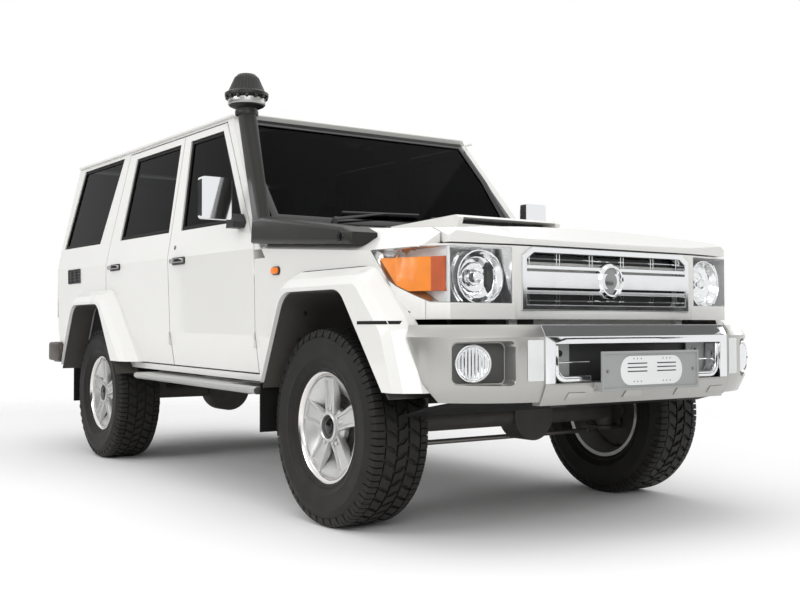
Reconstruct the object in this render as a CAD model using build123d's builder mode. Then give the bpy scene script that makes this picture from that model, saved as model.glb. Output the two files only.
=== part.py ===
"""Four-door off-road station wagon with a snorkel, as separate panels, glass, running gear and wheels.

Frame: +X forward, +Y to the vehicle's left, +Z up, origin on the ground under the middle of the length.
Millimetres. Stations written from the front axle take the form FA + x.
"""
import math
import os

from build123d import *

os.makedirs("parts", exist_ok=True)

# Overall sizes
WHEELBASE = 2730.0
FRONT_OVERHANG = 905.0
REAR_OVERHANG = 1235.0
SPARE_REACH = 430.0
LENGTH = FRONT_OVERHANG + WHEELBASE + REAR_OVERHANG
FA = LENGTH / 2 - FRONT_OVERHANG
RA = FA - WHEELBASE
REAR_END = -LENGTH / 2

# Wheels
TYRE_D = 777.0
TYRE_W = 265.0
RIM_D = 406.0
RIM_FLANGE = 18.0
RIM_W = 205.0
TRACK_F = 1516.0
TRACK_R = 1430.0
HUB_Z = TYRE_D / 2
STUB_R = 32.0
WHEEL_FACE = 32.0
FIT = 0.3

# Body side: half-widths and heights at the front door's leading edge
RAKE = 0.0125
REF = -640.0
SILL_Z = 540.0
SILL_Y = 812.0
LOW_CREASE_Z = 745.0
LOW_CREASE_Y = 838.0
CREASE_Z = 1131.0
SIDE_Y = 845.0
WAIST_Z = 1262.0
WAIST_Y = 821.0
GUTTER_Z = 1804.0
GUTTER_Y = 727.0
DOOR_T = 70.0
FRAME_T = 40.0
SILL_IN_Y = 705.0
SILL_TOP_Z = 650.0
ROOF_RISE = 72.0
ROOF_SHOULDER = 40.0
ROOF_SLOPE_W = 60.0
ROOF_T = 22.0
REAR_X = SPARE_REACH - REAR_OVERHANG - WHEELBASE
REAR_LEAN = 100.0

# Openings
SHUT_GAP = 7.0
DOOR_BOTTOM_Z = 577.0
DOOR_TOP_Z = 1783.0
WINDOW_BOTTOM_Z = 1268.0
WINDOW_TOP_Z = 1748.0
QUARTER_TOP_Z = 1779.0
GLASS_T = 5.0
GLASS_INSET = 14.0
DOOR_FRONT = -655.0
B_FOOT = -1616.0
B_TILT = 0.0483
DOOR_TO_AXLE = 155.0
C_LINE = DOOR_TO_AXLE - WHEELBASE
C_LEAN = 95.0
C_STEP = 20.0
C_KNEE_Z = 862.0
RELIEF = 0.2
RELIEF_DEPTH = 90.0

# Windscreen line in side view
SCREEN_FOOT = (-690.0, 1261.0)
SCREEN_HEAD = (-1122.0, 1804.0)
PILLAR_W = 54.0

# Nose: bonnet, wings and front panel share one shell
NOSE_SLOPE = 0.072
NOSE_FRONT = 698.0
SHOULDER_Y = 697.0
SHOULDER_Z = 1224.0
BONNET_CROWN = 26.0
SKIN = 30.0
BONNET_REAR = -568.0
BONNET_LIP_Z = 1090.0
PANEL_BOTTOM_Z = 806.0

# Wheel arches, as offsets from their axle
ARCH_TOP_Z = 922.0
ROUNDED_FROM_Z = 780.0
FLARE_TOP_Z = 1005.0
FLARE_OUT = 88.0
FLARE_STEP = 8.0
FLARE_KNEE = 64.0
FLARE_SLOPE = 30.0
FLARE_CROWN = 55.0
FLARE_ROUND = 130.0
ARCH_ROUND = 100.0
FLARE_ROOT = 45.0
FLARE_BASE_Z = 550.0

# Hinges
PIN_R = 3.2
LUG_H = 34.0
BARN_PIN_R = 9.0
BARN_GAP = 20.0
BARN_SPLIT_Y = 150.0
BARN_HINGES = (760.0, 1180.0)

# Chassis and running gear
RAIL_Y = 300.0
RAIL_W = 76.0
RAIL_Z = 488.0
RAIL_H = 112.0
FLOOR_T = 30.0
AXLE_R = 46.0
KING_IN = 82.0
KING_Y = TRACK_F / 2 - KING_IN
KING_R = 36.0
KING_H = 150.0
KNUCKLE_T = 16.0
ARM_BACK = 85.0
ARM_IN = 30.0
ROD_R = 11.0

# Spare wheel
SPARE_Y = -310.0
SPARE_Z = 1115.0


def side_pt(x, z):
    """Side-view point from the front axle, with z raised along the body's rake."""
    return (FA + x, z + RAKE * (REF - x))


def nose_z(x, z):
    """Height on the nose at station x of a line that has height z at the door's leading edge."""
    return z - NOSE_SLOPE * (x - REF)


def screen_x(z):
    """Station of the windscreen line at body height z."""
    (x0, z0), (x1, z1) = SCREEN_FOOT, SCREEN_HEAD
    return x0 + (z - z0) * (x1 - x0) / (z1 - z0)


def side_y(z):
    """Half-width of the body side at body height z."""
    stations = [
        (SILL_Z, SILL_Y), (LOW_CREASE_Z, LOW_CREASE_Y), (CREASE_Z, SIDE_Y),
        (WAIST_Z, WAIST_Y), (GUTTER_Z, GUTTER_Y),
    ]
    for (z0, y0), (z1, y1) in zip(stations, stations[1:]):
        if z <= z1:
            return y0 + (z - z0) * (y1 - y0) / (z1 - z0)
    return GUTTER_Y


def raked(points, x0, x1):
    """Right-hand prism of a (half-width, height) section, run along the raked body from x0 back to x1."""
    lift = RAKE * (REF - x0)
    with BuildPart() as prism:
        with BuildSketch(Plane.YZ.offset(FA + x0)):
            with BuildLine():
                Polyline(*[(-y, z + lift) for y, z in points], close=True)
            make_face()
        extrude(amount=(x0 - x1) * math.hypot(1, RAKE), dir=(-1, 0, RAKE))
    return prism.part


def b_line(z):
    """Station of the shut line between the front and rear doors at body height z."""
    return B_FOOT - B_TILT * (z - DOOR_BOTTOM_Z)


def side_cutter(points, y0=0.0, depth=1200.0, gap=0.0, radius=0.0):
    """Prism of a side-view outline from half-width y0 outwards on the right-hand side.

    The outline's upper corners are rounded by a radius, and it is then grown by a gap all round.
    """
    with BuildPart() as prism:
        with BuildSketch(Plane.XZ.offset(y0)) as face:
            with BuildLine():
                Polyline(*points, close=True)
            make_face()
            if radius:
                fillet(face.vertices().filter_by_position(Axis.Y, ROUNDED_FROM_Z, GUTTER_Z), radius)
            if gap:
                offset(amount=gap, kind=Kind.INTERSECTION)
        extrude(amount=depth)
    return prism.part


def grown(points, gap, radius=0.0):
    """Prism of a side-view outline grown by a gap all round."""
    return side_cutter(points, gap=gap, radius=radius)


def write(part, name):
    """Label a finished piece and write it as its own file."""
    part.label = name
    export_step(part, f"parts/{name}.step")


def mirrored(part):
    """The same piece on the other side of the vehicle."""
    with BuildPart() as twin:
        mirror(part, about=Plane.XZ)
    return twin.part


def both_sides(right, stem):
    """Write a right-hand piece and its left-hand twin."""
    write(right, f"{stem}_right")
    write(mirrored(right), f"{stem}_left")


# Body side sections: outer skin, a door's thickness, and the thicker frame with its sill
OUTER = [
    (SILL_Y, SILL_Z), (LOW_CREASE_Y, LOW_CREASE_Z), (SIDE_Y, CREASE_Z), (WAIST_Y, WAIST_Z), (GUTTER_Y, GUTTER_Z)
]
SOLID_OUTER = OUTER + [(0, GUTTER_Z), (0, SILL_Z)]
DOOR_IN_Y = SIDE_Y - DOOR_T
ELBOW_Z = CREASE_Z + 50
INNER_TOP = [(GUTTER_Y - FRAME_T, GUTTER_Z), (WAIST_Y - FRAME_T, WAIST_Z)]
DOOR_SECTION = OUTER + INNER_TOP + [(DOOR_IN_Y, ELBOW_Z), (DOOR_IN_Y, SILL_Z)]
FRAME_SECTION = OUTER + INNER_TOP + [
    (DOOR_IN_Y, ELBOW_Z), (DOOR_IN_Y, SILL_TOP_Z), (SILL_IN_Y, SILL_TOP_Z), (SILL_IN_Y, SILL_Z)
]
CABIN_SECTION = [
    (0, SILL_Z), (DOOR_IN_Y, SILL_Z), (DOOR_IN_Y, ELBOW_Z), INNER_TOP[1], INNER_TOP[0], (0, GUTTER_Z)
]
SCREEN_SLOPE = (SCREEN_HEAD[1] - SCREEN_FOOT[1]) / (SCREEN_FOOT[0] - SCREEN_HEAD[0])
DOOR_KNEE_Z = SCREEN_FOOT[1] - (DOOR_FRONT + PILLAR_W + SHUT_GAP - SCREEN_FOOT[0]) * SCREEN_SLOPE

# Side-view outlines
FRONT_ARCH = [(FA - 430, 520), (FA - 240, ARCH_TOP_Z), (FA + 215, ARCH_TOP_Z), (FA + 527, 520)]
REAR_ARCH = [(RA - 465, 520), (RA - 235, ARCH_TOP_Z), (RA + 240, ARCH_TOP_Z), (RA + 530, 520)]
FRONT_FLARE = [
    (FA - 550, 400), (FA - 290, FLARE_TOP_Z), (FA + 350, FLARE_TOP_Z), (FA + 548, 800), (FA + 690, 400),
]
REAR_FLARE = [
    (RA - 590, 400), (RA - 290, FLARE_TOP_Z), (RA + 290, FLARE_TOP_Z), (RA + 530, 770), (RA + 700, 600),
    (RA + 800, 400),
]

half_b = SHUT_GAP / 2
FRONT_DOOR = [
    side_pt(DOOR_FRONT, DOOR_BOTTOM_Z), side_pt(DOOR_FRONT, DOOR_KNEE_Z),
    side_pt(screen_x(DOOR_TOP_Z) - PILLAR_W - SHUT_GAP, DOOR_TOP_Z),
    side_pt(b_line(DOOR_TOP_Z) + half_b, DOOR_TOP_Z), side_pt(b_line(DOOR_BOTTOM_Z) + half_b, DOOR_BOTTOM_Z),
]
REAR_DOOR = [
    side_pt(b_line(DOOR_BOTTOM_Z) - half_b, DOOR_BOTTOM_Z), side_pt(b_line(DOOR_TOP_Z) - half_b, DOOR_TOP_Z),
    side_pt(C_LINE + C_LEAN, DOOR_TOP_Z), side_pt(C_LINE, WAIST_Z), side_pt(C_LINE - C_STEP, C_KNEE_Z),
    side_pt(C_LINE - C_STEP, DOOR_BOTTOM_Z),
]
FRONT_WINDOW = [
    side_pt(screen_x(WINDOW_BOTTOM_Z) - PILLAR_W - 62, WINDOW_BOTTOM_Z),
    side_pt(screen_x(WINDOW_TOP_Z) - PILLAR_W - 62, WINDOW_TOP_Z),
    side_pt(b_line(WINDOW_TOP_Z) + 84, WINDOW_TOP_Z), side_pt(b_line(WINDOW_BOTTOM_Z) + 122, WINDOW_BOTTOM_Z),
]
REAR_WINDOW = [
    side_pt(b_line(WINDOW_BOTTOM_Z) - 36, WINDOW_BOTTOM_Z), side_pt(b_line(WINDOW_TOP_Z) - 46, WINDOW_TOP_Z),
    side_pt(C_LINE + C_LEAN + 110, WINDOW_TOP_Z), side_pt(C_LINE + 155, WINDOW_BOTTOM_Z),
]
QUARTER_WINDOW = [
    side_pt(C_LINE - 190, WINDOW_BOTTOM_Z), side_pt(C_LINE - 10, QUARTER_TOP_Z),
    side_pt(REAR_X + 215, QUARTER_TOP_Z), side_pt(REAR_X + 65, WINDOW_BOTTOM_Z),
]


def pane(window, inset=GLASS_INSET):
    """Side glass: a thin sheet that lies in its window, a fit smaller all round."""
    sheet = [
        (WAIST_Y - inset, WAIST_Z), (GUTTER_Y - inset, GUTTER_Z),
        (GUTTER_Y - inset - GLASS_T, GUTTER_Z), (WAIST_Y - inset - GLASS_T, WAIST_Z),
    ]
    with BuildPart() as glass:
        add(raked(sheet, DOOR_FRONT, REAR_X))
        add(grown(window, -FIT), mode=Mode.INTERSECT)
    return glass.part


def hinge_pair(axis, toward, heights, reach_y, upper):
    """Hinge lugs on an axis in a shut gap: a pin and a plate that runs to the panel it belongs to."""
    (x0, z0), (x1, z1) = axis
    lean = (x1 - x0) / (z1 - z0)
    with BuildPart() as lugs:
        for z in heights:
            foot = Plane(origin=(x0 + lean * (z - z0), -SIDE_Y, z), x_dir=(1, 0, -lean), z_dir=(lean, 0, 1))
            with Locations(foot.offset(LUG_H + FIT if upper else 0)):
                Cylinder(PIN_R, LUG_H, align=(Align.CENTER, Align.CENTER, Align.MIN))
                with Locations((toward / 2, (SIDE_Y - reach_y) / 2)):
                    Box(abs(toward), SIDE_Y - reach_y, LUG_H, align=(Align.CENTER, Align.CENTER, Align.MIN))
    return lugs.part


HINGE_Z = [690.0, 1010.0]
FRONT_AXIS = [(FA + DOOR_FRONT + half_b, z) for z in (DOOR_BOTTOM_Z, DOOR_TOP_Z)]
REAR_AXIS = [side_pt(b_line(z), z) for z in (DOOR_BOTTOM_Z, DOOR_TOP_Z)]

# Flares, one per arch, wedge-shaped in plan from the body skin out to the lip
outer_wall = raked(SOLID_OUTER, REF + 400, REAR_X)


def flare(outline, opening, front):
    """Wheel-arch flare: a tapered pad on the body side, cut by the arch and levelled at the sill."""
    knee_in = (FLARE_KNEE - FLARE_STEP) * math.tan(math.radians(FLARE_SLOPE))
    layers = [
        # from, to, inset, taper in degrees
        (-FLARE_ROOT, FLARE_STEP, 0.0, 0.0),
        (FLARE_STEP, FLARE_KNEE, 0.0, FLARE_SLOPE),
        (FLARE_KNEE, FLARE_OUT, knee_in, FLARE_CROWN),
    ]
    with BuildPart() as pad:
        for start, end, inset, taper in layers:
            with BuildSketch(Plane.XZ.offset(SIDE_Y + start)) as face:
                with BuildLine():
                    Polyline(*outline, close=True)
                make_face()
                fillet(face.vertices().filter_by_position(Axis.Y, ROUNDED_FROM_Z, GUTTER_Z), FLARE_ROUND)
                if inset:
                    offset(amount=-inset, kind=Kind.INTERSECTION)
            extrude(amount=end - start, taper=taper)
        add(side_cutter(opening, radius=ARCH_ROUND), mode=Mode.SUBTRACT)
        x_mid = FA if front else RA
        with Locations((x_mid, -SIDE_Y, FLARE_BASE_Z)):
            Box(2600, 600, 500, align=(Align.CENTER, Align.CENTER, Align.MAX), mode=Mode.SUBTRACT)
    return pad.part


rear_flare = flare(REAR_FLARE, REAR_ARCH, False)


def edge_relief(stations):
    """Wedge that slims a door's trailing edge towards the inside, so that the door swings clear.

    The stations are (x, half-width, body height) points up the edge's outer corner.
    """
    with BuildPart() as wedge:
        for (x0, y0, z0), (x1, y1, z1) in zip(stations, stations[1:]):
            foot, head = side_pt(x0, z0), side_pt(x1, z1)
            run = Vector(head[0] - foot[0], y0 - y1, head[1] - foot[1])
            with BuildSketch(Plane.XY.offset(foot[1])):
                with BuildLine():
                    Polyline(
                        (foot[0], -y0), (foot[0] + RELIEF * RELIEF_DEPTH, RELIEF_DEPTH - y0),
                        (foot[0] - SHUT_GAP, RELIEF_DEPTH - y0), (foot[0] - SHUT_GAP, -y0), close=True,
                    )
                make_face()
            extrude(amount=run.length, dir=run)
    return wedge.part


front_trail = [
    (b_line(z) + half_b, y, z) for y, z in ((SIDE_Y, SILL_Z), (SIDE_Y, CREASE_Z), (GUTTER_Y, GUTTER_Z))
]
rear_trail = [
    (C_LINE - C_STEP, SIDE_Y, SILL_Z), (C_LINE - C_STEP, SIDE_Y, C_KNEE_Z), (C_LINE, WAIST_Y, WAIST_Z),
    (C_LINE + C_LEAN, side_y(DOOR_TOP_Z), DOOR_TOP_Z),
]

# Front doors
with BuildPart() as front_door:
    add(raked(DOOR_SECTION, DOOR_FRONT + 50, REAR_X))
    add(side_cutter(FRONT_DOOR), mode=Mode.INTERSECT)
    add(edge_relief(front_trail), mode=Mode.SUBTRACT)
    add(side_cutter(FRONT_WINDOW), mode=Mode.SUBTRACT)
    add(hinge_pair(FRONT_AXIS, -half_b - 2, HINGE_Z, SIDE_Y - 9, True))
both_sides(front_door.part, "door_front")
both_sides(pane(FRONT_WINDOW), "glass_front")

# Rear doors, each with the front part of the rear flare
with BuildPart() as rear_door:
    add(raked(DOOR_SECTION, DOOR_FRONT + 50, REAR_X))
    add(side_cutter(REAR_DOOR), mode=Mode.INTERSECT)
    add(edge_relief(rear_trail), mode=Mode.SUBTRACT)
    add(side_cutter(REAR_WINDOW), mode=Mode.SUBTRACT)
    add(side_cutter(REAR_ARCH, radius=ARCH_ROUND), mode=Mode.SUBTRACT)
    add(hinge_pair(REAR_AXIS, -half_b - 2, HINGE_Z, SIDE_Y - 9, True))
with BuildPart() as flare_on_door:
    add(rear_flare)
    add(side_cutter(REAR_DOOR), mode=Mode.INTERSECT)
    add(outer_wall, mode=Mode.SUBTRACT)
with BuildPart() as rear_door_whole:
    add(rear_door.part)
    add(flare_on_door.part)
both_sides(rear_door_whole.part, "door_rear")
both_sides(pane(REAR_WINDOW), "glass_rear")

# Body sides: sill, pillars, cant rail and quarter panel round the door openings
POST_FRONT = -565.0
POST_TOP_Z = 1125.0
POST_T = 52.0
CANT_IN_Y = GUTTER_Y - FRAME_T - POST_T
SCREEN_CUT = [
    side_pt(screen_x(POST_TOP_Z), POST_TOP_Z), side_pt(*SCREEN_HEAD), side_pt(SCREEN_HEAD[0], GUTTER_Z + 200),
    side_pt(-300, GUTTER_Z + 200), side_pt(-300, POST_TOP_Z),
]
REAR_CUT = [
    side_pt(REAR_X, 400), side_pt(REAR_X, WAIST_Z), side_pt(REAR_X + REAR_LEAN, GUTTER_Z),
    side_pt(REAR_X + REAR_LEAN, GUTTER_Z + 200), side_pt(REAR_X - 300, GUTTER_Z + 200),
    side_pt(REAR_X - 300, 400),
]
with BuildPart() as body_side:
    add(raked(FRAME_SECTION, POST_FRONT, REAR_X - 60))
    add(side_cutter(SCREEN_CUT), mode=Mode.SUBTRACT)
    add(side_cutter([(FA + DOOR_FRONT + SHUT_GAP, 400), (FA + DOOR_FRONT + SHUT_GAP, POST_TOP_Z),
                     (FA, POST_TOP_Z), (FA, 400)]), mode=Mode.SUBTRACT)
    add(grown(FRONT_DOOR, SHUT_GAP), mode=Mode.SUBTRACT)
    add(grown(REAR_DOOR, SHUT_GAP), mode=Mode.SUBTRACT)
    add(side_cutter(REAR_ARCH, radius=ARCH_ROUND), mode=Mode.SUBTRACT)
    add(side_cutter(QUARTER_WINDOW), mode=Mode.SUBTRACT)
    add(side_cutter(REAR_CUT), mode=Mode.SUBTRACT)
    # Front post, behind the wing
    post_back = FA + DOOR_FRONT + SHUT_GAP
    post_out = SILL_Y - SKIN - 5
    with Locations(((post_back + FA + POST_FRONT) / 2, -(SILL_IN_Y + post_out) / 2, SILL_Z + 5)):
        Box(FA + POST_FRONT - post_back, post_out - SILL_IN_Y, POST_TOP_Z - SILL_Z - 5,
            align=(Align.CENTER, Align.CENTER, Align.MIN))
    # Centre post, inside the two doors
    POST_SPAN = (b_line(CREASE_Z) + 50, b_line(CREASE_Z) - 70)
    CENTRE_POST = [
        (DOOR_IN_Y - SHUT_GAP, SILL_TOP_Z - 60), (DOOR_IN_Y - SHUT_GAP, CREASE_Z + 40),
        (WAIST_Y - FRAME_T - SHUT_GAP, WAIST_Z), (GUTTER_Y - FRAME_T - SHUT_GAP + 2, GUTTER_Z),
        (CANT_IN_Y, GUTTER_Z), (WAIST_Y - FRAME_T - POST_T - 10, WAIST_Z),
        (SILL_IN_Y, CREASE_Z + 40), (SILL_IN_Y, SILL_TOP_Z - 60),
    ]
    add(raked(CENTRE_POST, *POST_SPAN))
    # The post's head joins the cant rail
    CANT = [(GUTTER_Y - FRAME_T + 5, DOOR_TOP_Z + SHUT_GAP), (GUTTER_Y - FRAME_T + 5, GUTTER_Z),
            (CANT_IN_Y, GUTTER_Z), (CANT_IN_Y, DOOR_TOP_Z + SHUT_GAP)]
    add(raked(CANT, *POST_SPAN))
    add(hinge_pair(REAR_AXIS, 2.0, HINGE_Z, DOOR_IN_Y - SHUT_GAP - 8, False))
    # Rear door hinge leaves on the rear corner
    for z in BARN_HINGES:
        with Locations((FA + REAR_X - 4, -(DOOR_IN_Y + 26), z)):
            Box(8, 44, LUG_H, align=(Align.CENTER, Align.CENTER, Align.MIN))
        with Locations((FA + REAR_X - BARN_PIN_R - 1, -(DOOR_IN_Y - half_b), z)):
            Cylinder(BARN_PIN_R, LUG_H, align=(Align.CENTER, Align.CENTER, Align.MIN))
        with Locations((FA + REAR_X - 4, -(DOOR_IN_Y + 1), z)):
            Box(8, 10, LUG_H, align=(Align.CENTER, Align.CENTER, Align.MIN))
both_sides(body_side.part, "body_side")

# Fixed glass: windscreen between the front pillars, and the two quarter panes
SHEET_FOOT_Z = WAIST_Z + 4
SHEET_HEAD_Z = GUTTER_Z - 2
screen_up = (math.hypot(SCREEN_SLOPE, 1) * GLASS_T) / SCREEN_SLOPE
SCREEN_SHEET = [
    side_pt(screen_x(SHEET_FOOT_Z), SHEET_FOOT_Z), side_pt(screen_x(SHEET_HEAD_Z), SHEET_HEAD_Z),
    side_pt(screen_x(SHEET_HEAD_Z) - screen_up, SHEET_HEAD_Z),
    side_pt(screen_x(SHEET_FOOT_Z) - screen_up, SHEET_FOOT_Z),
]
with BuildPart() as half_screen:
    add(side_cutter(SCREEN_SHEET, 0, GUTTER_Y))
    GLASS_SECTION = [(y - FIT if y else 0, z) for y, z in CABIN_SECTION]
    add(raked(GLASS_SECTION, POST_FRONT, REAR_X), mode=Mode.INTERSECT)
with BuildPart() as fixed_glass:
    add(half_screen.part)
    mirror(half_screen.part, about=Plane.XZ)
    quarter = pane(QUARTER_WINDOW)
    add(quarter)
    mirror(quarter, about=Plane.XZ)
write(fixed_glass.part, "fixed_glass")

# Roof: a crowned panel on the cant rails, with a header at each end
crown_z = GUTTER_Z + ROOF_RISE
edge_z = GUTTER_Z + ROOF_SHOULDER


def roof_block(drop, side_in, x0, x1):
    """Crowned block over the gutters, lowered by drop and narrowed by side_in."""
    lift = RAKE * (REF - x0)
    y_low, z_low = GUTTER_Y - side_in, GUTTER_Z + lift
    y_high, z_high = y_low - ROOF_SLOPE_W, edge_z - drop + lift
    with BuildPart() as block:
        with BuildSketch(Plane.YZ.offset(FA + x0)):
            with BuildLine():
                Polyline((-y_high, z_high), (-y_low, z_low), (y_low, z_low), (y_high, z_high))
                ThreePointArc((y_high, z_high), (0, crown_z - drop + lift), (-y_high, z_high))
            make_face()
        extrude(amount=(x0 - x1) * math.hypot(1, RAKE), dir=(-1, 0, RAKE))
    return block.part


ROOF_FRONT = SCREEN_HEAD[0] + 22
HEADER = 70.0
with BuildPart() as roof:
    add(roof_block(0, 0, ROOF_FRONT, REAR_X + REAR_LEAN - 30))
    add(roof_block(ROOF_T, FRAME_T, SCREEN_HEAD[0] - HEADER, REAR_X + REAR_LEAN + HEADER), mode=Mode.SUBTRACT)
    NOSE_OF_ROOF = [side_pt(ROOF_FRONT - 60, crown_z + 5), side_pt(ROOF_FRONT + 60, crown_z + 5),
                    side_pt(ROOF_FRONT + 60, GUTTER_Z - 40), side_pt(SCREEN_HEAD[0], GUTTER_Z),
                    side_pt(ROOF_FRONT, GUTTER_Z + 22)]
    with BuildSketch(Plane.XZ):
        with BuildLine():
            Polyline(*NOSE_OF_ROOF, close=True)
        make_face()
    extrude(amount=1000, both=True, mode=Mode.SUBTRACT)
write(roof.part, "roof")

# Nose shell: one crowned block with rounded plan corners, hollowed by its skin
NOSE_PLAN = [(300.0, SIDE_Y + 1), (545.0, 812.0), (648.0, 740.0), (NOSE_FRONT - 8, 480.0)]


def nose_block(inset):
    """The nose's outer form, drawn in by an inset all round."""
    x0 = DOOR_FRONT + SHUT_GAP
    crown = SHOULDER_Z + BONNET_CROWN - inset
    drop = inset * 0.55
    half = [
        (SILL_Y - inset, 380.0), (SILL_Y - inset, SILL_Z), (LOW_CREASE_Y - inset, LOW_CREASE_Z),
        (SIDE_Y - inset, CREASE_Z - drop), (SHOULDER_Y - inset * 0.25, SHOULDER_Z - inset),
    ]
    shifted = [(y, nose_z(x0, z)) for y, z in half]
    with BuildPart() as block:
        with BuildSketch(Plane.YZ.offset(FA + x0)):
            with BuildLine():
                Polyline(*[(-y, z) for y, z in reversed(shifted)], *shifted)
                ThreePointArc(shifted[-1], (0, nose_z(x0, crown)), (-shifted[-1][0], shifted[-1][1]))
            make_face()
        extrude(amount=1500 * math.hypot(1, NOSE_SLOPE), dir=(1, 0, -NOSE_SLOPE))
        with BuildSketch(Plane.XY):
            with BuildLine():
                back, side = FA - 900, SIDE_Y + 1
                (xa, ya), (xb, yb), (xc, yc), (xd, yd) = [(FA + x, y) for x, y in NOSE_PLAN]
                Polyline((xa, -ya), (back, -side), (back, side), (xa, ya))
                ThreePointArc((xa, ya), (xb, yb), (xc, yc))
                Line((xc, yc), (xd, yd))
                ThreePointArc((xd, yd), (FA + NOSE_FRONT, 0), (xd, -yd))
                Line((xd, -yd), (xc, -yc))
                ThreePointArc((xc, -yc), (xb, -yb), (xa, -ya))
            make_face()
            if inset:
                offset(amount=-inset, kind=Kind.INTERSECTION)
        extrude(amount=1600, mode=Mode.INTERSECT)
        with BuildSketch(Plane.XZ):
            with BuildLine():
                Polyline((FA + 550, 1172 - inset), (FA + NOSE_FRONT + 10 - inset, BONNET_LIP_Z + 2),
                         (FA + 900, BONNET_LIP_Z - 20), (FA + 900, 1400), (FA + 550, 1400), close=True)
            make_face()
        extrude(amount=1000, both=True, mode=Mode.SUBTRACT)
    return block.part


nose_outer = nose_block(0)
with BuildPart() as nose_shell:
    add(nose_outer)
    add(nose_block(SKIN), mode=Mode.SUBTRACT)

BONNET_PLAN = [(BONNET_REAR, SHOULDER_Y - 3), (480, SHOULDER_Y - 5), (632, 742), (760, 742)]
LAMP_IN_Y = 490.0
LAMP = [(FA + 730, 860), (FA + 730, 1067), (FA + 300, 1064), (FA + 410, 948), (FA + 590, 866)]
PANEL_BACK = 575.0
GRILLE_Y = 450.0
GRILLE_Z = 838.0


def bonnet_plan(gap, top=1600.0, base=1000.0):
    """Prism over the bonnet's plan outline, grown by a gap."""
    outline = [(FA + x, y) for x, y in BONNET_PLAN]
    with BuildPart() as prism:
        with BuildSketch(Plane.XY.offset(base)):
            with BuildLine():
                Polyline(*outline, *[(x, -y) for x, y in reversed(outline)], close=True)
            make_face()
            if gap:
                offset(amount=gap, kind=Kind.INTERSECTION)
        extrude(amount=top - base)
    return prism.part


BONNET_AXIS = (FA + BONNET_REAR - half_b, nose_z(BONNET_REAR, SHOULDER_Z + BONNET_CROWN) + 4)
BONNET_LUG_Y = 520.0


def bonnet_lugs(own, toward, drop):
    """Bonnet hinge lugs on a cross axis in the rear gap; own picks the inner or the outer knuckle."""
    x, z = BONNET_AXIS
    with BuildPart() as lugs:
        for sign in (-1, 1):
            y = sign * (BONNET_LUG_Y + (LUG_H + FIT if own else 0))
            with Locations(Plane(origin=(x, y, z), x_dir=(1, 0, 0), z_dir=(0, 1, 0))):
                Cylinder(PIN_R, LUG_H)
            with Locations((x + toward / 2, y, z - drop / 2)):
                Box(abs(toward), LUG_H, drop)
    return lugs.part


LIP_GAP = 6.0
LIP_DROP = 12.0
SCOOP = [(-420.0, 1236.0), (95.0, 1250.0), (118.0, 1236.0), (100.0, 1188.0), (-420.0, 1210.0)]
SCOOP_Y = 285.0
SCOOP_MOUTH = [(130.0, 1240.0), (30.0, 1238.0), (30.0, 1216.0), (130.0, 1210.0)]
SCOOP_MOUTH_Y = 262.0
with BuildPart() as bonnet:
    add(nose_shell.part)
    add(bonnet_plan(0, base=BONNET_LIP_Z - LIP_DROP), mode=Mode.INTERSECT)
    # Forward-facing air scoop
    for outline, half_width, mode in ((SCOOP, SCOOP_Y, Mode.ADD), (SCOOP_MOUTH, SCOOP_MOUTH_Y, Mode.SUBTRACT)):
        with BuildSketch(Plane.XZ.offset(-half_width)):
            with BuildLine():
                Polyline(*[(FA + x, z) for x, z in outline], close=True)
            make_face()
        extrude(amount=2 * half_width, mode=mode)
    add(bonnet_lugs(True, half_b + 6, 34))
write(bonnet.part, "bonnet")

# Front wings, with the front door hinge lugs
front_flare = flare(FRONT_FLARE, FRONT_ARCH, True)
with BuildPart() as wing:
    add(nose_shell.part)
    with Locations((FA, 800, 800)):
        Box(3000, 1600 + 2 * 590, 1700, mode=Mode.SUBTRACT)
    add(bonnet_plan(SHUT_GAP - 3), mode=Mode.SUBTRACT)
    with Locations((FA + BONNET_REAR, 0, 1100)):
        Box(400, 2 * (SHOULDER_Y + 1), 600, align=(Align.MAX, Align.CENTER, Align.MIN), mode=Mode.SUBTRACT)
    add(grown(LAMP, FIT), mode=Mode.SUBTRACT)
    add(side_cutter(FRONT_ARCH, radius=ARCH_ROUND), mode=Mode.SUBTRACT)
    with Locations((FA + PANEL_BACK, -SIDE_Y, 800)):
        Box(600, 1200, 1700, align=(Align.MIN, Align.CENTER, Align.CENTER), mode=Mode.SUBTRACT)
    with Locations((FA + 240, -SIDE_Y, PANEL_BOTTOM_Z)):
        Box(900, 600, 900, align=(Align.MIN, Align.CENTER, Align.MAX), mode=Mode.SUBTRACT)
    with Locations((FA, -SIDE_Y, SILL_Z + 5)):
        Box(2000, 600, 900, align=(Align.CENTER, Align.CENTER, Align.MAX), mode=Mode.SUBTRACT)
    WING_TAIL = [side_pt(screen_x(POST_TOP_Z - 40) + 6, POST_TOP_Z - 40), side_pt(screen_x(1330) + 6, 1330),
                 side_pt(-900, 1330), side_pt(-900, POST_TOP_Z - 40)]
    add(side_cutter(WING_TAIL), mode=Mode.SUBTRACT)
    add(hinge_pair(FRONT_AXIS, half_b + 2, HINGE_Z, SIDE_Y - 9, False))
with BuildPart() as front_wings:
    add(wing.part)
    mirror(wing.part, about=Plane.XZ)
write(front_wings.part, "front_wings")

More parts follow.
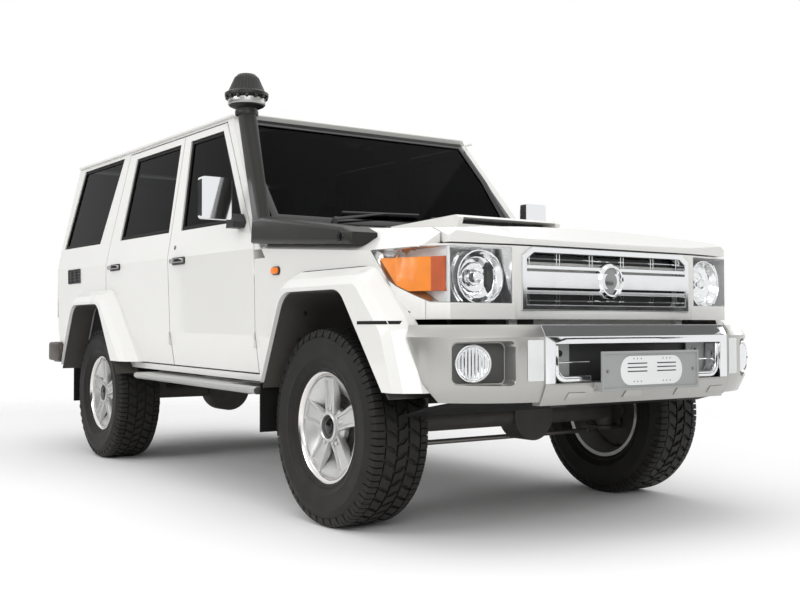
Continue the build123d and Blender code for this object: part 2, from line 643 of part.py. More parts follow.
# Flares on the wings and on the quarter panels
with BuildPart() as flare_pair:
    add(front_flare)
    add(nose_outer, mode=Mode.SUBTRACT)
with BuildPart() as flare_rear:
    add(rear_flare)
    add(outer_wall, mode=Mode.SUBTRACT)
    add(grown(REAR_DOOR, SHUT_GAP), mode=Mode.SUBTRACT)
    add(grown(FRONT_DOOR, SHUT_GAP), mode=Mode.SUBTRACT)
    with Locations((RA + 900, -SIDE_Y, 500)):
        Box(900, 800, 1400, mode=Mode.SUBTRACT)
with BuildPart() as arch_flares:
    for pad in (flare_pair.part, flare_rear.part):
        add(pad)
        mirror(pad, about=Plane.XZ)
write(arch_flares.part, "arch_flares")

PANEL_TOP_Z = BONNET_LIP_Z - LIP_DROP - LIP_GAP
GRILLE_CUT = (50.0, 34.0)


def grille_form(inset, x0, depth):
    """Prism of the grille's outline, with its two upper corners cut, drawn in by an inset all round."""
    cut_y, cut_z = GRILLE_CUT
    half = [(GRILLE_Y, GRILLE_Z), (GRILLE_Y, PANEL_TOP_Z - cut_z), (GRILLE_Y - cut_y, PANEL_TOP_Z + FIT)]
    with BuildPart() as prism:
        with BuildSketch(Plane.YZ.offset(x0)):
            with BuildLine():
                Polyline(*half, *[(-y, z) for y, z in reversed(half)], close=True)
            make_face()
            if inset:
                offset(amount=-inset, kind=Kind.INTERSECTION)
        extrude(amount=depth)
    return prism.part


# Front panel under the lamps and grille, with the radiator and its frame behind
RAD_X = 600.0
RAD_Z = RAIL_Z + RAIL_H
RAD_FRAME_W = 90.0
RAD_BAR = 36.0
RAD_H = 420.0
with BuildPart() as front_panel:
    add(nose_shell.part)
    with Locations((FA + PANEL_BACK + 3, 0, PANEL_BOTTOM_Z)):
        Box(600, 2400, PANEL_TOP_Z - PANEL_BOTTOM_Z, align=(Align.MIN, Align.CENTER, Align.MIN),
            mode=Mode.INTERSECT)
    lamp_cut = side_cutter(LAMP, LAMP_IN_Y - FIT, 700)
    add(lamp_cut, mode=Mode.SUBTRACT)
    mirror(lamp_cut, about=Plane.XZ, mode=Mode.SUBTRACT)
    add(grille_form(0, FA + 500, 400), mode=Mode.SUBTRACT)
    # Radiator frame
    with Locations((FA + RAD_X, 0, RAD_Z)):
        Box(RAD_FRAME_W, 2 * (GRILLE_Y + 20), RAD_BAR, align=(Align.CENTER, Align.CENTER, Align.MIN))
    with Locations((FA + RAD_X, GRILLE_Y, RAD_Z), (FA + RAD_X, -GRILLE_Y, RAD_Z)):
        Box(RAD_FRAME_W, 40, RAD_H, align=(Align.CENTER, Align.CENTER, Align.MIN))
    with Locations((FA + RAD_X, 0, RAD_Z + RAD_H)):
        Box(RAD_FRAME_W, 2 * GRILLE_Y, RAD_BAR, align=(Align.CENTER, Align.CENTER, Align.MAX))
    with Locations((FA + RAD_X, 0, RAD_Z + RAD_BAR)):
        Box(50, 2 * GRILLE_Y - 40, RAD_H - 2 * RAD_BAR + 2, align=(Align.CENTER, Align.CENTER, Align.MIN))
    for sign in (-1, 1):
        with Locations((FA + 634, sign * (GRILLE_Y + 6), PANEL_BOTTOM_Z)):
            Box(70, 28, 28, align=(Align.CENTER, Align.CENTER, Align.MIN))
write(front_panel.part, "front_panel")

# Cowl across the foot of the windscreen
COWL_FRONT = BONNET_REAR - SHUT_GAP
COWL_Y = SHOULDER_Y - 3
COWL_BOTTOM_Z = WAIST_Z - 110
COWL_TOP_Z = WAIST_Z + 3
COWL = [
    side_pt(screen_x(COWL_TOP_Z), COWL_TOP_Z), side_pt(COWL_FRONT - 60, WAIST_Z - 8),
    side_pt(COWL_FRONT, WAIST_Z - 34), side_pt(COWL_FRONT, COWL_BOTTOM_Z),
    side_pt(COWL_FRONT - 20, COWL_BOTTOM_Z), side_pt(COWL_FRONT - 24, WAIST_Z - 52),
    side_pt(screen_x(COWL_TOP_Z) - 40, WAIST_Z - 30), side_pt(screen_x(COWL_TOP_Z) - 40, COWL_TOP_Z),
]
with BuildPart() as cowl:
    with BuildSketch(Plane.XZ.offset(-COWL_Y)):
        with BuildLine():
            Polyline(*COWL, close=True)
        make_face()
    extrude(amount=2 * COWL_Y)
    add(bonnet_lugs(False, -half_b - 6, 34))
write(cowl.part, "cowl")

# Floor with firewall, rear sill and rear wheel houses
FLOOR_Z = 610.0
HOUSE_CLEAR = 26.5
HOUSE_IN_Y = TRACK_R / 2 - TYRE_W / 2 - HOUSE_CLEAR
HOUSE_GROW = 28.0
HOUSE_T = 12.0
with BuildPart() as house:
    add(grown(REAR_ARCH, HOUSE_GROW, ARCH_ROUND))
    add(grown(REAR_ARCH, HOUSE_GROW - HOUSE_T, ARCH_ROUND), mode=Mode.SUBTRACT)
    with Locations((RA, -(HOUSE_IN_Y + SILL_IN_Y) / 2, 640)):
        Box(1600, SILL_IN_Y - HOUSE_IN_Y - 2 * FIT, 800, align=(Align.CENTER, Align.CENTER, Align.MIN),
            mode=Mode.INTERSECT)
with BuildPart() as house_cap:
    add(grown(REAR_ARCH, HOUSE_GROW, ARCH_ROUND))
    with Locations((RA, -HOUSE_IN_Y, 640)):
        Box(1600, HOUSE_T, 800, align=(Align.CENTER, Align.CENTER, Align.MIN), mode=Mode.INTERSECT)
with BuildPart() as house_top:
    add(grown(REAR_ARCH, HOUSE_GROW, ARCH_ROUND))
    add(grown(REAR_ARCH, HOUSE_GROW - HOUSE_T, ARCH_ROUND), mode=Mode.SUBTRACT)
    with Locations((RA, -(SILL_IN_Y - 1), 690)):
        Box(1600, DOOR_IN_Y - SILL_IN_Y + 1 - FIT, 800, align=(Align.CENTER, Align.MAX, Align.MIN),
            mode=Mode.INTERSECT)
with BuildPart() as well:
    add(grown(REAR_ARCH, HOUSE_GROW, ARCH_ROUND))
    with Locations((RA, -HOUSE_IN_Y, 640)):
        Box(2000, 600, 900, align=(Align.CENTER, Align.MAX, Align.CENTER), mode=Mode.INTERSECT)
BARN_T = 50.0
DECK_T = 14.0
DECK_GAP = 30.0
FIREWALL_T = 25.0
DECK_Y = HOUSE_IN_Y - 20.0
DECK_FRONT = C_LINE - 125.0
with BuildPart() as floor_pan:
    add(raked([(-SILL_IN_Y + FIT, FLOOR_Z), (SILL_IN_Y - FIT, FLOOR_Z), (SILL_IN_Y - FIT, FLOOR_Z + FLOOR_T),
               (-SILL_IN_Y + FIT, FLOOR_Z + FLOOR_T)], POST_FRONT, REAR_X))
    add(well.part, mode=Mode.SUBTRACT)
    mirror(well.part, about=Plane.XZ, mode=Mode.SUBTRACT)
    # Raised load deck between the wheel houses
    deck_z = FLOOR_Z + FLOOR_T
    deck = [(-DECK_Y, deck_z - 5), (DECK_Y, deck_z - 5), (DECK_Y, deck_z + DECK_T), (-DECK_Y, deck_z + DECK_T)]
    add(raked(deck, DECK_FRONT, REAR_X + BARN_T + DECK_GAP))
    for shell in (house.part, house_cap.part, house_top.part):
        add(shell)
        mirror(shell, about=Plane.XZ)
    firewall_h = side_pt(COWL_FRONT, COWL_BOTTOM_Z)[1] - FIT - FLOOR_Z - 5
    with Locations((FA + POST_FRONT - FIREWALL_T, 0, FLOOR_Z + 5)):
        Box(FIREWALL_T, 2 * (SILL_IN_Y - FIT), firewall_h, align=(Align.MIN, Align.CENTER, Align.MIN))
    REAR_SILL = [side_pt(REAR_X, FLOOR_Z - 36), side_pt(REAR_X + 90, FLOOR_Z - 36),
                 side_pt(REAR_X + 90, FLOOR_Z + FLOOR_T - 2), side_pt(REAR_X, FLOOR_Z + FLOOR_T - 2)]
    with BuildSketch(Plane.XZ.offset(-SILL_IN_Y + FIT)):
        with BuildLine():
            Polyline(*REAR_SILL, close=True)
        make_face()
    extrude(amount=2 * (SILL_IN_Y - FIT))
write(floor_pan.part, "floor_pan")

# Rear barn doors: a wide right-hand leaf with the spare wheel, and a narrow left-hand leaf
BARN_BOTTOM_Z = SILL_TOP_Z + SHUT_GAP
BARN_PROFILE = [
    side_pt(REAR_X, BARN_BOTTOM_Z), side_pt(REAR_X, WAIST_Z),
    side_pt(REAR_X + REAR_LEAN * (DOOR_TOP_Z - WAIST_Z) / (GUTTER_Z - WAIST_Z), DOOR_TOP_Z),
    side_pt(REAR_X + BARN_T + REAR_LEAN * (DOOR_TOP_Z - WAIST_Z) / (GUTTER_Z - WAIST_Z), DOOR_TOP_Z),
    side_pt(REAR_X + BARN_T, WAIST_Z), side_pt(REAR_X + BARN_T, BARN_BOTTOM_Z),
]
BARN_AXIS_X = FA + REAR_X - BARN_PIN_R - 1
BARN_AXIS_Y = DOOR_IN_Y - half_b
WINDOW_RIM = 70.0
clear_section = [
    (-SIDE_Y, SILL_Z), (DOOR_IN_Y - SHUT_GAP, SILL_Z), (DOOR_IN_Y - SHUT_GAP, ELBOW_Z),
    (WAIST_Y - FRAME_T - SHUT_GAP, WAIST_Z), (GUTTER_Y - FRAME_T - SHUT_GAP, GUTTER_Z), (-SIDE_Y, GUTTER_Z),
]


def barn_slab(profile, y_split):
    """Leaf on the right-hand side of a split line, trimmed to the rear opening."""
    with BuildPart() as slab:
        with BuildSketch(Plane.XZ.offset(-y_split)):
            with BuildLine():
                Polyline(*profile, close=True)
            make_face()
        extrude(amount=2000)
        add(raked(clear_section, REAR_X + 300, REAR_X - 100), mode=Mode.INTERSECT)
    return slab.part


def barn_leaf(y_split):
    """One rear door leaf with its window opening and hinge leaves, hinged on the right-hand side."""
    z_lift = RAKE * (REF - REAR_X)
    z0, z1 = WINDOW_BOTTOM_Z + z_lift + 10, WINDOW_TOP_Z + z_lift - 14
    window = [
        (y_split - WINDOW_RIM, z0), (y_split - WINDOW_RIM, z1),
        (FRAME_T + WINDOW_RIM - side_y(z1 - z_lift), z1), (FRAME_T + WINDOW_RIM - side_y(z0 - z_lift), z0),
    ]
    with BuildPart() as hole:
        with BuildSketch(Plane.YZ.offset(FA + REAR_X - 100)):
            with BuildLine():
                Polyline(*window, close=True)
            make_face()
        extrude(amount=500)
    with BuildPart() as hole_fit:
        with BuildSketch(Plane.YZ.offset(FA + REAR_X - 100)):
            with BuildLine():
                Polyline(*window, close=True)
            make_face()
            offset(amount=-FIT, kind=Kind.INTERSECTION)
        extrude(amount=500)
    with BuildPart() as leaf:
        add(barn_slab(BARN_PROFILE, y_split))
        add(hole.part, mode=Mode.SUBTRACT)
        for z in BARN_HINGES:
            base = z + LUG_H + FIT
            with Locations((BARN_AXIS_X, -BARN_AXIS_Y, base)):
                Cylinder(BARN_PIN_R, LUG_H, align=(Align.CENTER, Align.CENTER, Align.MIN))
            with Locations((FA + REAR_X - 8, -BARN_AXIS_Y, base)):
                Box(8, 130, LUG_H, align=(Align.MIN, Align.MIN, Align.MIN))
    sheet = [(x + GLASS_INSET, z) for x, z in BARN_PROFILE[1:3]]
    sheet += [(x + GLASS_T, z) for x, z in reversed(sheet)]
    with BuildPart() as glass:
        with BuildSketch(Plane.XZ.offset(-y_split)):
            with BuildLine():
                Polyline(*sheet, close=True)
            make_face()
        extrude(amount=2000)
        add(hole_fit.part, mode=Mode.INTERSECT)
    return leaf.part, glass.part


wide_leaf, wide_glass = barn_leaf(BARN_SPLIT_Y - BARN_GAP / 2)
narrow_leaf, narrow_glass = barn_leaf(-BARN_SPLIT_Y - BARN_GAP / 2)
SPARE_X = REAR_END + TYRE_W / 2
with BuildPart() as barn_right:
    add(wide_leaf)
    # Spare wheel carrier: a flared post on a square pad
    with Locations((FA + REAR_X, SPARE_Y, SPARE_Z)):
        Box(14, 330, 330, align=(Align.MAX, Align.CENTER, Align.CENTER))
    with BuildSketch(Plane.YZ.offset(FA + REAR_X - 10)):
        with Locations((SPARE_Y, SPARE_Z)):
            Circle(130)
    with BuildSketch(Plane.YZ.offset(SPARE_X - WHEEL_FACE + FIT)):
        with Locations((SPARE_Y, SPARE_Z)):
            Circle(78)
    loft()
    with Locations(Plane(origin=(SPARE_X - WHEEL_FACE, SPARE_Y, SPARE_Z), x_dir=(0, 1, 0), z_dir=(-1, 0, 0))):
        Cylinder(STUB_R, 34, align=(Align.CENTER, Align.CENTER, Align.MIN))
        Cylinder(STUB_R, 10, align=(Align.CENTER, Align.CENTER, Align.MAX))
write(barn_right.part, "barn_door_right")
write(wide_glass, "barn_glass_right")
write(mirrored(narrow_leaf), "barn_door_left")
write(mirrored(narrow_glass), "barn_glass_left")

# Wheels: tyre and five-spoke rim, made once about +Z and placed on each hub
BEAD_R = RIM_D / 2
with BuildPart() as tyre:
    with BuildSketch(Plane.XZ):
        with BuildLine():
            r_out = TYRE_D / 2
            half_w = TYRE_W / 2
            wall = [
                (BEAD_R + FIT, RIM_W / 2 - 12), (BEAD_R + RIM_FLANGE + 4, RIM_W / 2 - 2), (BEAD_R + 70, half_w),
                (r_out - 62, half_w - 4), (r_out - 10, half_w - 26), (r_out, half_w - 50),
            ]
            Polyline(*wall, *[(r, -w) for r, w in reversed(wall)], close=True)
        make_face()
    revolve(axis=Axis.Z)

SPOKES = 5
SPOKE_W = 60.0
HUB_R = 76.0
with BuildPart() as rim:
    with BuildSketch(Plane.XZ):
        with BuildLine():
            flange_r, edge = BEAD_R + RIM_FLANGE, RIM_W / 2
            Polyline((flange_r, -edge - 8), (flange_r, -edge + 1), (BEAD_R, -edge + 11), (BEAD_R, edge - 11),
                     (flange_r, edge - 1), (flange_r, edge + 8), (BEAD_R - 14, edge - 8),
                     (BEAD_R - 14, -edge - 8), close=True)
        make_face()
    revolve(axis=Axis.Z)
    with Locations((0, 0, WHEEL_FACE)):
        Cylinder(HUB_R, 40, align=(Align.CENTER, Align.CENTER, Align.MIN))
    with BuildSketch(Plane.XZ.offset(-SPOKE_W / 2)):
        with BuildLine():
            root, tip = HUB_R - 12, BEAD_R - 8
            Polyline((root, WHEEL_FACE + 8), (root, WHEEL_FACE + 38), (BEAD_R - 40, WHEEL_FACE + 56),
                     (tip, RIM_W / 2 - 12), (tip, RIM_W / 2 - 52), close=True)
        make_face()
    spoke = extrude(amount=SPOKE_W, mode=Mode.PRIVATE)
    with PolarLocations(0, SPOKES):
        add(spoke)
    with Locations((0, 0, WHEEL_FACE - 1)):
        Cylinder(STUB_R + FIT, 60, align=(Align.CENTER, Align.CENTER, Align.MIN), mode=Mode.SUBTRACT)

WHEELS = [("front_right", FA, -TRACK_F / 2, -1), ("front_left", FA, TRACK_F / 2, 1),
          ("rear_right", RA, -TRACK_R / 2, -1), ("rear_left", RA, TRACK_R / 2, 1)]
for place, x, y, out in WHEELS:
    hub = Plane(origin=(x, y, HUB_Z), x_dir=(1, 0, 0), z_dir=(0, out, 0))
    for stem, shape in (("tyre", tyre.part), ("rim", rim.part)):
        with BuildPart() as wheel_piece:
            with Locations(hub):
                add(shape)
        write(wheel_piece.part, f"{stem}_{place}")
for stem, shape in (("tyre", tyre.part), ("rim", rim.part)):
    with BuildPart() as wheel_piece:
        with Locations(Plane(origin=(SPARE_X, SPARE_Y, SPARE_Z), x_dir=(0, 1, 0), z_dir=(-1, 0, 0))):
            add(shape)
    write(wheel_piece.part, f"spare_{stem}")

# Headlamps wrap the nose's corners
LAMP_DEPTH = 85.0
lamp_form = side_cutter(LAMP, LAMP_IN_Y, 700)
with BuildPart() as lamp:
    add(nose_outer)
    add(nose_block(LAMP_DEPTH), mode=Mode.SUBTRACT)
    add(lamp_form, mode=Mode.INTERSECT)
with BuildPart() as headlamps:
    add(lamp.part)
    mirror(lamp.part, about=Plane.XZ)
write(headlamps.part, "headlamps")

# Grille: frame and bars between the lamps
GRILLE_RIM = 22.0
GRILLE_T = 46.0
with BuildPart() as grille:
    add(grille_form(FIT, FA + NOSE_FRONT + 2 - GRILLE_T, GRILLE_T))
    add(grille_form(FIT + GRILLE_RIM, FA + NOSE_FRONT - GRILLE_T, 2 * GRILLE_T), mode=Mode.SUBTRACT)
    BARS = [(906.0, 16.0, 6.0), (952.0, 62.0, 10.0), (998.0, 16.0, 6.0)]
    for z, height, out in BARS:
        with Locations((FA + NOSE_FRONT - 8 + out, 0, z)):
            Box(26, 2 * (GRILLE_Y - GRILLE_RIM) + 10, height, align=(Align.MAX, Align.CENTER, Align.CENTER))
write(grille.part, "grille")

# Front bumper: centre beam with an opening, a plate mount and two brackets; corner covers at the sides
BUMPER_X = 872.0
BUMPER_T = 70.0
BUMPER_BOTTOM_Z = 502.0
BUMPER_TOP_Z = 786.0
BUMPER_SPLIT_Y = 487.0
BUMPER_ARC_X = 858.0
BUMPER_TOP_CHAMFER = (42.0, 24.0)
BUMPER_LOW_CHAMFER = (66.0, 30.0)
INTAKE_Y = 440.0
INTAKE_Z = (580.0, 718.0)
PLATE_Z = (548.0, 690.0)
PLATE_T = 10.0
PLATE_RIM = 10.0
PLATE_RECESS = 5.0
FOG_PLACE = (733.0, -713.0, 653.0)
FOG_TURN = 20.0
FOG_R = 66.0
FOG_DEPTH = 42.0
FOG_PROUD = 8.0
FOG_POCKET = ((0.0, 23.0, 194.0, 144.0), (75.0, 33.0, 230.0, 158.0))
FOG_POCKET_ROUND = 20.0
RAIL_FRONT = 760.0
PLATE_Y = 258.0
CORNER_CURVE = [(BUMPER_ARC_X, BUMPER_SPLIT_Y), (770.0, 716.0), (500.0, 896.0)]
CORNER_T = 45.0
CORNER_LIFT = 14.0
CORNER_BACK = 98.0
CORNER_IN = 78.0


def chamfer_front(builder):
    """Chamfer the top and bottom edges of a bumper piece's curved outer face."""
    for end, (drop, back) in ((-1, BUMPER_TOP_CHAMFER), (0, BUMPER_LOW_CHAMFER)):
        curved = builder.faces().filter_by(GeomType.CYLINDER).sort_by(Axis.X)[-1]
        arc = curved.edges().filter_by(GeomType.CIRCLE).sort_by(Axis.Z)[end]
        chamfer(arc, length=drop, length2=back, reference=curved)


with BuildPart() as front_bumper:
    with BuildSketch(Plane.XY.offset(BUMPER_BOTTOM_Z)):
        with BuildLine():
            y_edge = BUMPER_SPLIT_Y - FIT
            front, back = FA + BUMPER_ARC_X, FA + BUMPER_ARC_X - BUMPER_T
            ThreePointArc((front, -y_edge), (FA + BUMPER_X, 0), (front, y_edge))
            Polyline((front, y_edge), (back, y_edge), (back, -y_edge), (front, -y_edge))
        make_face()
    extrude(amount=BUMPER_TOP_Z - BUMPER_BOTTOM_Z)
    chamfer_front(front_bumper)
    with Locations((front, 0, INTAKE_Z[0])):
        Box(4 * BUMPER_T, 2 * INTAKE_Y, INTAKE_Z[1] - INTAKE_Z[0],
            align=(Align.CENTER, Align.CENTER, Align.MIN), mode=Mode.SUBTRACT)
    # Plate mount, carried by the lower bar
    with Locations((FA + FRONT_OVERHANG, 0, PLATE_Z[0])):
        Box(BUMPER_T, 2 * PLATE_Y, INTAKE_Z[0] - PLATE_Z[0], align=(Align.MAX, Align.CENTER, Align.MIN))
        Box(PLATE_T, 2 * PLATE_Y, PLATE_Z[1] - PLATE_Z[0], align=(Align.MAX, Align.CENTER, Align.MIN))
        with Locations((0, 0, PLATE_RIM)):
            Box(PLATE_RECESS, 2 * (PLATE_Y - PLATE_RIM), PLATE_Z[1] - PLATE_Z[0] - 2 * PLATE_RIM,
                align=(Align.MAX, Align.CENTER, Align.MIN), mode=Mode.SUBTRACT)
    for sign in (-1, 1):
        with Locations((FA + RAIL_FRONT, sign * (RAIL_Y + RAIL_W / 2), BUMPER_BOTTOM_Z + 6)):
            Box(60, RAIL_W, 70, align=(Align.MIN, Align.CENTER, Align.MIN))
write(front_bumper.part, "front_bumper")

with BuildPart() as corner:
    with BuildSketch(Plane.XY.offset(BUMPER_BOTTOM_Z + CORNER_LIFT)):
        with BuildLine():
            start, middle, end = [(FA + x, -y) for x, y in CORNER_CURVE]
            inner_end = (end[0], end[1] + CORNER_T)
            inner_start = (start[0] - CORNER_BACK, start[1])
            ThreePointArc(start, middle, end)
            Line(end, inner_end)
            ThreePointArc(inner_end, (middle[0] - CORNER_BACK, middle[1] + CORNER_IN), inner_start)
            Line(inner_start, start)
        make_face()
    extrude(amount=BUMPER_TOP_Z - BUMPER_BOTTOM_Z - CORNER_LIFT)
    chamfer_front(corner)
    # Slanted rear edge along the front of the flare
    CORNER_END = [(400.0, 480.0), (662.0, 480.0), (556.0, BUMPER_TOP_Z),
                  (540.0, BUMPER_TOP_Z + 40), (400.0, 840.0)]
    add(side_cutter([(FA + x, z) for x, z in CORNER_END]), mode=Mode.SUBTRACT)
    fog_out = math.radians(FOG_TURN)
    FOG = Plane(
        origin=(FA + FOG_PLACE[0], *FOG_PLACE[1:]), x_dir=(math.sin(fog_out), math.cos(fog_out), 0),
        z_dir=(math.cos(fog_out), -math.sin(fog_out), 0),
    )
    for out, shift, width, height in FOG_POCKET:
        with BuildSketch(FOG.offset(out)):
            with Locations((shift, 0)):
                RectangleRounded(width, height, FOG_POCKET_ROUND)
    loft(mode=Mode.SUBTRACT)
    with Locations(FOG):
        Cylinder(FOG_R, 4 * FOG_DEPTH, mode=Mode.SUBTRACT)
with BuildPart() as fog_lamp:
    with Locations(FOG.offset(FOG_PROUD)):
        Cylinder(FOG_R - FIT, FOG_DEPTH, align=(Align.CENTER, Align.CENTER, Align.MAX))
with BuildPart() as bumper_corners:
    for piece in (corner.part, fog_lamp.part):
        add(piece)
        mirror(piece, about=Plane.XZ)
write(bumper_corners.part, "bumper_corners")

# Rear bumper with wrapped ends, and tail lamps on the rear corners
REAR_BUMPER_X = REAR_X - 172.0
RAIL_REAR = REAR_X - 65.0
REAR_BUMPER_Y = 836.0
REAR_BUMPER_Z = 556.0
REAR_BUMPER_H = 134.0
TAIL_LAMP = (26.0, DOOR_T - 14, 260.0)
TAIL_LAMP_Z = 850.0
TOW_Z = 623.0
TOW_SPACING_Y = 100.0
TOW_SPACING_Z = 56.0
TOW_HOLE_R = 6.5
with BuildPart() as rear_bumper:
    with BuildSketch(Plane.XY.offset(REAR_BUMPER_Z)):
        with BuildLine():
            half = [(REAR_BUMPER_X, 700), (REAR_BUMPER_X + 60, REAR_BUMPER_Y), (REAR_X - 4, REAR_BUMPER_Y),
                    (REAR_X - 4, REAR_BUMPER_Y - 46), (REAR_BUMPER_X + 95, REAR_BUMPER_Y - 46),
                    (REAR_BUMPER_X + 70, 680)]
            Polyline(*[(FA + x, y) for x, y in half], *[(FA + x, -y) for x, y in reversed(half)], close=True)
        make_face()
    extrude(amount=REAR_BUMPER_H)
    # Bolt holes of the towing pad
    with Locations(Plane(origin=(FA + REAR_BUMPER_X, 0, TOW_Z), x_dir=(0, 1, 0), z_dir=(-1, 0, 0))):
        with GridLocations(TOW_SPACING_Y, TOW_SPACING_Z, 2, 2):
            Hole(TOW_HOLE_R, 90)
    for sign in (-1, 1):
        with Locations((FA + RAIL_REAR, sign * (RAIL_Y + RAIL_W / 2), 565)):
            Box(RAIL_REAR - REAR_BUMPER_X - 60, RAIL_W, 50, align=(Align.MAX, Align.CENTER, Align.MIN))
write(rear_bumper.part, "rear_bumper")
with BuildPart() as tail_lamps:
    for sign in (-1, 1):
        with Locations((FA + REAR_X, sign * (DOOR_IN_Y + DOOR_T / 2 + 2), TAIL_LAMP_Z)):
            Box(*TAIL_LAMP, align=(Align.MAX, Align.CENTER, Align.MIN))
write(tail_lamps.part, "tail_lamps")

# Side steps on brackets from the chassis rails
STEP_IN_Y = 745.0
STEP_OUT_Y = 905.0
STEP_FRONT = -530.0
STEP_REAR = 770.0 - WHEELBASE
with BuildPart() as step:
    STEP_SECTION = [(STEP_IN_Y, 492), (STEP_OUT_Y - 12, 492), (STEP_OUT_Y, 502), (STEP_OUT_Y, 516),
                    (STEP_OUT_Y - 12, 524), (STEP_IN_Y, 524)]
    add(raked(STEP_SECTION, STEP_FRONT, STEP_REAR))
    for x in (STEP_FRONT - 170, (STEP_FRONT + STEP_REAR) / 2, STEP_REAR + 160):
        with Locations((FA + x, -(RAIL_Y + RAIL_W + FIT), RAIL_Z + 12)):
            Box(46, STEP_IN_Y - RAIL_Y - RAIL_W + 10, 18, align=(Align.CENTER, Align.MAX, Align.MIN))
with BuildPart() as side_steps:
    add(step.part)
    mirror(step.part, about=Plane.XZ)
write(side_steps.part, "side_steps")

# Mud flaps under the rear ends of the flares: station, foot, head, inner and outer half-width
FLAP_T = 8.0
FLAPS = [
    (FA - 455, 335.0, SILL_Z + 5 - FIT, 700.0, 915.0),
    (RA - 470, 315.0, FLARE_BASE_Z - FIT, 600.0, 840.0),
]
with BuildPart() as flaps:
    for x, z0, z1, y0, y1 in FLAPS:
        with Locations((x, -(y0 + y1) / 2, z0)):
            Box(FLAP_T, y1 - y0, z1 - z0, align=(Align.CENTER, Align.CENTER, Align.MIN))
with BuildPart() as mud_flaps:
    add(flaps.part)
    mirror(flaps.part, about=Plane.XZ)
write(mud_flaps.part, "mud_flaps")

# Snorkel on the right-hand wing: flat arm, raised intake pipe and a round head
SNORKEL_ARM = [
    (215.0, 1094.0), (215.0, 1140.0), (150.0, 1166.0), (-430.0, 1250.0), (-505.0, 1262.0), (-600.0, 1262.0),
    (-612.0, 1150.0), (-470.0, 1140.0),
]
SNORKEL_IN_Y = SHOULDER_Y + 60
SNORKEL_OUT_Y = SIDE_Y + 42
SNORKEL_ROUND = 20.0
PIPE_FOOT = (-552.0, -858.0, 1250.0)
PIPE_FOOT_SIZE = (94.0, 58.0, 24.0)
PIPE_HEAD = (-790.0, -812.0, 1775.0)
PIPE_HEAD_SIZE = (86.0, 84.0, 40.0)
CAP_SINK = 5.0
CAP_PROFILE = [
    (0, 0), (50, 0), (50, 12), (80, 26), (84, 62), (100, 70), (100, 84), (84, 94), (54, 158), (40, 172), (0, 172)
]
with BuildPart() as snorkel:
    with BuildSketch(Plane.XZ.offset(SNORKEL_IN_Y)):
        with BuildLine():
            Polyline(*[(FA + x, z) for x, z in SNORKEL_ARM], close=True)
        make_face()
    extrude(amount=SNORKEL_OUT_Y - SNORKEL_IN_Y)
    fillet(snorkel.faces().sort_by(Axis.Y)[0].edges(), SNORKEL_ROUND)
    add(nose_outer, mode=Mode.SUBTRACT)
    add(raked(SOLID_OUTER, screen_x(POST_TOP_Z) + FIT, DOOR_FRONT - 300), mode=Mode.SUBTRACT)
    for (x, y, z), size in ((PIPE_FOOT, PIPE_FOOT_SIZE), (PIPE_HEAD, PIPE_HEAD_SIZE)):
        with BuildSketch(Plane.XY.offset(z)):
            with Locations((FA + x, y)):
                RectangleRounded(*size)
    loft()
    cap_base = (FA + PIPE_HEAD[0], PIPE_HEAD[1], PIPE_HEAD[2] - CAP_SINK)
    with BuildSketch(Plane(origin=cap_base, x_dir=(1, 0, 0), z_dir=(0, -1, 0))):
        with BuildLine():
            Polyline(*CAP_PROFILE, close=True)
        make_face()
    revolve(axis=Axis(origin=cap_base, direction=(0, 0, 1)))
write(snorkel.part, "snorkel")

# Door mirrors
MIRROR_X = -832.0
MIRROR_CENTRE = (-958.0, 1364.0)
MIRROR_SIZE = (150.0, 190.0, 14.0)
MIRROR_T = 44.0
MIRROR_ARM = [(-850.0, 1236.0), (-780.0, 1236.0), (-772.0, 1262.0), (-800.0, 1300.0), (-836.0, 1300.0)]
MIRROR_REACH = 66.0
with BuildPart() as mirror_right:
    with BuildSketch(Plane.YZ.offset(FA + MIRROR_X)):
        with Locations(MIRROR_CENTRE):
            RectangleRounded(*MIRROR_SIZE)
    extrude(amount=MIRROR_T)
    with BuildSketch(Plane.XZ.offset(WAIST_Y + FIT)):
        with BuildLine():
            Polyline(*[(FA + x, z) for x, z in MIRROR_ARM], close=True)
        make_face()
    extrude(amount=MIRROR_REACH)
with BuildPart() as mirror_clear:
    add(mirror_right.part)
    add(outer_wall, mode=Mode.SUBTRACT)
both_sides(mirror_clear.part, "mirror")

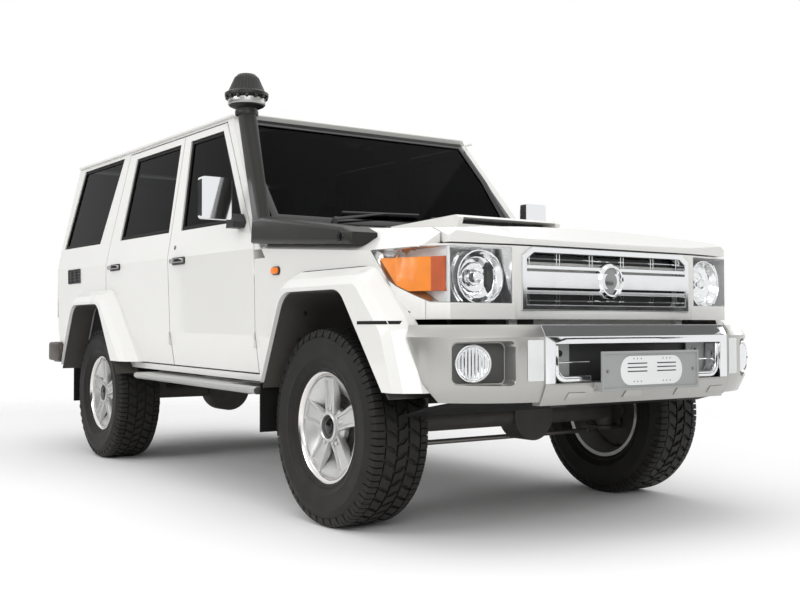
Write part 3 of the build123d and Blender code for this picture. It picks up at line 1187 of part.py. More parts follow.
# Chassis frame: two rails with cross-members and body mounts
COIL_Y = 438.0
COIL_R = 62.0
COIL_WIRE = 16.0
COIL_TOP_Z = 590.0
LEAF_HALF = 630.0
LEAF_W = 60.0
LEAF_TIP_T = 12.0
LEAF_PACK_T = 26.0
LEAF_Y = HOUSE_IN_Y - 94
LEAF_Z = HUB_Z + AXLE_R + 14 + FIT
LEAF_END_Z = LEAF_Z + 46
with BuildPart() as chassis_frame:
    for sign in (-1, 1):
        with Locations((FA + (RAIL_FRONT + RAIL_REAR) / 2, sign * (RAIL_Y + RAIL_W / 2), RAIL_Z)):
            Box(RAIL_FRONT - RAIL_REAR, RAIL_W, RAIL_H, align=(Align.CENTER, Align.CENTER, Align.MIN))
    for x in (RAIL_FRONT - 70, -250.0, -1420.0, 530.0 - WHEELBASE, RAIL_REAR + 180):
        with Locations((FA + x, 0, RAIL_Z + 20)):
            Box(80, 2 * RAIL_Y, RAIL_H - 48, align=(Align.CENTER, Align.CENTER, Align.MIN))
    for x in (-680.0, -1400.0, 630.0 - WHEELBASE, RAIL_REAR + 200):
        top = side_pt(x, FLOOR_Z)[1] - FIT
        for sign in (-1, 1):
            with Locations((FA + x, sign * (RAIL_Y + RAIL_W / 2), RAIL_Z + RAIL_H)):
                Cylinder(24, top - RAIL_Z - RAIL_H, align=(Align.CENTER, Align.CENTER, Align.MIN))
    # Spring towers in front and hangers at the rear
    for sign in (-1, 1):
        with Locations((FA, sign * (RAIL_Y + RAIL_W), COIL_TOP_Z)):
            Box(150, 130, 40, align=(Align.CENTER, Align.MIN if sign > 0 else Align.MAX, Align.MIN))
        for x in (RA - LEAF_HALF + 20, RA + LEAF_HALF - 20):
            with Locations((x, sign * (RAIL_Y + RAIL_W), LEAF_END_Z + FIT)):
                Box(60, LEAF_Y + LEAF_W / 2 + 2 - RAIL_Y - RAIL_W, RAIL_Z + 90 - LEAF_END_Z,
                    align=(Align.CENTER, Align.MIN if sign > 0 else Align.MAX, Align.MIN))
write(chassis_frame.part, "chassis_frame")

# Axles
FLANGE_R = 74.0
DIFF_Y = 180.0
FRONT_DIFF_R = 112.0
REAR_DIFF_R = 138.0
with BuildPart() as front_axle:
    with Locations(Plane(origin=(FA, 0, HUB_Z), x_dir=(1, 0, 0), z_dir=(0, 1, 0))):
        Cylinder(AXLE_R, 2 * (KING_Y - 10))
    with Locations(Plane(origin=(FA, DIFF_Y, HUB_Z), x_dir=(0, 1, 0), z_dir=(1, 0, 0))):
        Cylinder(FRONT_DIFF_R, FRONT_DIFF_R)
    for sign in (-1, 1):
        with Locations((FA, sign * KING_Y, HUB_Z)):
            Cylinder(KING_R, KING_H)
        with Locations((FA, sign * COIL_Y, HUB_Z + AXLE_R - 8)):
            Cylinder(70, 20, align=(Align.CENTER, Align.CENTER, Align.MIN))
write(front_axle.part, "front_axle")
with BuildPart() as rear_axle:
    face_y = TRACK_R / 2 + WHEEL_FACE
    with Locations(Plane(origin=(RA, 0, HUB_Z), x_dir=(1, 0, 0), z_dir=(0, 1, 0))):
        Cylinder(AXLE_R, 2 * (face_y - FIT))
        Cylinder(STUB_R, 2 * (face_y + 34))
    with Locations(Plane(origin=(RA, 0, HUB_Z), x_dir=(0, 1, 0), z_dir=(1, 0, 0))):
        Cylinder(REAR_DIFF_R, REAR_DIFF_R)
    for sign in (-1, 1):
        with Locations(Plane(origin=(RA, sign * (face_y - FIT), HUB_Z), x_dir=(1, 0, 0), z_dir=(0, sign, 0))):
            Cylinder(FLANGE_R, 16, align=(Align.CENTER, Align.CENTER, Align.MAX))
        with Locations((RA, sign * LEAF_Y, HUB_Z)):
            Box(110, 70, AXLE_R + 14, align=(Align.CENTER, Align.CENTER, Align.MIN))
write(rear_axle.part, "rear_axle")

# Steering knuckles and the track rod behind the axle
plate_z = KING_H / 2 + FIT
with BuildPart() as knuckle:
    face_y = TRACK_F / 2 + WHEEL_FACE - FIT
    web_in = KING_Y + KING_R + 14
    for sign in (-1, 1):
        with Locations((FA, -KING_Y, HUB_Z + sign * (plate_z + KNUCKLE_T / 2))):
            Cylinder(46, KNUCKLE_T)
        with Locations((FA, -(KING_Y + web_in + 18) / 2, HUB_Z + sign * (plate_z + KNUCKLE_T / 2))):
            Box(80, web_in + 18 - KING_Y, KNUCKLE_T)
    with Locations((FA, -web_in, HUB_Z)):
        Box(80, 18, 2 * (plate_z + KNUCKLE_T), align=(Align.CENTER, Align.MAX, Align.CENTER))
    with Locations(Plane(origin=(FA, -web_in - 10, HUB_Z), x_dir=(1, 0, 0), z_dir=(0, -1, 0))):
        Cylinder(56, face_y - web_in - 10, align=(Align.CENTER, Align.CENTER, Align.MIN))
    with Locations(Plane(origin=(FA, -face_y, HUB_Z), x_dir=(1, 0, 0), z_dir=(0, -1, 0))):
        Cylinder(FLANGE_R, 16, align=(Align.CENTER, Align.CENTER, Align.MAX))
        Cylinder(STUB_R, 34, align=(Align.CENTER, Align.CENTER, Align.MIN))
    with BuildSketch(Plane.XY.offset(HUB_Z - plate_z - KNUCKLE_T)):
        with BuildLine():
            arm_end = FA - ARM_BACK - 20
            Polyline((FA - 10, -KING_Y - 26), (FA - 10, -KING_Y + 40), (arm_end, -KING_Y + ARM_IN + 20),
                     (arm_end, -KING_Y + ARM_IN - 20), close=True)
        make_face()
    extrude(amount=KNUCKLE_T)
both_sides(knuckle.part, "knuckle")
ROD_END = 24.0
with BuildPart() as track_rod:
    rod_z = HUB_Z - plate_z - KNUCKLE_T - FIT - ROD_END / 2
    with Locations(Plane(origin=(FA - ARM_BACK, 0, rod_z), x_dir=(1, 0, 0), z_dir=(0, 1, 0))):
        Cylinder(ROD_R, 2 * (KING_Y - ARM_IN))
    with Locations((FA - ARM_BACK, KING_Y - ARM_IN, rod_z), (FA - ARM_BACK, -KING_Y + ARM_IN, rod_z)):
        Box(ROD_END, ROD_END, ROD_END)
write(track_rod.part, "track_rod")

# Springs: front coils as sleeves, rear leaf packs as curved bars
with BuildPart() as springs:
    seat_z = HUB_Z + AXLE_R + 12
    coil_h = COIL_TOP_Z - seat_z - 2 * FIT
    for sign in (-1, 1):
        with Locations((FA, sign * COIL_Y, seat_z + FIT)):
            Cylinder(COIL_R, coil_h, align=(Align.CENTER, Align.CENTER, Align.MIN))
            Cylinder(COIL_R - COIL_WIRE, coil_h, align=(Align.CENTER, Align.CENTER, Align.MIN), mode=Mode.SUBTRACT)
    for sign in (-1, 1):
        with BuildSketch(Plane.XZ.offset(-sign * LEAF_Y - LEAF_W / 2)):
            with BuildLine():
                eye_z = LEAF_END_Z - LEAF_TIP_T
                ThreePointArc((RA - LEAF_HALF, eye_z), (RA, LEAF_Z), (RA + LEAF_HALF, eye_z))
                Line((RA + LEAF_HALF, eye_z), (RA + LEAF_HALF, LEAF_END_Z))
                ThreePointArc((RA + LEAF_HALF, LEAF_END_Z), (RA, LEAF_Z + LEAF_PACK_T), (RA - LEAF_HALF, LEAF_END_Z))
                Line((RA - LEAF_HALF, LEAF_END_Z), (RA - LEAF_HALF, eye_z))
            make_face()
        extrude(amount=LEAF_W)
write(springs.part, "springs")

# Powertrain as one closed mass, with its mounts on the rails; fuel tank and exhaust
BETWEEN_RAILS = 2 * (RAIL_Y - FIT)
POWER_BLOCKS = [
    # station, bottom, length, width, height
    (-60.0, 575.0, 760.0, 500.0, 480.0),
    (-420.0, 470.0, 120.0, 360.0, 300.0),
    (-840.0, 420.0, 820.0, 320.0, 180.0),
    (-100.0, 575.0, 90.0, BETWEEN_RAILS, 24.0),
]
TANK_BACK = 390.0
TANK_Z = 400.0
TANK_L = 420.0
TANK_H = 190.0
PIPE_Y = 450.0
PIPE_Z = 566.0
PIPE_R = 28.0
PIPE_L = 420.0
TAIL_PIPE_X = -1780.0
SILENCER_X = -1300.0
SILENCER = (560.0, 150.0, 80.0)
with BuildPart() as powertrain:
    for x, z, length, width, height in POWER_BLOCKS:
        with Locations((FA + x, 0, z)):
            Box(length, width, height, align=(Align.CENTER, Align.CENTER, Align.MIN))
write(powertrain.part, "powertrain")
with BuildPart() as fuel_tank:
    with Locations((RA - TANK_BACK, 0, TANK_Z)):
        Box(TANK_L, BETWEEN_RAILS, TANK_H, align=(Align.CENTER, Align.CENTER, Align.MIN))
write(fuel_tank.part, "fuel_tank")
with BuildPart() as exhaust:
    with Locations((FA + SILENCER_X, -(RAIL_Y + RAIL_W + FIT), PIPE_Z)):
        Box(*SILENCER, align=(Align.CENTER, Align.MAX, Align.CENTER))
    with Locations(Plane(origin=(FA + TAIL_PIPE_X, -PIPE_Y, PIPE_Z), x_dir=(0, 1, 0), z_dir=(1, 0, 0))):
        Cylinder(PIPE_R, PIPE_L)
write(exhaust.part, "exhaust")

# Interior: dashboard with steering wheel, and seats
WHEEL_RING_R = 185.0
WHEEL_RING_T = 14.0
COLUMN_R = 28.0
COLUMN_L = 190.0
RING_X = -990.0
RING_Z = 1105.0
RING_DEPTH = 24.0
DRIVER_Y = 370.0
DASH = [(-600, 900), (-600, 1130), (-760, 1200), (-900, 1180), (-920, 1060), (-820, 900)]
with BuildPart() as dashboard:
    with BuildSketch(Plane.XZ.offset(-SILL_IN_Y + FIT)):
        with BuildLine():
            Polyline(*[side_pt(x, z) for x, z in DASH], close=True)
        make_face()
    extrude(amount=2 * (SILL_IN_Y - FIT))
    with Locations(Plane(origin=(FA + RING_X, -DRIVER_Y, RING_Z), x_dir=(0, 1, 0), z_dir=(-0.85, 0, 0.5))):
        Cylinder(WHEEL_RING_R + WHEEL_RING_T, RING_DEPTH)
        Cylinder(WHEEL_RING_R - WHEEL_RING_T, RING_DEPTH, mode=Mode.SUBTRACT)
        Cylinder(COLUMN_R, COLUMN_L, align=(Align.CENTER, Align.CENTER, Align.MAX))
        Box(2 * WHEEL_RING_R, RING_DEPTH, WHEEL_RING_T)
write(dashboard.part, "dashboard")

REAR_SEAT_X = C_LINE + 335
FRONT_SEAT_X = -1410.0
SEATS = [
    # station, middle, width, headrests from the middle
    (FRONT_SEAT_X, -DRIVER_Y, 500.0, (0,)),
    (FRONT_SEAT_X, DRIVER_Y, 500.0, (0,)),
    (REAR_SEAT_X, 0.0, 1050.0, (-300, 300)),
]
SEAT_HALF = 250.0
BACK_T = 100.0
CUSHION_H = 240.0
BACK_H = 620.0
BACK_LEAN = 140.0
HEADREST = (80.0, 260.0, 180.0)
with BuildPart() as seats:
    for x, y, width, headrests in SEATS:
        base = side_pt(x, FLOOR_Z + FLOOR_T)[1] + FIT
        seat_z = base + CUSHION_H
        back_z = seat_z + BACK_H
        front, rear = FA + x + SEAT_HALF, FA + x - SEAT_HALF
        cushion = [
            (rear, base + RAKE * SEAT_HALF), (front, base - RAKE * SEAT_HALF), (front + 20, seat_z + 30),
            (rear + BACK_T, seat_z), (rear, seat_z),
        ]
        back = [
            (rear, seat_z + FIT), (rear + BACK_T, seat_z + FIT), (rear + BACK_T - BACK_LEAN, back_z),
            (rear + 10 - BACK_LEAN, back_z),
        ]
        for outline in (cushion, back):
            with BuildSketch(Plane.XZ.offset(-y - width / 2)):
                with BuildLine():
                    Polyline(*outline, close=True)
                make_face()
            extrude(amount=width)
        for dy in headrests:
            with Locations((rear + 55 - BACK_LEAN, y + dy, back_z + FIT)):
                Box(*HEADREST, align=(Align.CENTER, Align.CENTER, Align.MIN))
write(seats.part, "seats")
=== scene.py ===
"""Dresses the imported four-wheel-drive station wagon: finishes, trim, lamps, wheels, seats and studio.

Every length is in metres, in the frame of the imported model: x forward, y to the left, z up.
"""
import logging
import math
from collections.abc import Callable, Sequence
from dataclasses import dataclass
from enum import Enum

import bpy
from mathutils import Matrix, Vector
from mathutils.bvhtree import BVHTree


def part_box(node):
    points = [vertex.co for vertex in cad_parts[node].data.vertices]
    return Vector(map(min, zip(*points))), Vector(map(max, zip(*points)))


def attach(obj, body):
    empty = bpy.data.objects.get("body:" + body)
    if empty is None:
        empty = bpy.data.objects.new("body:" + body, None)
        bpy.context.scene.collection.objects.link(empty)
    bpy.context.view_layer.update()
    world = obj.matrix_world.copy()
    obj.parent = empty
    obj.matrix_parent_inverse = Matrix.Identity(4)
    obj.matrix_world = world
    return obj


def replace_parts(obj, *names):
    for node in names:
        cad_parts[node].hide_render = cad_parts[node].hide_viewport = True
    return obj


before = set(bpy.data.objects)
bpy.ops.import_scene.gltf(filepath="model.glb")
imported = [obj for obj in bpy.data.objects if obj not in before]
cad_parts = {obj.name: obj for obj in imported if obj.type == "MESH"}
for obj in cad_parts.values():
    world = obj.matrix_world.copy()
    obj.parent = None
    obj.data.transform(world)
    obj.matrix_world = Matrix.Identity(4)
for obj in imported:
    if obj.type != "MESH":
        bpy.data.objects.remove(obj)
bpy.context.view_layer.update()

LOG = logging.getLogger("station_wagon")

FRONT_AXLE_X = 1.530
REAR_AXLE_X = FRONT_AXLE_X - 2.730
RAKE = 0.0125
RAKE_ZERO_X = FRONT_AXLE_X - 0.640
TURN = 2 * math.pi
RIGHT, LEFT = "right", "left"
CHASSIS = "chassis"
MIRROR_Y = Matrix.Diagonal((1, -1, 1, 1))

Points = Sequence[Vector]
Rgb = tuple[float, float, float]


def body_z(x: float, z: float) -> float:
    """Height at station x of a line that has height z at the door's leading edge."""
    return z + RAKE * (RAKE_ZERO_X - x)


class Grain(Enum):
    """How a finish breaks the light up close."""

    PEEL = "peel"
    MOULDED = "moulded"
    BRUSHED = "brushed"
    WOVEN = "woven"


class Effects:
    """Shader node groups that several finishes share, each built once."""

    @staticmethod
    def _new(name: str, inputs: Sequence[tuple[str, str, object]], outputs: Sequence[tuple[str, str]]) -> tuple:
        """Make an empty group with its sockets.

        Args:
            name: The group's name.
            inputs: Name, socket type and default of each input.
            outputs: Name and socket type of each output.

        Returns:
            The group, its input node, its output node and an Object coordinate socket.
        """
        group = bpy.data.node_groups.new(name, "ShaderNodeTree")
        for label, kind, default in inputs:
            group.interface.new_socket(label, in_out="INPUT", socket_type=kind).default_value = default
        for label, kind in outputs:
            group.interface.new_socket(label, in_out="OUTPUT", socket_type=kind)
        place = group.nodes.new("ShaderNodeTexCoord").outputs["Object"]
        return group, group.nodes.new("NodeGroupInput"), group.nodes.new("NodeGroupOutput"), place

    @staticmethod
    def _math(group: bpy.types.NodeTree, kind: str, *values: object, clamp: bool = False) -> bpy.types.NodeSocket:
        """Add a Math node.

        Args:
            group: The node tree.
            kind: The operation.
            values: Sockets or numbers, in order.
            clamp: Whether the result is kept from 0 to 1.

        Returns:
            The node's value socket.
        """
        node = group.nodes.new("ShaderNodeMath")
        node.operation, node.use_clamp = kind, clamp
        for slot, value in zip(node.inputs, values):
            if isinstance(value, bpy.types.NodeSocket):
                group.links.new(value, slot)
            else:
                slot.default_value = value
        return node.outputs[0]

    @classmethod
    def _noise(cls, group: bpy.types.NodeTree, place: bpy.types.NodeSocket, scale: object, detail: float = 3.0):
        """Add a noise texture and return its value socket."""
        noise = group.nodes.new("ShaderNodeTexNoise")
        noise.inputs["Detail"].default_value = detail
        group.links.new(place, noise.inputs["Vector"])
        if isinstance(scale, bpy.types.NodeSocket):
            group.links.new(scale, noise.inputs["Scale"])
        else:
            noise.inputs["Scale"].default_value = scale
        return noise.outputs[0]

    @classmethod
    def tone(cls) -> bpy.types.NodeTree:
        """Colour that drifts lighter and darker over the surface."""
        if found := bpy.data.node_groups.get("tone_drift"):
            return found
        group, enter, leave, place = cls._new(
            "tone_drift",
            [("Colour", "NodeSocketColor", (0.5, 0.5, 0.5, 1)), ("Amount", "NodeSocketFloat", 0.05),
             ("Scale", "NodeSocketFloat", 4.0)],
            [("Colour", "NodeSocketColor")],
        )
        drift = cls._noise(group, place, enter.outputs["Scale"])
        swing = cls._math(group, "MULTIPLY", cls._math(group, "SUBTRACT", drift, 0.5), 2.0)
        factor = cls._math(group, "ADD", cls._math(group, "MULTIPLY", swing, enter.outputs["Amount"]), 1.0)
        shade = group.nodes.new("ShaderNodeVectorMath")
        shade.operation = "SCALE"
        group.links.new(enter.outputs["Colour"], shade.inputs[0])
        group.links.new(factor, shade.inputs["Scale"])
        group.links.new(shade.outputs[0], leave.inputs["Colour"])
        return group

    @classmethod
    def gloss(cls) -> bpy.types.NodeTree:
        """Roughness that varies with handling and wiping."""
        if found := bpy.data.node_groups.get("handling_gloss"):
            return found
        group, enter, leave, place = cls._new(
            "handling_gloss",
            [("Base", "NodeSocketFloat", 0.4), ("Spread", "NodeSocketFloat", 0.05), ("Scale", "NodeSocketFloat", 9.0)],
            [("Roughness", "NodeSocketFloat")],
        )
        marks = cls._noise(group, place, enter.outputs["Scale"], 5.0)
        swing = cls._math(group, "MULTIPLY", cls._math(group, "SUBTRACT", marks, 0.5), 2.0)
        spread = cls._math(group, "MULTIPLY", swing, enter.outputs["Spread"])
        total = cls._math(group, "ADD", spread, enter.outputs["Base"], clamp=True)
        group.links.new(total, leave.inputs["Roughness"])
        return group

    @classmethod
    def grain(cls, kind: Grain) -> bpy.types.NodeTree:
        """Fine relief of a surface, as a height."""
        name = f"{kind.value}_grain"
        if found := bpy.data.node_groups.get(name):
            return found
        group, enter, leave, place = cls._new(
            name, [("Scale", "NodeSocketFloat", 300.0)], [("Height", "NodeSocketFloat")]
        )
        scale = enter.outputs["Scale"]
        if kind is Grain.WOVEN:
            split = group.nodes.new("ShaderNodeSeparateXYZ")
            group.links.new(place, split.inputs[0])
            warp = cls._math(group, "SINE", cls._math(group, "MULTIPLY", split.outputs["Y"], scale))
            run = cls._math(group, "ADD", split.outputs["X"], split.outputs["Z"])
            weft = cls._math(group, "SINE", cls._math(group, "MULTIPLY", run, scale))
            height = cls._math(group, "ADD", cls._math(group, "MULTIPLY", warp, weft), cls._noise(group, place, scale))
        elif kind is Grain.BRUSHED:
            stretch = group.nodes.new("ShaderNodeMapping")
            stretch.inputs["Scale"].default_value = (0.02, 1.0, 1.0)
            group.links.new(place, stretch.inputs["Vector"])
            height = cls._noise(group, stretch.outputs[0], scale, 2.0)
        elif kind is Grain.MOULDED:
            cells = group.nodes.new("ShaderNodeTexVoronoi")
            group.links.new(place, cells.inputs["Vector"])
            group.links.new(scale, cells.inputs["Scale"])
            height = cls._math(group, "ADD", cells.outputs["Distance"], cls._noise(group, place, scale))
        else:
            height = cls._noise(group, place, scale, 1.0)
        group.links.new(height, leave.inputs["Height"])
        return group

    @classmethod
    def past(cls) -> bpy.types.NodeTree:
        """Masks of what lies past a plane across each axis."""
        if found := bpy.data.node_groups.get("past_plane"):
            return found
        axes = ("X", "Y", "Z")
        group, enter, leave, place = cls._new(
            "past_plane", [("Limit", "NodeSocketFloat", 0.0)], [(axis, "NodeSocketFloat") for axis in axes]
        )
        split = group.nodes.new("ShaderNodeSeparateXYZ")
        group.links.new(place, split.inputs[0])
        for axis in axes:
            ahead = cls._math(group, "SUBTRACT", split.outputs[axis], enter.outputs["Limit"])
            mask = cls._math(group, "ADD", cls._math(group, "MULTIPLY", ahead, 1500.0), 0.5, clamp=True)
            group.links.new(mask, leave.inputs[axis])
        return group

    @classmethod
    def dust(cls) -> bpy.types.NodeTree:
        """Mask of road dust, which thins out with height above the ground."""
        if found := bpy.data.node_groups.get("road_dust"):
            return found
        group, enter, leave, place = cls._new(
            "road_dust",
            [("Top", "NodeSocketFloat", 0.8), ("Amount", "NodeSocketFloat", 0.2)],
            [("Mask", "NodeSocketFloat")],
        )
        split = group.nodes.new("ShaderNodeSeparateXYZ")
        group.links.new(place, split.inputs[0])
        depth = cls._math(group, "SUBTRACT", enter.outputs["Top"], split.outputs["Z"])
        low = cls._math(group, "DIVIDE", depth, enter.outputs["Top"], clamp=True)
        patch = cls._noise(group, place, 14.0, 6.0)
        film = cls._math(group, "MULTIPLY", low, patch)
        group.links.new(cls._math(group, "MULTIPLY", film, enter.outputs["Amount"], clamp=True), leave.inputs["Mask"])
        return group


@dataclass(frozen=True)
class Zone:
    """The part of a surface that lies past a plane and has a finish of its own."""

    axis: str
    limit: float
    finish: "Finish"


@dataclass(frozen=True)
class Finish:
    """One surface finish, made into a material the first time that it is asked for."""

    name: str
    colour: Rgb
    roughness: float
    metallic: float = 0.0
    coat: float = 0.0
    transmission: float = 0.0
    ior: float = 1.5
    drift: float = 0.04
    drift_scale: float = 4.0
    spread: float = 0.05
    grain: Grain = Grain.PEEL
    grain_scale: float = 300.0
    grain_depth: float = 0.05
    dust: float = 0.0
    dust_top: float = 0.9
    dust_colour: Rgb = (0.28, 0.24, 0.19)
    zones: tuple[Zone, ...] = ()

    def material(self) -> bpy.types.Material:
        """The finish as a node material.

        Returns:
            The material, made on the first call.
        """
        if found := bpy.data.materials.get(self.name):
            return found
        made = bpy.data.materials.new(self.name)
        made.use_nodes = True
        tree = made.node_tree
        skin = tree.nodes["Principled BSDF"]
        skin.inputs["Metallic"].default_value = self.metallic
        skin.inputs["IOR"].default_value = self.ior
        skin.inputs["Coat Weight"].default_value = self.coat
        skin.inputs["Coat Roughness"].default_value = 0.04
        skin.inputs["Transmission Weight"].default_value = self.transmission
        tone = self._group(tree, Effects.tone(), Colour=(*self.colour, 1), Amount=self.drift, Scale=self.drift_scale)
        gloss = self._group(tree, Effects.gloss(), Base=self.roughness, Spread=self.spread)
        colour, rough = tone.outputs["Colour"], gloss.outputs["Roughness"]
        metal = None
        for zone in self.zones:
            past = self._group(tree, Effects.past(), Limit=zone.limit).outputs[zone.axis]
            own = zone.finish
            tint = self._group(tree, Effects.tone(), Colour=(*own.colour, 1), Amount=own.drift, Scale=own.drift_scale)
            colour = self._mixed(tree, past, colour, tint.outputs["Colour"])
            rough = self._mixed(tree, past, rough, own.roughness)
            metal = self._mixed(tree, past, self.metallic if metal is None else metal, own.metallic)
        tree.links.new(rough, skin.inputs["Roughness"])
        if metal is not None:
            tree.links.new(metal, skin.inputs["Metallic"])
        if self.dust:
            dust = self._group(tree, Effects.dust(), Top=self.dust_top, Amount=self.dust)
            colour = self._mixed(tree, dust.outputs["Mask"], colour, (*self.dust_colour, 1))
        tree.links.new(colour, skin.inputs["Base Color"])
        if self.grain_depth:
            grain = self._group(tree, Effects.grain(self.grain), Scale=self.grain_scale)
            bump = tree.nodes.new("ShaderNodeBump")
            bump.inputs["Strength"].default_value = self.grain_depth
            bump.inputs["Distance"].default_value = 0.001
            tree.links.new(grain.outputs["Height"], bump.inputs["Height"])
            tree.links.new(bump.outputs["Normal"], skin.inputs["Normal"])
        return made

    @staticmethod
    def _mixed(tree: bpy.types.NodeTree, mask: bpy.types.NodeSocket, near: object, far: object) -> bpy.types.NodeSocket:
        """Mix two colours or two numbers by a mask.

        Args:
            tree: The material's nodes.
            mask: 0 for the first, 1 for the second.
            near: A socket, colour or number.
            far: A socket, colour or number.

        Returns:
            The mixed socket.
        """
        mix = tree.nodes.new("ShaderNodeMix")
        sample = far if isinstance(far, (bpy.types.NodeSocket, tuple)) else 0.0
        mix.data_type = "FLOAT" if isinstance(sample, float) else "RGBA"
        kind = "VALUE" if mix.data_type == "FLOAT" else "RGBA"
        slots = [slot for slot in mix.inputs if slot.type == kind and slot.name in "AB"]
        tree.links.new(mask, mix.inputs[0])
        for slot, value in zip(slots, (near, far)):
            if isinstance(value, bpy.types.NodeSocket):
                tree.links.new(value, slot)
            else:
                slot.default_value = value
        return next(out for out in mix.outputs if out.type == kind)

    @staticmethod
    def _group(tree: bpy.types.NodeTree, group: bpy.types.NodeTree, **values: object) -> bpy.types.Node:
        """Place a shared effect in a material with its own values."""
        node = tree.nodes.new("ShaderNodeGroup")
        node.node_tree = group
        for label, value in values.items():
            node.inputs[label].default_value = value
        return node


PAINT = Finish("white_paint", (0.765, 0.76, 0.735), 0.32, coat=0.6, drift=0.012, spread=0.03, grain_scale=700,
               grain_depth=0.02, dust=0.10)
GLASS = Finish("tinted_glass", (0.030, 0.032, 0.033), 0.02, transmission=1.0, ior=1.08, drift=0.05, spread=0.015,
               grain_depth=0)
CHROME = Finish("bright_chrome", (0.82, 0.83, 0.84), 0.07, metallic=1.0, drift=0.02, spread=0.04, grain_depth=0.01)
SILVER = Finish("silver_grey_paint", (0.44, 0.435, 0.415), 0.30, metallic=0.80, coat=0.2, drift=0.03, grain_scale=1500,
                grain_depth=0.05, dust=0.12)
BLACK = Finish("black_plastic", (0.022, 0.022, 0.023), 0.5, drift=0.12, grain=Grain.MOULDED, grain_scale=900,
               grain_depth=0.2, dust=0.05)
GLOSS_BLACK = Finish("black_border", (0.008, 0.008, 0.009), 0.12, drift=0.1, spread=0.03, grain_depth=0.01)
SNORKEL_GREY = Finish("satin_dark_grey", (0.017, 0.0165, 0.015), 0.36, ior=1.36, drift=0.10, grain=Grain.MOULDED,
                      grain_scale=1100, grain_depth=0.18)
TYRE = Finish("tyre_rubber", (0.010, 0.0097, 0.0093), 0.56, ior=1.32, drift=0.25, drift_scale=18, spread=0.12,
              grain=Grain.MOULDED, grain_scale=700, grain_depth=0.3, dust=0.14, dust_top=0.8,
              dust_colour=(0.16, 0.14, 0.12))
ALLOY = Finish("cast_alloy", (0.60, 0.60, 0.59), 0.34, metallic=0.75, drift=0.05, grain=Grain.PEEL, grain_scale=900,
               grain_depth=0.06)
MACHINED = Finish("machined_lip", (0.78, 0.76, 0.74), 0.16, metallic=1.0, drift=0.03, spread=0.06,
                  grain_scale=1200, grain_depth=0.05)
FRAME_BLACK = Finish("chassis_black", (0.016, 0.016, 0.016), 0.6, drift=0.3, drift_scale=10, grain=Grain.PEEL,
                     grain_scale=250, grain_depth=0.2, dust=0.35)
STEEL = Finish("bare_steel", (0.30, 0.29, 0.28), 0.42, metallic=0.9, drift=0.15, drift_scale=20, grain_scale=350,
               grain_depth=0.15, dust=0.3)
IRON = Finish("cast_iron", (0.07, 0.066, 0.062), 0.68, metallic=0.3, drift=0.25, drift_scale=15, grain_scale=220,
              grain_depth=0.4, dust=0.3)
RUBBER = Finish("black_rubber", (0.007, 0.007, 0.007), 0.6, ior=1.28, drift=0.15, grain_scale=500, grain_depth=0.2,
                dust=0.03)
TRIM = Finish("grey_trim", (0.075, 0.075, 0.078), 0.62, drift=0.08, grain=Grain.MOULDED, grain_scale=800,
              grain_depth=0.35)
CLOTH = Finish("woven_cloth", (0.12, 0.12, 0.125), 0.9, drift=0.12, drift_scale=30, grain=Grain.WOVEN,
               grain_scale=2600, grain_depth=0.6)
STEP_ALLOY = Finish("ribbed_aluminium", (0.55, 0.55, 0.54), 0.36, metallic=0.9, drift=0.06, grain=Grain.BRUSHED,
                    grain_scale=500, grain_depth=0.15, dust=0.15)
CLEAR_LENS = Finish("clear_lens", (0.96, 0.97, 0.97), 0.02, transmission=1.0, ior=1.18, drift=0.01, spread=0.01,
                    grain_depth=0)
AMBER_LENS = Finish("amber_lens", (0.90, 0.20, 0.006), 0.22, coat=0.15, drift=0.16, drift_scale=14, grain=Grain.MOULDED,
                    grain_scale=160, grain_depth=0.5)
RED_LENS = Finish("red_lens", (0.50, 0.008, 0.010), 0.12, coat=0.7, drift=0.06, grain=Grain.MOULDED, grain_scale=160,
                  grain_depth=0.5)
WHITE_LENS = Finish("white_lens", (0.72, 0.73, 0.73), 0.15, coat=0.6, drift=0.05, grain=Grain.MOULDED,
                    grain_scale=200, grain_depth=0.4)
REFLECTOR = Finish("lamp_reflector", (0.88, 0.88, 0.89), 0.10, metallic=1.0, drift=0.05, grain=Grain.MOULDED,
                   grain_scale=45, grain_depth=0.5)
PLATE_WHITE = Finish("plate_white", (0.78, 0.79, 0.79), 0.4, drift=0.02, grain_scale=1200, grain_depth=0.05)
HOLDER_GREY = Finish("holder_grey", (0.33, 0.335, 0.335), 0.42, drift=0.05, grain=Grain.MOULDED, grain_scale=900,
                     grain_depth=0.15)
DARK_CHROME = Finish("dark_chrome", (0.30, 0.30, 0.30), 0.18, metallic=1.0, drift=0.06, spread=0.06, grain_depth=0.02)
# painted shade: colour of the dark sheets laid on the fog lamp pockets' floors, where the pockets lie in shadow
POCKET_SHADE_PAINT = Finish("pocket_lining", (0.05, 0.05, 0.048), 0.5, drift=0.1, grain=Grain.MOULDED, grain_scale=900,
                    grain_depth=0.15)
BAND_SILVER = Finish("satin_silver_band", (0.42, 0.42, 0.41), 0.3, metallic=0.8, drift=0.06, grain_scale=900,
                     grain_depth=0.05)
ENGINE_ALLOY = Finish("cast_engine_alloy", (0.32, 0.32, 0.31), 0.5, metallic=0.7, drift=0.12, drift_scale=18,
                      grain_scale=260, grain_depth=0.3)
TANK_WHITE = Finish("milky_tank", (0.62, 0.63, 0.60), 0.4, drift=0.06, grain_scale=300, grain_depth=0.1)
AMBER_DEEP = Finish("amber_core", (0.50, 0.075, 0.004), 0.25, drift=0.25, drift_scale=26)
INDICATOR = Finish("indicator_amber", (0.92, 0.25, 0.006), 0.20, coat=0.2, drift=0.12, drift_scale=14,
                   grain=Grain.BRUSHED,
                   grain_scale=260, grain_depth=0.6, zones=(Zone("X", FRONT_AXLE_X + 0.590, AMBER_DEEP),))
BOWL_SILVER = Finish("lamp_housing", (0.62, 0.62, 0.62), 0.22, metallic=0.9, drift=0.06, grain=Grain.MOULDED,
                     grain_scale=60, grain_depth=0.4)
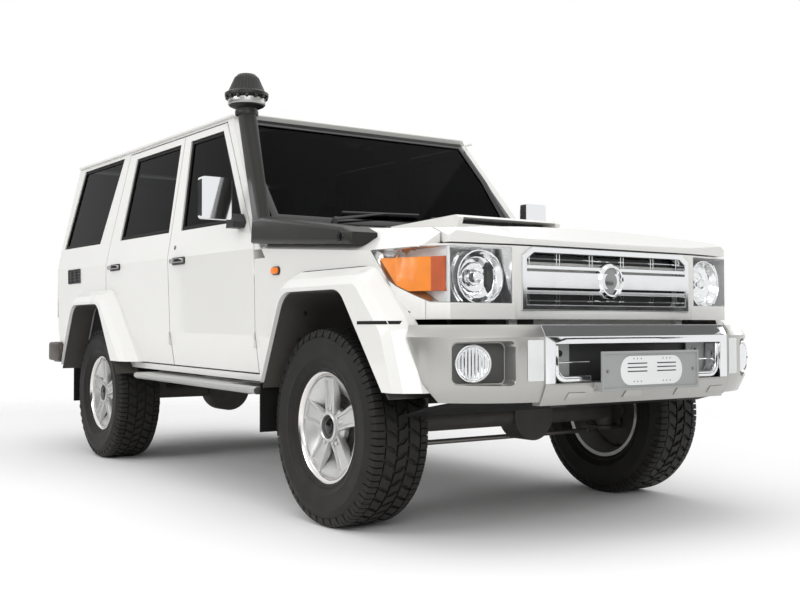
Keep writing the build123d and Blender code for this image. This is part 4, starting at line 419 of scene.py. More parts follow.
LINER_GREY = Finish("arch_lining", (0.045, 0.042, 0.038), 0.66, drift=0.2, drift_scale=9, grain=Grain.MOULDED,
                    grain_scale=500, grain_depth=0.3, dust=0.25, dust_top=1.2)
BUMPER_METAL = Finish("bumper_two_tone", SILVER.colour, SILVER.roughness, metallic=SILVER.metallic, drift=0.03,
                      grain_scale=1500, grain_depth=0.02,
                      zones=(Zone("Z", 0.581, CHROME), Zone("X", FRONT_AXLE_X + 0.874, HOLDER_GREY)))
MIRROR_SHELL = {
    RIGHT: Finish("mirror_shell_right", CHROME.colour, CHROME.roughness, metallic=1.0, drift=0.02, grain_depth=0.01,
                  zones=(Zone("Y", -0.8880, BLACK),)),
    LEFT: Finish("mirror_shell_left", BLACK.colour, BLACK.roughness, drift=0.02, grain_depth=0.01,
                 zones=(Zone("Y", 0.8880, CHROME),)),
}
BUMPER_BROWN = Finish("dark_rear_bumper", (0.050, 0.040, 0.034), 0.45, metallic=0.2, drift=0.15, grain_scale=400,
                      grain_depth=0.15, dust=0.25)


class Bench:
    """Hand tools: the few operators from which every new piece is modelled."""

    @staticmethod
    def take(piece: bpy.types.Object) -> None:
        """Make a piece the only selected object."""
        if bpy.context.mode != "OBJECT":
            bpy.ops.object.mode_set(mode="OBJECT")
        bpy.ops.object.select_all(action="DESELECT")
        piece.select_set(True)
        bpy.context.view_layer.objects.active = piece

    @classmethod
    def draw(cls, name: str, points: Points, fill: bool = True, close: bool = False) -> bpy.types.Object:
        """Draw an outline point by point, from one vertex that is extruded onwards.

        Args:
            name: The piece's name.
            points: The outline, in order.
            fill: Whether the outline becomes a face.
            close: Whether an unfilled outline is joined end to end.

        Returns:
            The new object.
        """
        bpy.ops.object.select_all(action="DESELECT")
        bpy.ops.mesh.primitive_plane_add(size=0.01, location=points[0])
        piece = bpy.context.object
        piece.name = piece.data.name = name
        bpy.ops.object.transform_apply(location=True, rotation=True, scale=True)
        bpy.ops.object.mode_set(mode="EDIT")
        bpy.ops.mesh.select_mode(type="VERT")
        bpy.ops.mesh.select_all(action="SELECT")
        bpy.ops.mesh.merge(type="CENTER")
        for here, there in zip(points, points[1:]):
            bpy.ops.mesh.extrude_vertices_move(TRANSFORM_OT_translate={"value": Vector(there) - Vector(here)})
        bpy.ops.mesh.select_all(action="SELECT")
        if fill:
            bpy.ops.mesh.edge_face_add()
        elif close:
            gap = Vector(points[0]) - Vector(points[-1])
            cls.pick_vertices(piece, lambda at: (at - Vector(points[-1])).length < 1e-5)
            bpy.ops.mesh.extrude_vertices_move(TRANSFORM_OT_translate={"value": gap})
            bpy.ops.mesh.select_all(action="SELECT")
            bpy.ops.mesh.remove_doubles(threshold=1e-5)
        bpy.ops.object.mode_set(mode="OBJECT")
        return piece

    @staticmethod
    def pick_vertices(piece: bpy.types.Object, test: Callable[[Vector], bool]) -> None:
        """Select in edit mode the vertices whose place passes a test."""
        bpy.ops.object.mode_set(mode="OBJECT")
        bpy.context.tool_settings.mesh_select_mode = (True, False, False)
        mesh = piece.data
        for part in (mesh.polygons, mesh.edges):
            part.foreach_set("select", [False] * len(part))
        for vertex in mesh.vertices:
            vertex.select = test(vertex.co)
        bpy.ops.object.mode_set(mode="EDIT")
        bpy.ops.mesh.select_mode(type="VERT")

    @staticmethod
    def pick_faces(piece: bpy.types.Object, test: Callable[[Vector, Vector], bool]) -> None:
        """Select in edit mode the faces whose centre and normal pass a test."""
        if bpy.context.mode != "OBJECT":
            bpy.ops.object.mode_set(mode="OBJECT")
        bpy.context.tool_settings.mesh_select_mode = (False, False, True)
        mesh = piece.data
        for part in (mesh.vertices, mesh.edges):
            part.foreach_set("select", [False] * len(part))
        for face in mesh.polygons:
            face.select = test(face.center, face.normal)
        bpy.ops.object.mode_set(mode="EDIT")
        bpy.ops.mesh.select_mode(type="FACE")

    @classmethod
    def outward(cls, piece: bpy.types.Object, merge: float = 1e-5) -> None:
        """Merge doubles and turn every face outwards."""
        cls.take(piece)
        bpy.ops.object.mode_set(mode="EDIT")
        bpy.ops.mesh.select_all(action="SELECT")
        bpy.ops.mesh.remove_doubles(threshold=merge)
        bpy.ops.mesh.normals_make_consistent(inside=False)
        bpy.ops.object.mode_set(mode="OBJECT")

    @classmethod
    def prism(cls, name: str, points: Points, pull: Vector, bevel: float = 0.0, segments: int = 2) -> bpy.types.Object:
        """Draw an outline, pull it along a direction and soften its edges.

        Args:
            name: The piece's name.
            points: The outline, in order.
            pull: Where the outline is extruded to.
            bevel: Width of the softened edges.
            segments: Steps of the softened edges.

        Returns:
            The new object.
        """
        piece = cls.draw(name, points)
        bpy.ops.object.mode_set(mode="EDIT")
        bpy.ops.mesh.select_all(action="SELECT")
        bpy.ops.mesh.extrude_region_move(TRANSFORM_OT_translate={"value": pull})
        bpy.ops.object.mode_set(mode="OBJECT")
        cls.outward(piece)
        if bevel:
            cls.bevel(piece, bevel, segments)
        return piece

    @classmethod
    def swept(cls, name: str, section: Points, path: Points, bevel: float = 0.0) -> bpy.types.Object:
        """Pull a section from point to point along a path.

        Args:
            name: The piece's name.
            section: The section round the path's first point.
            path: The points that the section's origin goes through.
            bevel: Width of the softened edges.

        Returns:
            The new object.
        """
        piece = cls.draw(name, section)
        bpy.ops.object.mode_set(mode="EDIT")
        bpy.ops.mesh.select_all(action="SELECT")
        for here, there in zip(path, path[1:]):
            bpy.ops.mesh.extrude_region_move(TRANSFORM_OT_translate={"value": Vector(there) - Vector(here)})
        bpy.ops.object.mode_set(mode="OBJECT")
        cls.outward(piece)
        if bevel:
            cls.bevel(piece, bevel, 2)
        return piece

    @classmethod
    def turned(cls, name: str, profile: Sequence[tuple[float, float]], centre: Vector, axis: Vector,
               steps: int = 48, ring: bool = False) -> bpy.types.Object:
        """Spin a profile round an axis.

        Args:
            name: The piece's name.
            profile: Pairs of radius and distance along the axis.
            centre: A point on the axis, from which the distances run.
            axis: The axis's direction.
            steps: Steps of the turn.
            ring: Whether the profile is a closed loop.

        Returns:
            The new object.
        """
        axis = Vector(axis).normalized()
        arm = axis.orthogonal().normalized()
        points = [Vector(centre) + arm * radius + axis * along for radius, along in profile]
        piece = cls.draw(name, points, fill=False, close=ring)
        bpy.ops.object.mode_set(mode="EDIT")
        bpy.ops.mesh.select_all(action="SELECT")
        bpy.ops.mesh.spin(steps=steps, angle=TURN, center=centre, axis=axis)
        bpy.ops.object.mode_set(mode="OBJECT")
        cls.outward(piece)
        return piece

    @classmethod
    def bevel(cls, piece: bpy.types.Object, width: float, segments: int = 2) -> None:
        """Soften a piece's sharp edges with an applied Bevel."""
        cls.take(piece)
        soft = piece.modifiers.new("soft_edges", "BEVEL")
        soft.width, soft.segments, soft.limit_method, soft.angle_limit = width, segments, "ANGLE", math.radians(30)
        soft.use_clamp_overlap = True
        bpy.ops.object.modifier_apply(modifier=soft.name)

    @classmethod
    def wall(cls, piece: bpy.types.Object, thickness: float, offset: float) -> None:
        """Give an open surface a wall with an applied Solidify."""
        cls.take(piece)
        skin = piece.modifiers.new("wall", "SOLIDIFY")
        skin.thickness, skin.offset, skin.use_even_offset = thickness, offset, True
        bpy.ops.object.modifier_apply(modifier=skin.name)

    @classmethod
    def round_copies(cls, piece: bpy.types.Object, count: int, centre: Vector, axis: Vector) -> None:
        """Copy a piece's mesh evenly round an axis."""
        cls.take(piece)
        bpy.ops.object.mode_set(mode="EDIT")
        bpy.ops.mesh.select_all(action="SELECT")
        bpy.ops.mesh.spin(steps=count, dupli=True, angle=TURN, center=centre, axis=axis)
        bpy.ops.mesh.select_all(action="SELECT")
        bpy.ops.mesh.remove_doubles(threshold=1e-5)
        bpy.ops.object.mode_set(mode="OBJECT")

    @classmethod
    def join(cls, name: str, pieces: Sequence[bpy.types.Object]) -> bpy.types.Object:
        """Join pieces into the first one."""
        cls.take(pieces[0])
        for piece in pieces[1:]:
            piece.select_set(True)
        bpy.ops.object.join()
        pieces[0].name = pieces[0].data.name = name
        return pieces[0]

    @staticmethod
    def copy(name: str, source: bpy.types.Object, move: Matrix | None = None) -> bpy.types.Object:
        """Copy a piece with its own mesh.

        Args:
            name: The copy's name.
            source: What is copied.
            move: A matrix that the copy's mesh is carried by.

        Returns:
            The copy.
        """
        twin = bpy.data.objects.new(name, source.data.copy())
        twin.data.name = name
        bpy.context.scene.collection.objects.link(twin)
        if move is not None:
            twin.data.transform(move)
            if move.determinant() < 0:
                twin.data.flip_normals()
        return twin


class Shop:
    """Where pieces are finished: given their material and set on the body that carries them."""

    count = 0

    @classmethod
    def fit(cls, piece: bpy.types.Object, finish: Finish, body: str, slot: str,
            smooth: float = 32.0) -> bpy.types.Object:
        """Finish a piece and let it ride on a body.

        Args:
            piece: The modelled piece.
            finish: Its finish.
            body: The body that carries it.
            slot: The record's material slot; not used.
            smooth: Angle in degrees below which faces blend.

        Returns:
            The same piece.
        """
        Bench.take(piece)
        bpy.ops.object.shade_smooth_by_angle(angle=math.radians(smooth))
        piece.data.materials.clear()
        piece.data.materials.append(finish.material())
        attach(piece, body)
        cls.count += 1
        LOG.info("%s rides on %s in %s", piece.name, body, finish.name)
        return piece

    @classmethod
    def fit_pair(cls, piece: bpy.types.Object, stem: str, finish: Finish, body: str, slot: str) -> None:
        """Finish a right-hand piece and its left-hand twin.

        Args:
            piece: The right-hand piece.
            stem: The name that both share.
            finish: Their finish.
            body: The body, with the side left open as {side} where each side has its own.
            slot: The record's material slot; not used.
        """
        piece.name = piece.data.name = f"{stem}_{RIGHT}"
        twin = Bench.copy(f"{stem}_{LEFT}", piece, MIRROR_Y)
        cls.fit(piece, finish, body.format(side=RIGHT), slot)
        cls.fit(twin, finish, body.format(side=LEFT), slot)


@dataclass(frozen=True)
class Datum:
    """A place on a surface: its origin and the directions along, up and out of it."""

    origin: Vector
    along: Vector
    up: Vector
    out: Vector

    def at(self, along: float, up: float, out: float = 0.0) -> Vector:
        """A point from its distances along, up and out."""
        return self.origin + self.along * along + self.up * up + self.out * out

    def outline(self, points: Sequence[tuple[float, float]], out: float = 0.0) -> list[Vector]:
        """Points of an outline that lies on the surface."""
        return [self.at(u, v, out) for u, v in points]

    @classmethod
    def on(cls, node: str, start: Vector, aim: Vector, along: Vector) -> "Datum":
        """The place where a line meets a CAD node.

        Args:
            node: The CAD node's name.
            start: Where the line starts.
            aim: Its direction.
            along: The rough direction that is called along.

        Returns:
            The datum on the node's surface.
        """
        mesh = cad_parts[node].data
        tree = BVHTree.FromPolygons([v.co for v in mesh.vertices], [p.vertices for p in mesh.polygons])
        place, normal, _, _ = tree.ray_cast(Vector(start), Vector(aim))
        if place is None:
            raise ValueError(f"no surface of {node} from {start}")
        if normal.dot(Vector(aim)) > 0:
            normal = -normal
        run = (Vector(along) - normal * normal.dot(Vector(along))).normalized()
        up = run.cross(normal) if run.cross(normal).z > 0 else normal.cross(run)
        return cls(place, run, up, normal)

    @classmethod
    def on_side(cls, node: str, x: float, z: float) -> "Datum":
        """The place on a right-hand side node at a station and height."""
        return cls.on(node, Vector((x, -1.5, z)), Vector((0, 1, 0)), Vector((1, 0, 0)))


def rounded(width: float, height: float, radius: float, steps: int = 4) -> list[tuple[float, float]]:
    """Outline of a rectangle with round corners, about its centre."""
    points = []
    for quarter, (sx, sy) in enumerate(((1, 1), (-1, 1), (-1, -1), (1, -1))):
        for step in range(steps + 1):
            turn = math.radians(90 * (quarter + step / steps))
            points.append((sx * (width / 2 - radius) + radius * math.cos(turn),
                           sy * (height / 2 - radius) + radius * math.sin(turn)))
    return points


def filleted(corners: Sequence[tuple[float, float]], radius: float, steps: int = 6) -> list[tuple[float, float]]:
    """An open line whose inner corners are rounded.

    Args:
        corners: The line's corners, in order.
        radius: Distance from each corner at which its curve starts.
        steps: Steps of each curve.

    Returns:
        The points of the rounded line.
    """
    line = [Vector(corner) for corner in corners]
    points = [line[0]]
    for before, corner, after in zip(line, line[1:], line[2:]):
        start = corner + (before - corner).normalized() * radius
        end = corner + (after - corner).normalized() * radius
        for step in range(steps + 1):
            t = step / steps
            points.append(start * (1 - t) ** 2 + corner * 2 * t * (1 - t) + end * t * t)
    return [tuple(point) for point in (*points, line[-1])]


def circle(radius: float, steps: int) -> list[tuple[float, float]]:
    """Points round a circle."""
    return [(radius * math.cos(TURN * i / steps), radius * math.sin(TURN * i / steps)) for i in range(steps)]


@dataclass
class Panels:
    """The CAD nodes that stay as they are and get their finish and softened edges here."""

    panel_edge: float = 0.006
    trim_edge: float = 0.003
    bumper_edge: float = 0.014

    def dress(self) -> None:
        """Give each CAD node its finish and its softened edges."""
        by_finish: dict[Finish, list[str]] = {
            PAINT: ["roof", "body_side_right", "body_side_left", "cowl", "front_wings", "front_panel", "arch_flares",
                    "door_front_right", "door_front_left", "door_rear_right", "door_rear_left", "barn_door_right",
                    "barn_door_left", "bonnet"],
            GLASS: ["fixed_glass", "glass_front_right", "glass_front_left", "glass_rear_right", "glass_rear_left",
                    "barn_glass_right", "barn_glass_left"],
            CHROME: ["grille"],
            BUMPER_METAL: ["front_bumper"],
            MIRROR_SHELL[RIGHT]: ["mirror_right"],
            MIRROR_SHELL[LEFT]: ["mirror_left"],
            SILVER: ["bumper_corners"],
            BUMPER_BROWN: ["rear_bumper"],
            STEP_ALLOY: ["side_steps"],
            RUBBER: ["mud_flaps"],
            SNORKEL_GREY: ["snorkel"],
            IRON: ["powertrain", "front_axle", "rear_axle", "knuckle_right", "knuckle_left"],
            FRAME_BLACK: ["chassis_frame", "fuel_tank", "springs"],
            STEEL: ["exhaust", "track_rod"],
            TRIM: ["dashboard", "floor_pan"],
        }
        edges = {"front_bumper": 0.004, "bumper_corners": self.bumper_edge, "mirror_right": 0.014,
                 "mirror_left": 0.014, "rear_bumper": 0.010, "snorkel": 0.004, "side_steps": 0.006}
        for finish, names in by_finish.items():
            for name in names:
                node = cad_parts[name]
                node.data.materials.clear()
                node.data.materials.append(finish.material())
                default = self.panel_edge if finish is PAINT else self.trim_edge
                if finish is not GLASS:
                    self._soften(node, edges.get(name, default))
                LOG.info("%s keeps its shape in %s", name, finish.name)

    @staticmethod
    def _soften(node: bpy.types.Object, width: float) -> None:
        """Weld a CAD node's triangles and round its edges a little, with live modifiers."""
        weld = node.modifiers.new("weld", "WELD")
        weld.merge_threshold = 1e-5
        soft = node.modifiers.new("soft_edges", "BEVEL")
        soft.width, soft.segments, soft.limit_method, soft.angle_limit = width, 3, "ANGLE", math.radians(28)
        soft.harden_normals = True
        if node.name.startswith(("door_", "body_side_", "barn_door_")):
            crease = node.modifiers.new("panel_creases", "EDGE_SPLIT")
            crease.split_angle = math.radians(4)


@dataclass
class Seals:
    """Rubber frames round every pane, taken from the panes' own outlines."""

    side_width: float = 0.020
    screen_width: float = 0.038
    proud: float = 0.007

    def build(self) -> None:
        """Make the frame of each pane."""
        for side in (RIGHT, LEFT):
            for row in ("front", "rear"):
                self._frame(f"glass_{row}_{side}", f"seal_{row}_{side}", f"{row}_door_{side}", self._sideways)
            self._frame(f"barn_glass_{side}", f"seal_leaf_{side}", f"rear_leaf_{side}", lambda c, n: n.x < -0.8)
        self._frame("fixed_glass", "seal_quarters", CHASSIS, lambda c, n: c.x < 0 and self._sideways(c, n))
        self._frame("fixed_glass", "seal_screen", CHASSIS, lambda c, n: n.x > 0.5 and n.z > 0.4)

    @staticmethod
    def _sideways(centre: Vector, normal: Vector) -> bool:
        """Whether a face looks out of the vehicle's side."""
        return abs(normal.y) > 0.9 and normal.y * centre.y > 0

    def _frame(self, node: str, name: str, body: str, test: Callable[[Vector, Vector], bool]) -> None:
        """Make one frame from the outer face of a pane."""
        piece = Bench.copy(name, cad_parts[node])
        Bench.outward(piece)
        Bench.take(piece)
        Bench.pick_faces(piece, lambda c, n: not test(c, n))
        bpy.ops.mesh.delete(type="FACE")
        bpy.ops.mesh.select_all(action="SELECT")
        bpy.ops.mesh.dissolve_limited(angle_limit=math.radians(1))
        bpy.ops.mesh.select_mode(type="FACE")
        bpy.ops.mesh.select_all(action="SELECT")
        width = self.screen_width if name == "seal_screen" else self.side_width
        bpy.ops.mesh.inset(thickness=width, use_even_offset=True)
        bpy.ops.mesh.delete(type="FACE")
        bpy.ops.object.mode_set(mode="OBJECT")
        Bench.wall(piece, self.proud, 1.0)
        Bench.bevel(piece, 0.0015, 2)
        Shop.fit(piece, GLOSS_BLACK if name == "seal_screen" else RUBBER, body, "rubber")


@dataclass
class RoofTrim:
    """Drip rails along the roof's two edges."""

    front_x: float = FRONT_AXLE_X - 1.080
    rear_x: float = FRONT_AXLE_X - 3.415
    half_width: float = 0.727
    height: float = 1.800
    reach: float = 0.016
    depth: float = 0.014

    def build(self) -> None:
        """Make both rails."""
        lip = [(0.0, 0.0), (self.reach, 0.002), (self.reach, self.depth), (self.reach - 0.004, self.depth),
               (self.reach - 0.005, 0.007), (0.0, 0.006)]
        path = [Vector((x, -self.half_width, body_z(x, self.height))) for x in (self.front_x, self.rear_x)]
        section = [path[0] + Vector((0, -out, up)) for out, up in lip]
        Shop.fit_pair(Bench.swept("drip_rail", section, path, 0.001), "drip_rail", PAINT, CHASSIS, "paint")


@dataclass
class Handles:
    """Pull handles and locks on the side doors."""

    front_x: float = FRONT_AXLE_X - 1.495
    rear_x: float = FRONT_AXLE_X - 2.428
    height: float = 1.111
    length: float = 0.165
    tall: float = 0.038
    stand: float = 0.030

    def build(self) -> None:
        """Make a handle for each side door, and the front doors' locks."""
        for row, x in (("front", self.front_x), ("rear", self.rear_x)):
            place = Datum.on_side(f"door_{row}_right", x, body_z(x, self.height))
            cup = Bench.prism("cup", place.outline(rounded(self.length, self.tall, 0.012)), place.out * 0.004, 0.0012)
            Shop.fit_pair(cup, f"handle_cup_{row}", BLACK, row + "_door_{side}", "black")
            half = self.length / 2 - 0.006
            bow = [(-half, 0.003), (-half, 0.018), (-half + 0.022, self.stand), (half - 0.022, self.stand),
                   (half, 0.018), (half, 0.003), (half - 0.020, 0.003), (half - 0.030, self.stand - 0.012),
                   (-half + 0.030, self.stand - 0.012), (-half + 0.020, 0.003)]
            outline = [place.at(u, -0.011, w) for u, w in bow]
            grip = Bench.prism("grip", outline, place.up * 0.022, 0.004, 3)
            Shop.fit_pair(grip, f"handle_{row}", DARK_CHROME, row + "_door_{side}", "chrome")
        x = self.front_x - 0.068
        place = Datum.on_side("door_front_right", x, body_z(x, 1.183))
        lock = Bench.turned("lock", [(0.0, 0.004), (0.006, 0.004), (0.011, 0.003), (0.012, -0.001)], place.origin,
                            place.out, 24)
        Shop.fit_pair(lock, "door_lock", DARK_CHROME, "front_door_{side}", "chrome")


@dataclass
class SideTrim:
    """Small parts on the body sides: cabin vents and side repeaters."""

    vent_x: float = FRONT_AXLE_X - 3.180
    vent_z: float = 1.112
    vent_length: float = 0.250
    vent_tall: float = 0.092
    slots: int = 3
    repeater_x: float = FRONT_AXLE_X - 0.441
    repeater_z: float = 1.023

    def build(self) -> None:
        """Make the vents and the repeaters."""
        place = Datum.on_side("body_side_right", self.vent_x, self.vent_z)
        pitch = self.vent_length / self.slots
        boxes = []
        for slot in range(self.slots):
            u = (slot - (self.slots - 1) / 2) * pitch
            shape = [(u + a, b) for a, b in rounded(pitch * 0.84, self.vent_tall, 0.008)]
            box = Bench.prism(f"slot_{slot}", place.outline(shape), place.out * 0.006)
            Bench.pick_faces(box, lambda c, n: n.dot(place.out) > 0.9)
            bpy.ops.mesh.inset(thickness=0.006)
            bpy.ops.mesh.extrude_region_move(TRANSFORM_OT_translate={"value": place.out * -0.0055})
            bpy.ops.object.mode_set(mode="OBJECT")
            fins = []
            for row in range(4):
                v = (row - 1.5) * self.vent_tall * 0.2
                fin = [place.at(u - pitch * 0.36, v, 0.001), place.at(u - pitch * 0.36, v + 0.012, 0.001),
                       place.at(u - pitch * 0.36, v + 0.003, 0.006)]
                fins.append(Bench.prism(f"fin_{slot}_{row}", fin, place.along * pitch * 0.72))
            boxes += [box, *fins]
        Shop.fit_pair(Bench.join("cabin_vent", boxes), "cabin_vent", BLACK, CHASSIS, "black")
        place = Datum.on_side("front_wings", self.repeater_x, self.repeater_z)
        base = Bench.prism("base", place.outline(rounded(0.070, 0.036, 0.014)), place.out * 0.005, 0.001)
        Shop.fit_pair(base, "repeater_base", BLACK, CHASSIS, "black")
        lens = Bench.prism("lens", place.outline(rounded(0.060, 0.028, 0.012), 0.004), place.out * 0.012, 0.005, 3)
        Shop.fit_pair(lens, "repeater_lens", AMBER_LENS, CHASSIS, "lamp")


@dataclass
class ScreenTrim:
    """Wipers and the inside mirror round the windscreen."""

    pivots: tuple[float, ...] = (-0.40, 0.13)
    blade: float = 0.46
    foot_z: float = 1.285

    def build(self) -> None:
        """Make the wipers and the inside mirror."""
        for number, y in enumerate(self.pivots):
            place = Datum.on("fixed_glass", Vector((3.0, y, self.foot_z)), Vector((-1, 0, 0)), Vector((0, 1, 0)))
            boss = Bench.turned("boss", [(0.0, 0.036), (0.010, 0.034), (0.014, 0.028), (0.016, -0.010)],
                                place.at(0, -0.012, 0), place.out, 24)
            arm = Bench.prism("arm", [place.at(0.0, -0.022, 0.024), place.at(0.0, -0.004, 0.024),
                                      place.at(0.30, 0.052, 0.020), place.at(0.30, 0.044, 0.020)], place.out * 0.008,
                                      0.002)
            rail = Bench.prism("rail", [place.at(0.06, 0.040, 0.006), place.at(0.06, 0.050, 0.006),
                                        place.at(0.06 + self.blade, 0.068, 0.006),
                                        place.at(0.06 + self.blade, 0.058, 0.006)], place.out * 0.016, 0.002)
            piece = Bench.join(f"wiper_{number}", [boss, arm, rail])
            Shop.fit(piece, BLACK, CHASSIS, "black")
        head = Datum.on("fixed_glass", Vector((3.0, 0.0, 1.735)), Vector((-1, 0, 0)), Vector((0, 1, 0)))
        base = head.origin + Vector((-0.075, 0, -0.045))
        flat = Datum(base, Vector((0, 1, 0)), Vector((0.12, 0, 0.99)).normalized(),
                     Vector((-0.99, 0, 0.12)).normalized())
        shell = Bench.prism("shell", flat.outline(rounded(0.235, 0.066, 0.024), -0.022), flat.out * 0.022, 0.008, 3)
        stem = Bench.turned("stem", [(0.0, 0.0), (0.011, 0.0), (0.009, 0.05), (0.013, 0.075), (0.0, 0.078)],
                            base, head.origin - base, 20)
        Shop.fit(Bench.join("inside_mirror", [shell, stem]), BLACK, CHASSIS, "black")


@dataclass
class Mirrors:
    """Glass and pivots of the two door mirrors."""

    head: tuple[float, float] = (-1.033, -0.883)
    middle_z: float = 1.364
    pane: tuple[float, float, float] = (0.126, 0.162, 0.020)

    def build(self) -> None:
        """Make the mirror glass and the pivots."""
        low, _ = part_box("mirror_right")
        middle = sum(self.head) / 2
        back = Datum(Vector((low.x, middle, self.middle_z)), Vector((0, 1, 0)), Vector((0, 0, 1)), Vector((-1, 0, 0)))
        pane = Bench.prism("pane", back.outline(rounded(*self.pane), -0.004), back.out * 0.0036, 0.001)
        Shop.fit_pair(pane, "mirror_glass", CHROME, "front_door_{side}", "chrome")
        shell = Datum.on("mirror_right", Vector((4, middle, self.middle_z)), Vector((-1, 0, 0)), Vector((0, 1, 0)))
        for z in (self.middle_z - 0.062, self.middle_z + 0.055):
            pin = Bench.turned("pin", [(0.0, 0.004), (0.007, 0.003), (0.010, -0.002), (0.010, -0.020), (0.0, -0.020)],
                               Vector((shell.origin.x - 0.022, self.head[1] + 0.001, z)), Vector((0, 1, 0)), 20)
            Shop.fit_pair(pin, f"mirror_pivot_{round(z * 1000)}", BLACK, "front_door_{side}", "black")


@dataclass
class Grille:
    """Thin rails, uprights, centre boss and dark backing of the grille."""

    half_width: float = 0.425
    rails: tuple[float, ...] = (0.876, 1.030)
    posts: tuple[float, ...] = (0.085, 0.255)
    end_post: float = 0.398
    post_pair: float = 0.015
    post_tall: float = 0.050
    wire: float = 0.0030
    boss_r: float = 0.068
    boss_z: float = 0.953

    def build(self) -> None:
        """Make the rails and uprights, the boss and the backing."""
        low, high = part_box("grille")
        face = high.x - 0.028
        wires = []
        for z in self.rails:
            section = [Vector((face + a, -self.half_width, z + b)) for a, b in circle(self.wire, 6)]
            wires.append(Bench.prism("rail", section, Vector((0, 2 * self.half_width, 0))))
            places = [y + shift for y in self.posts for shift in (-self.post_pair / 2, self.post_pair / 2)]
            for y in (*places, self.end_post):
                for sign in (-1, 1):
                    foot = Vector((face + 0.004, sign * y, z - self.post_tall / 2))
                    outline = [foot + Vector((a, b, 0)) for a, b in circle(self.wire * 0.8, 6)]
                    wires.append(Bench.prism("post", outline, Vector((0, 0, self.post_tall))))
        Shop.fit(Bench.join("grille_wires", wires), CHROME, CHASSIS, "chrome")
        back = Datum(Vector((high.x - 0.075, 0, (low.z + high.z) / 2)), Vector((0, 1, 0)), Vector((0, 0, 1)),
                     Vector((1, 0, 0)))
        tall = high.z - low.z - 0.05
        board = Bench.prism("grille_backing", back.outline(rounded(2 * self.half_width, tall, 0.02)), back.out * 0.006)
        Shop.fit(board, BLACK, CHASSIS, "black")
        r = self.boss_r
        rim = [(r * 0.70, 0.008), (r * 0.78, 0.017), (r * 0.88, 0.019), (r, 0.011), (r, -0.012), (r * 0.70, -0.012)]
        middle = Vector((high.x - 0.010, 0, self.boss_z))
        Shop.fit(Bench.turned("grille_boss_rim", rim, middle, Vector((1, 0, 0)), 56, ring=True), CHROME, CHASSIS,
                 "chrome")
        dish = [(0.0, 0.012), (r * 0.45, 0.0105), (r * 0.72, 0.006), (r * 0.74, -0.006), (0.0, -0.006)]
        Shop.fit(Bench.turned("grille_boss", dish, middle, Vector((1, 0, 0)), 48), DARK_CHROME, CHASSIS, "chrome")


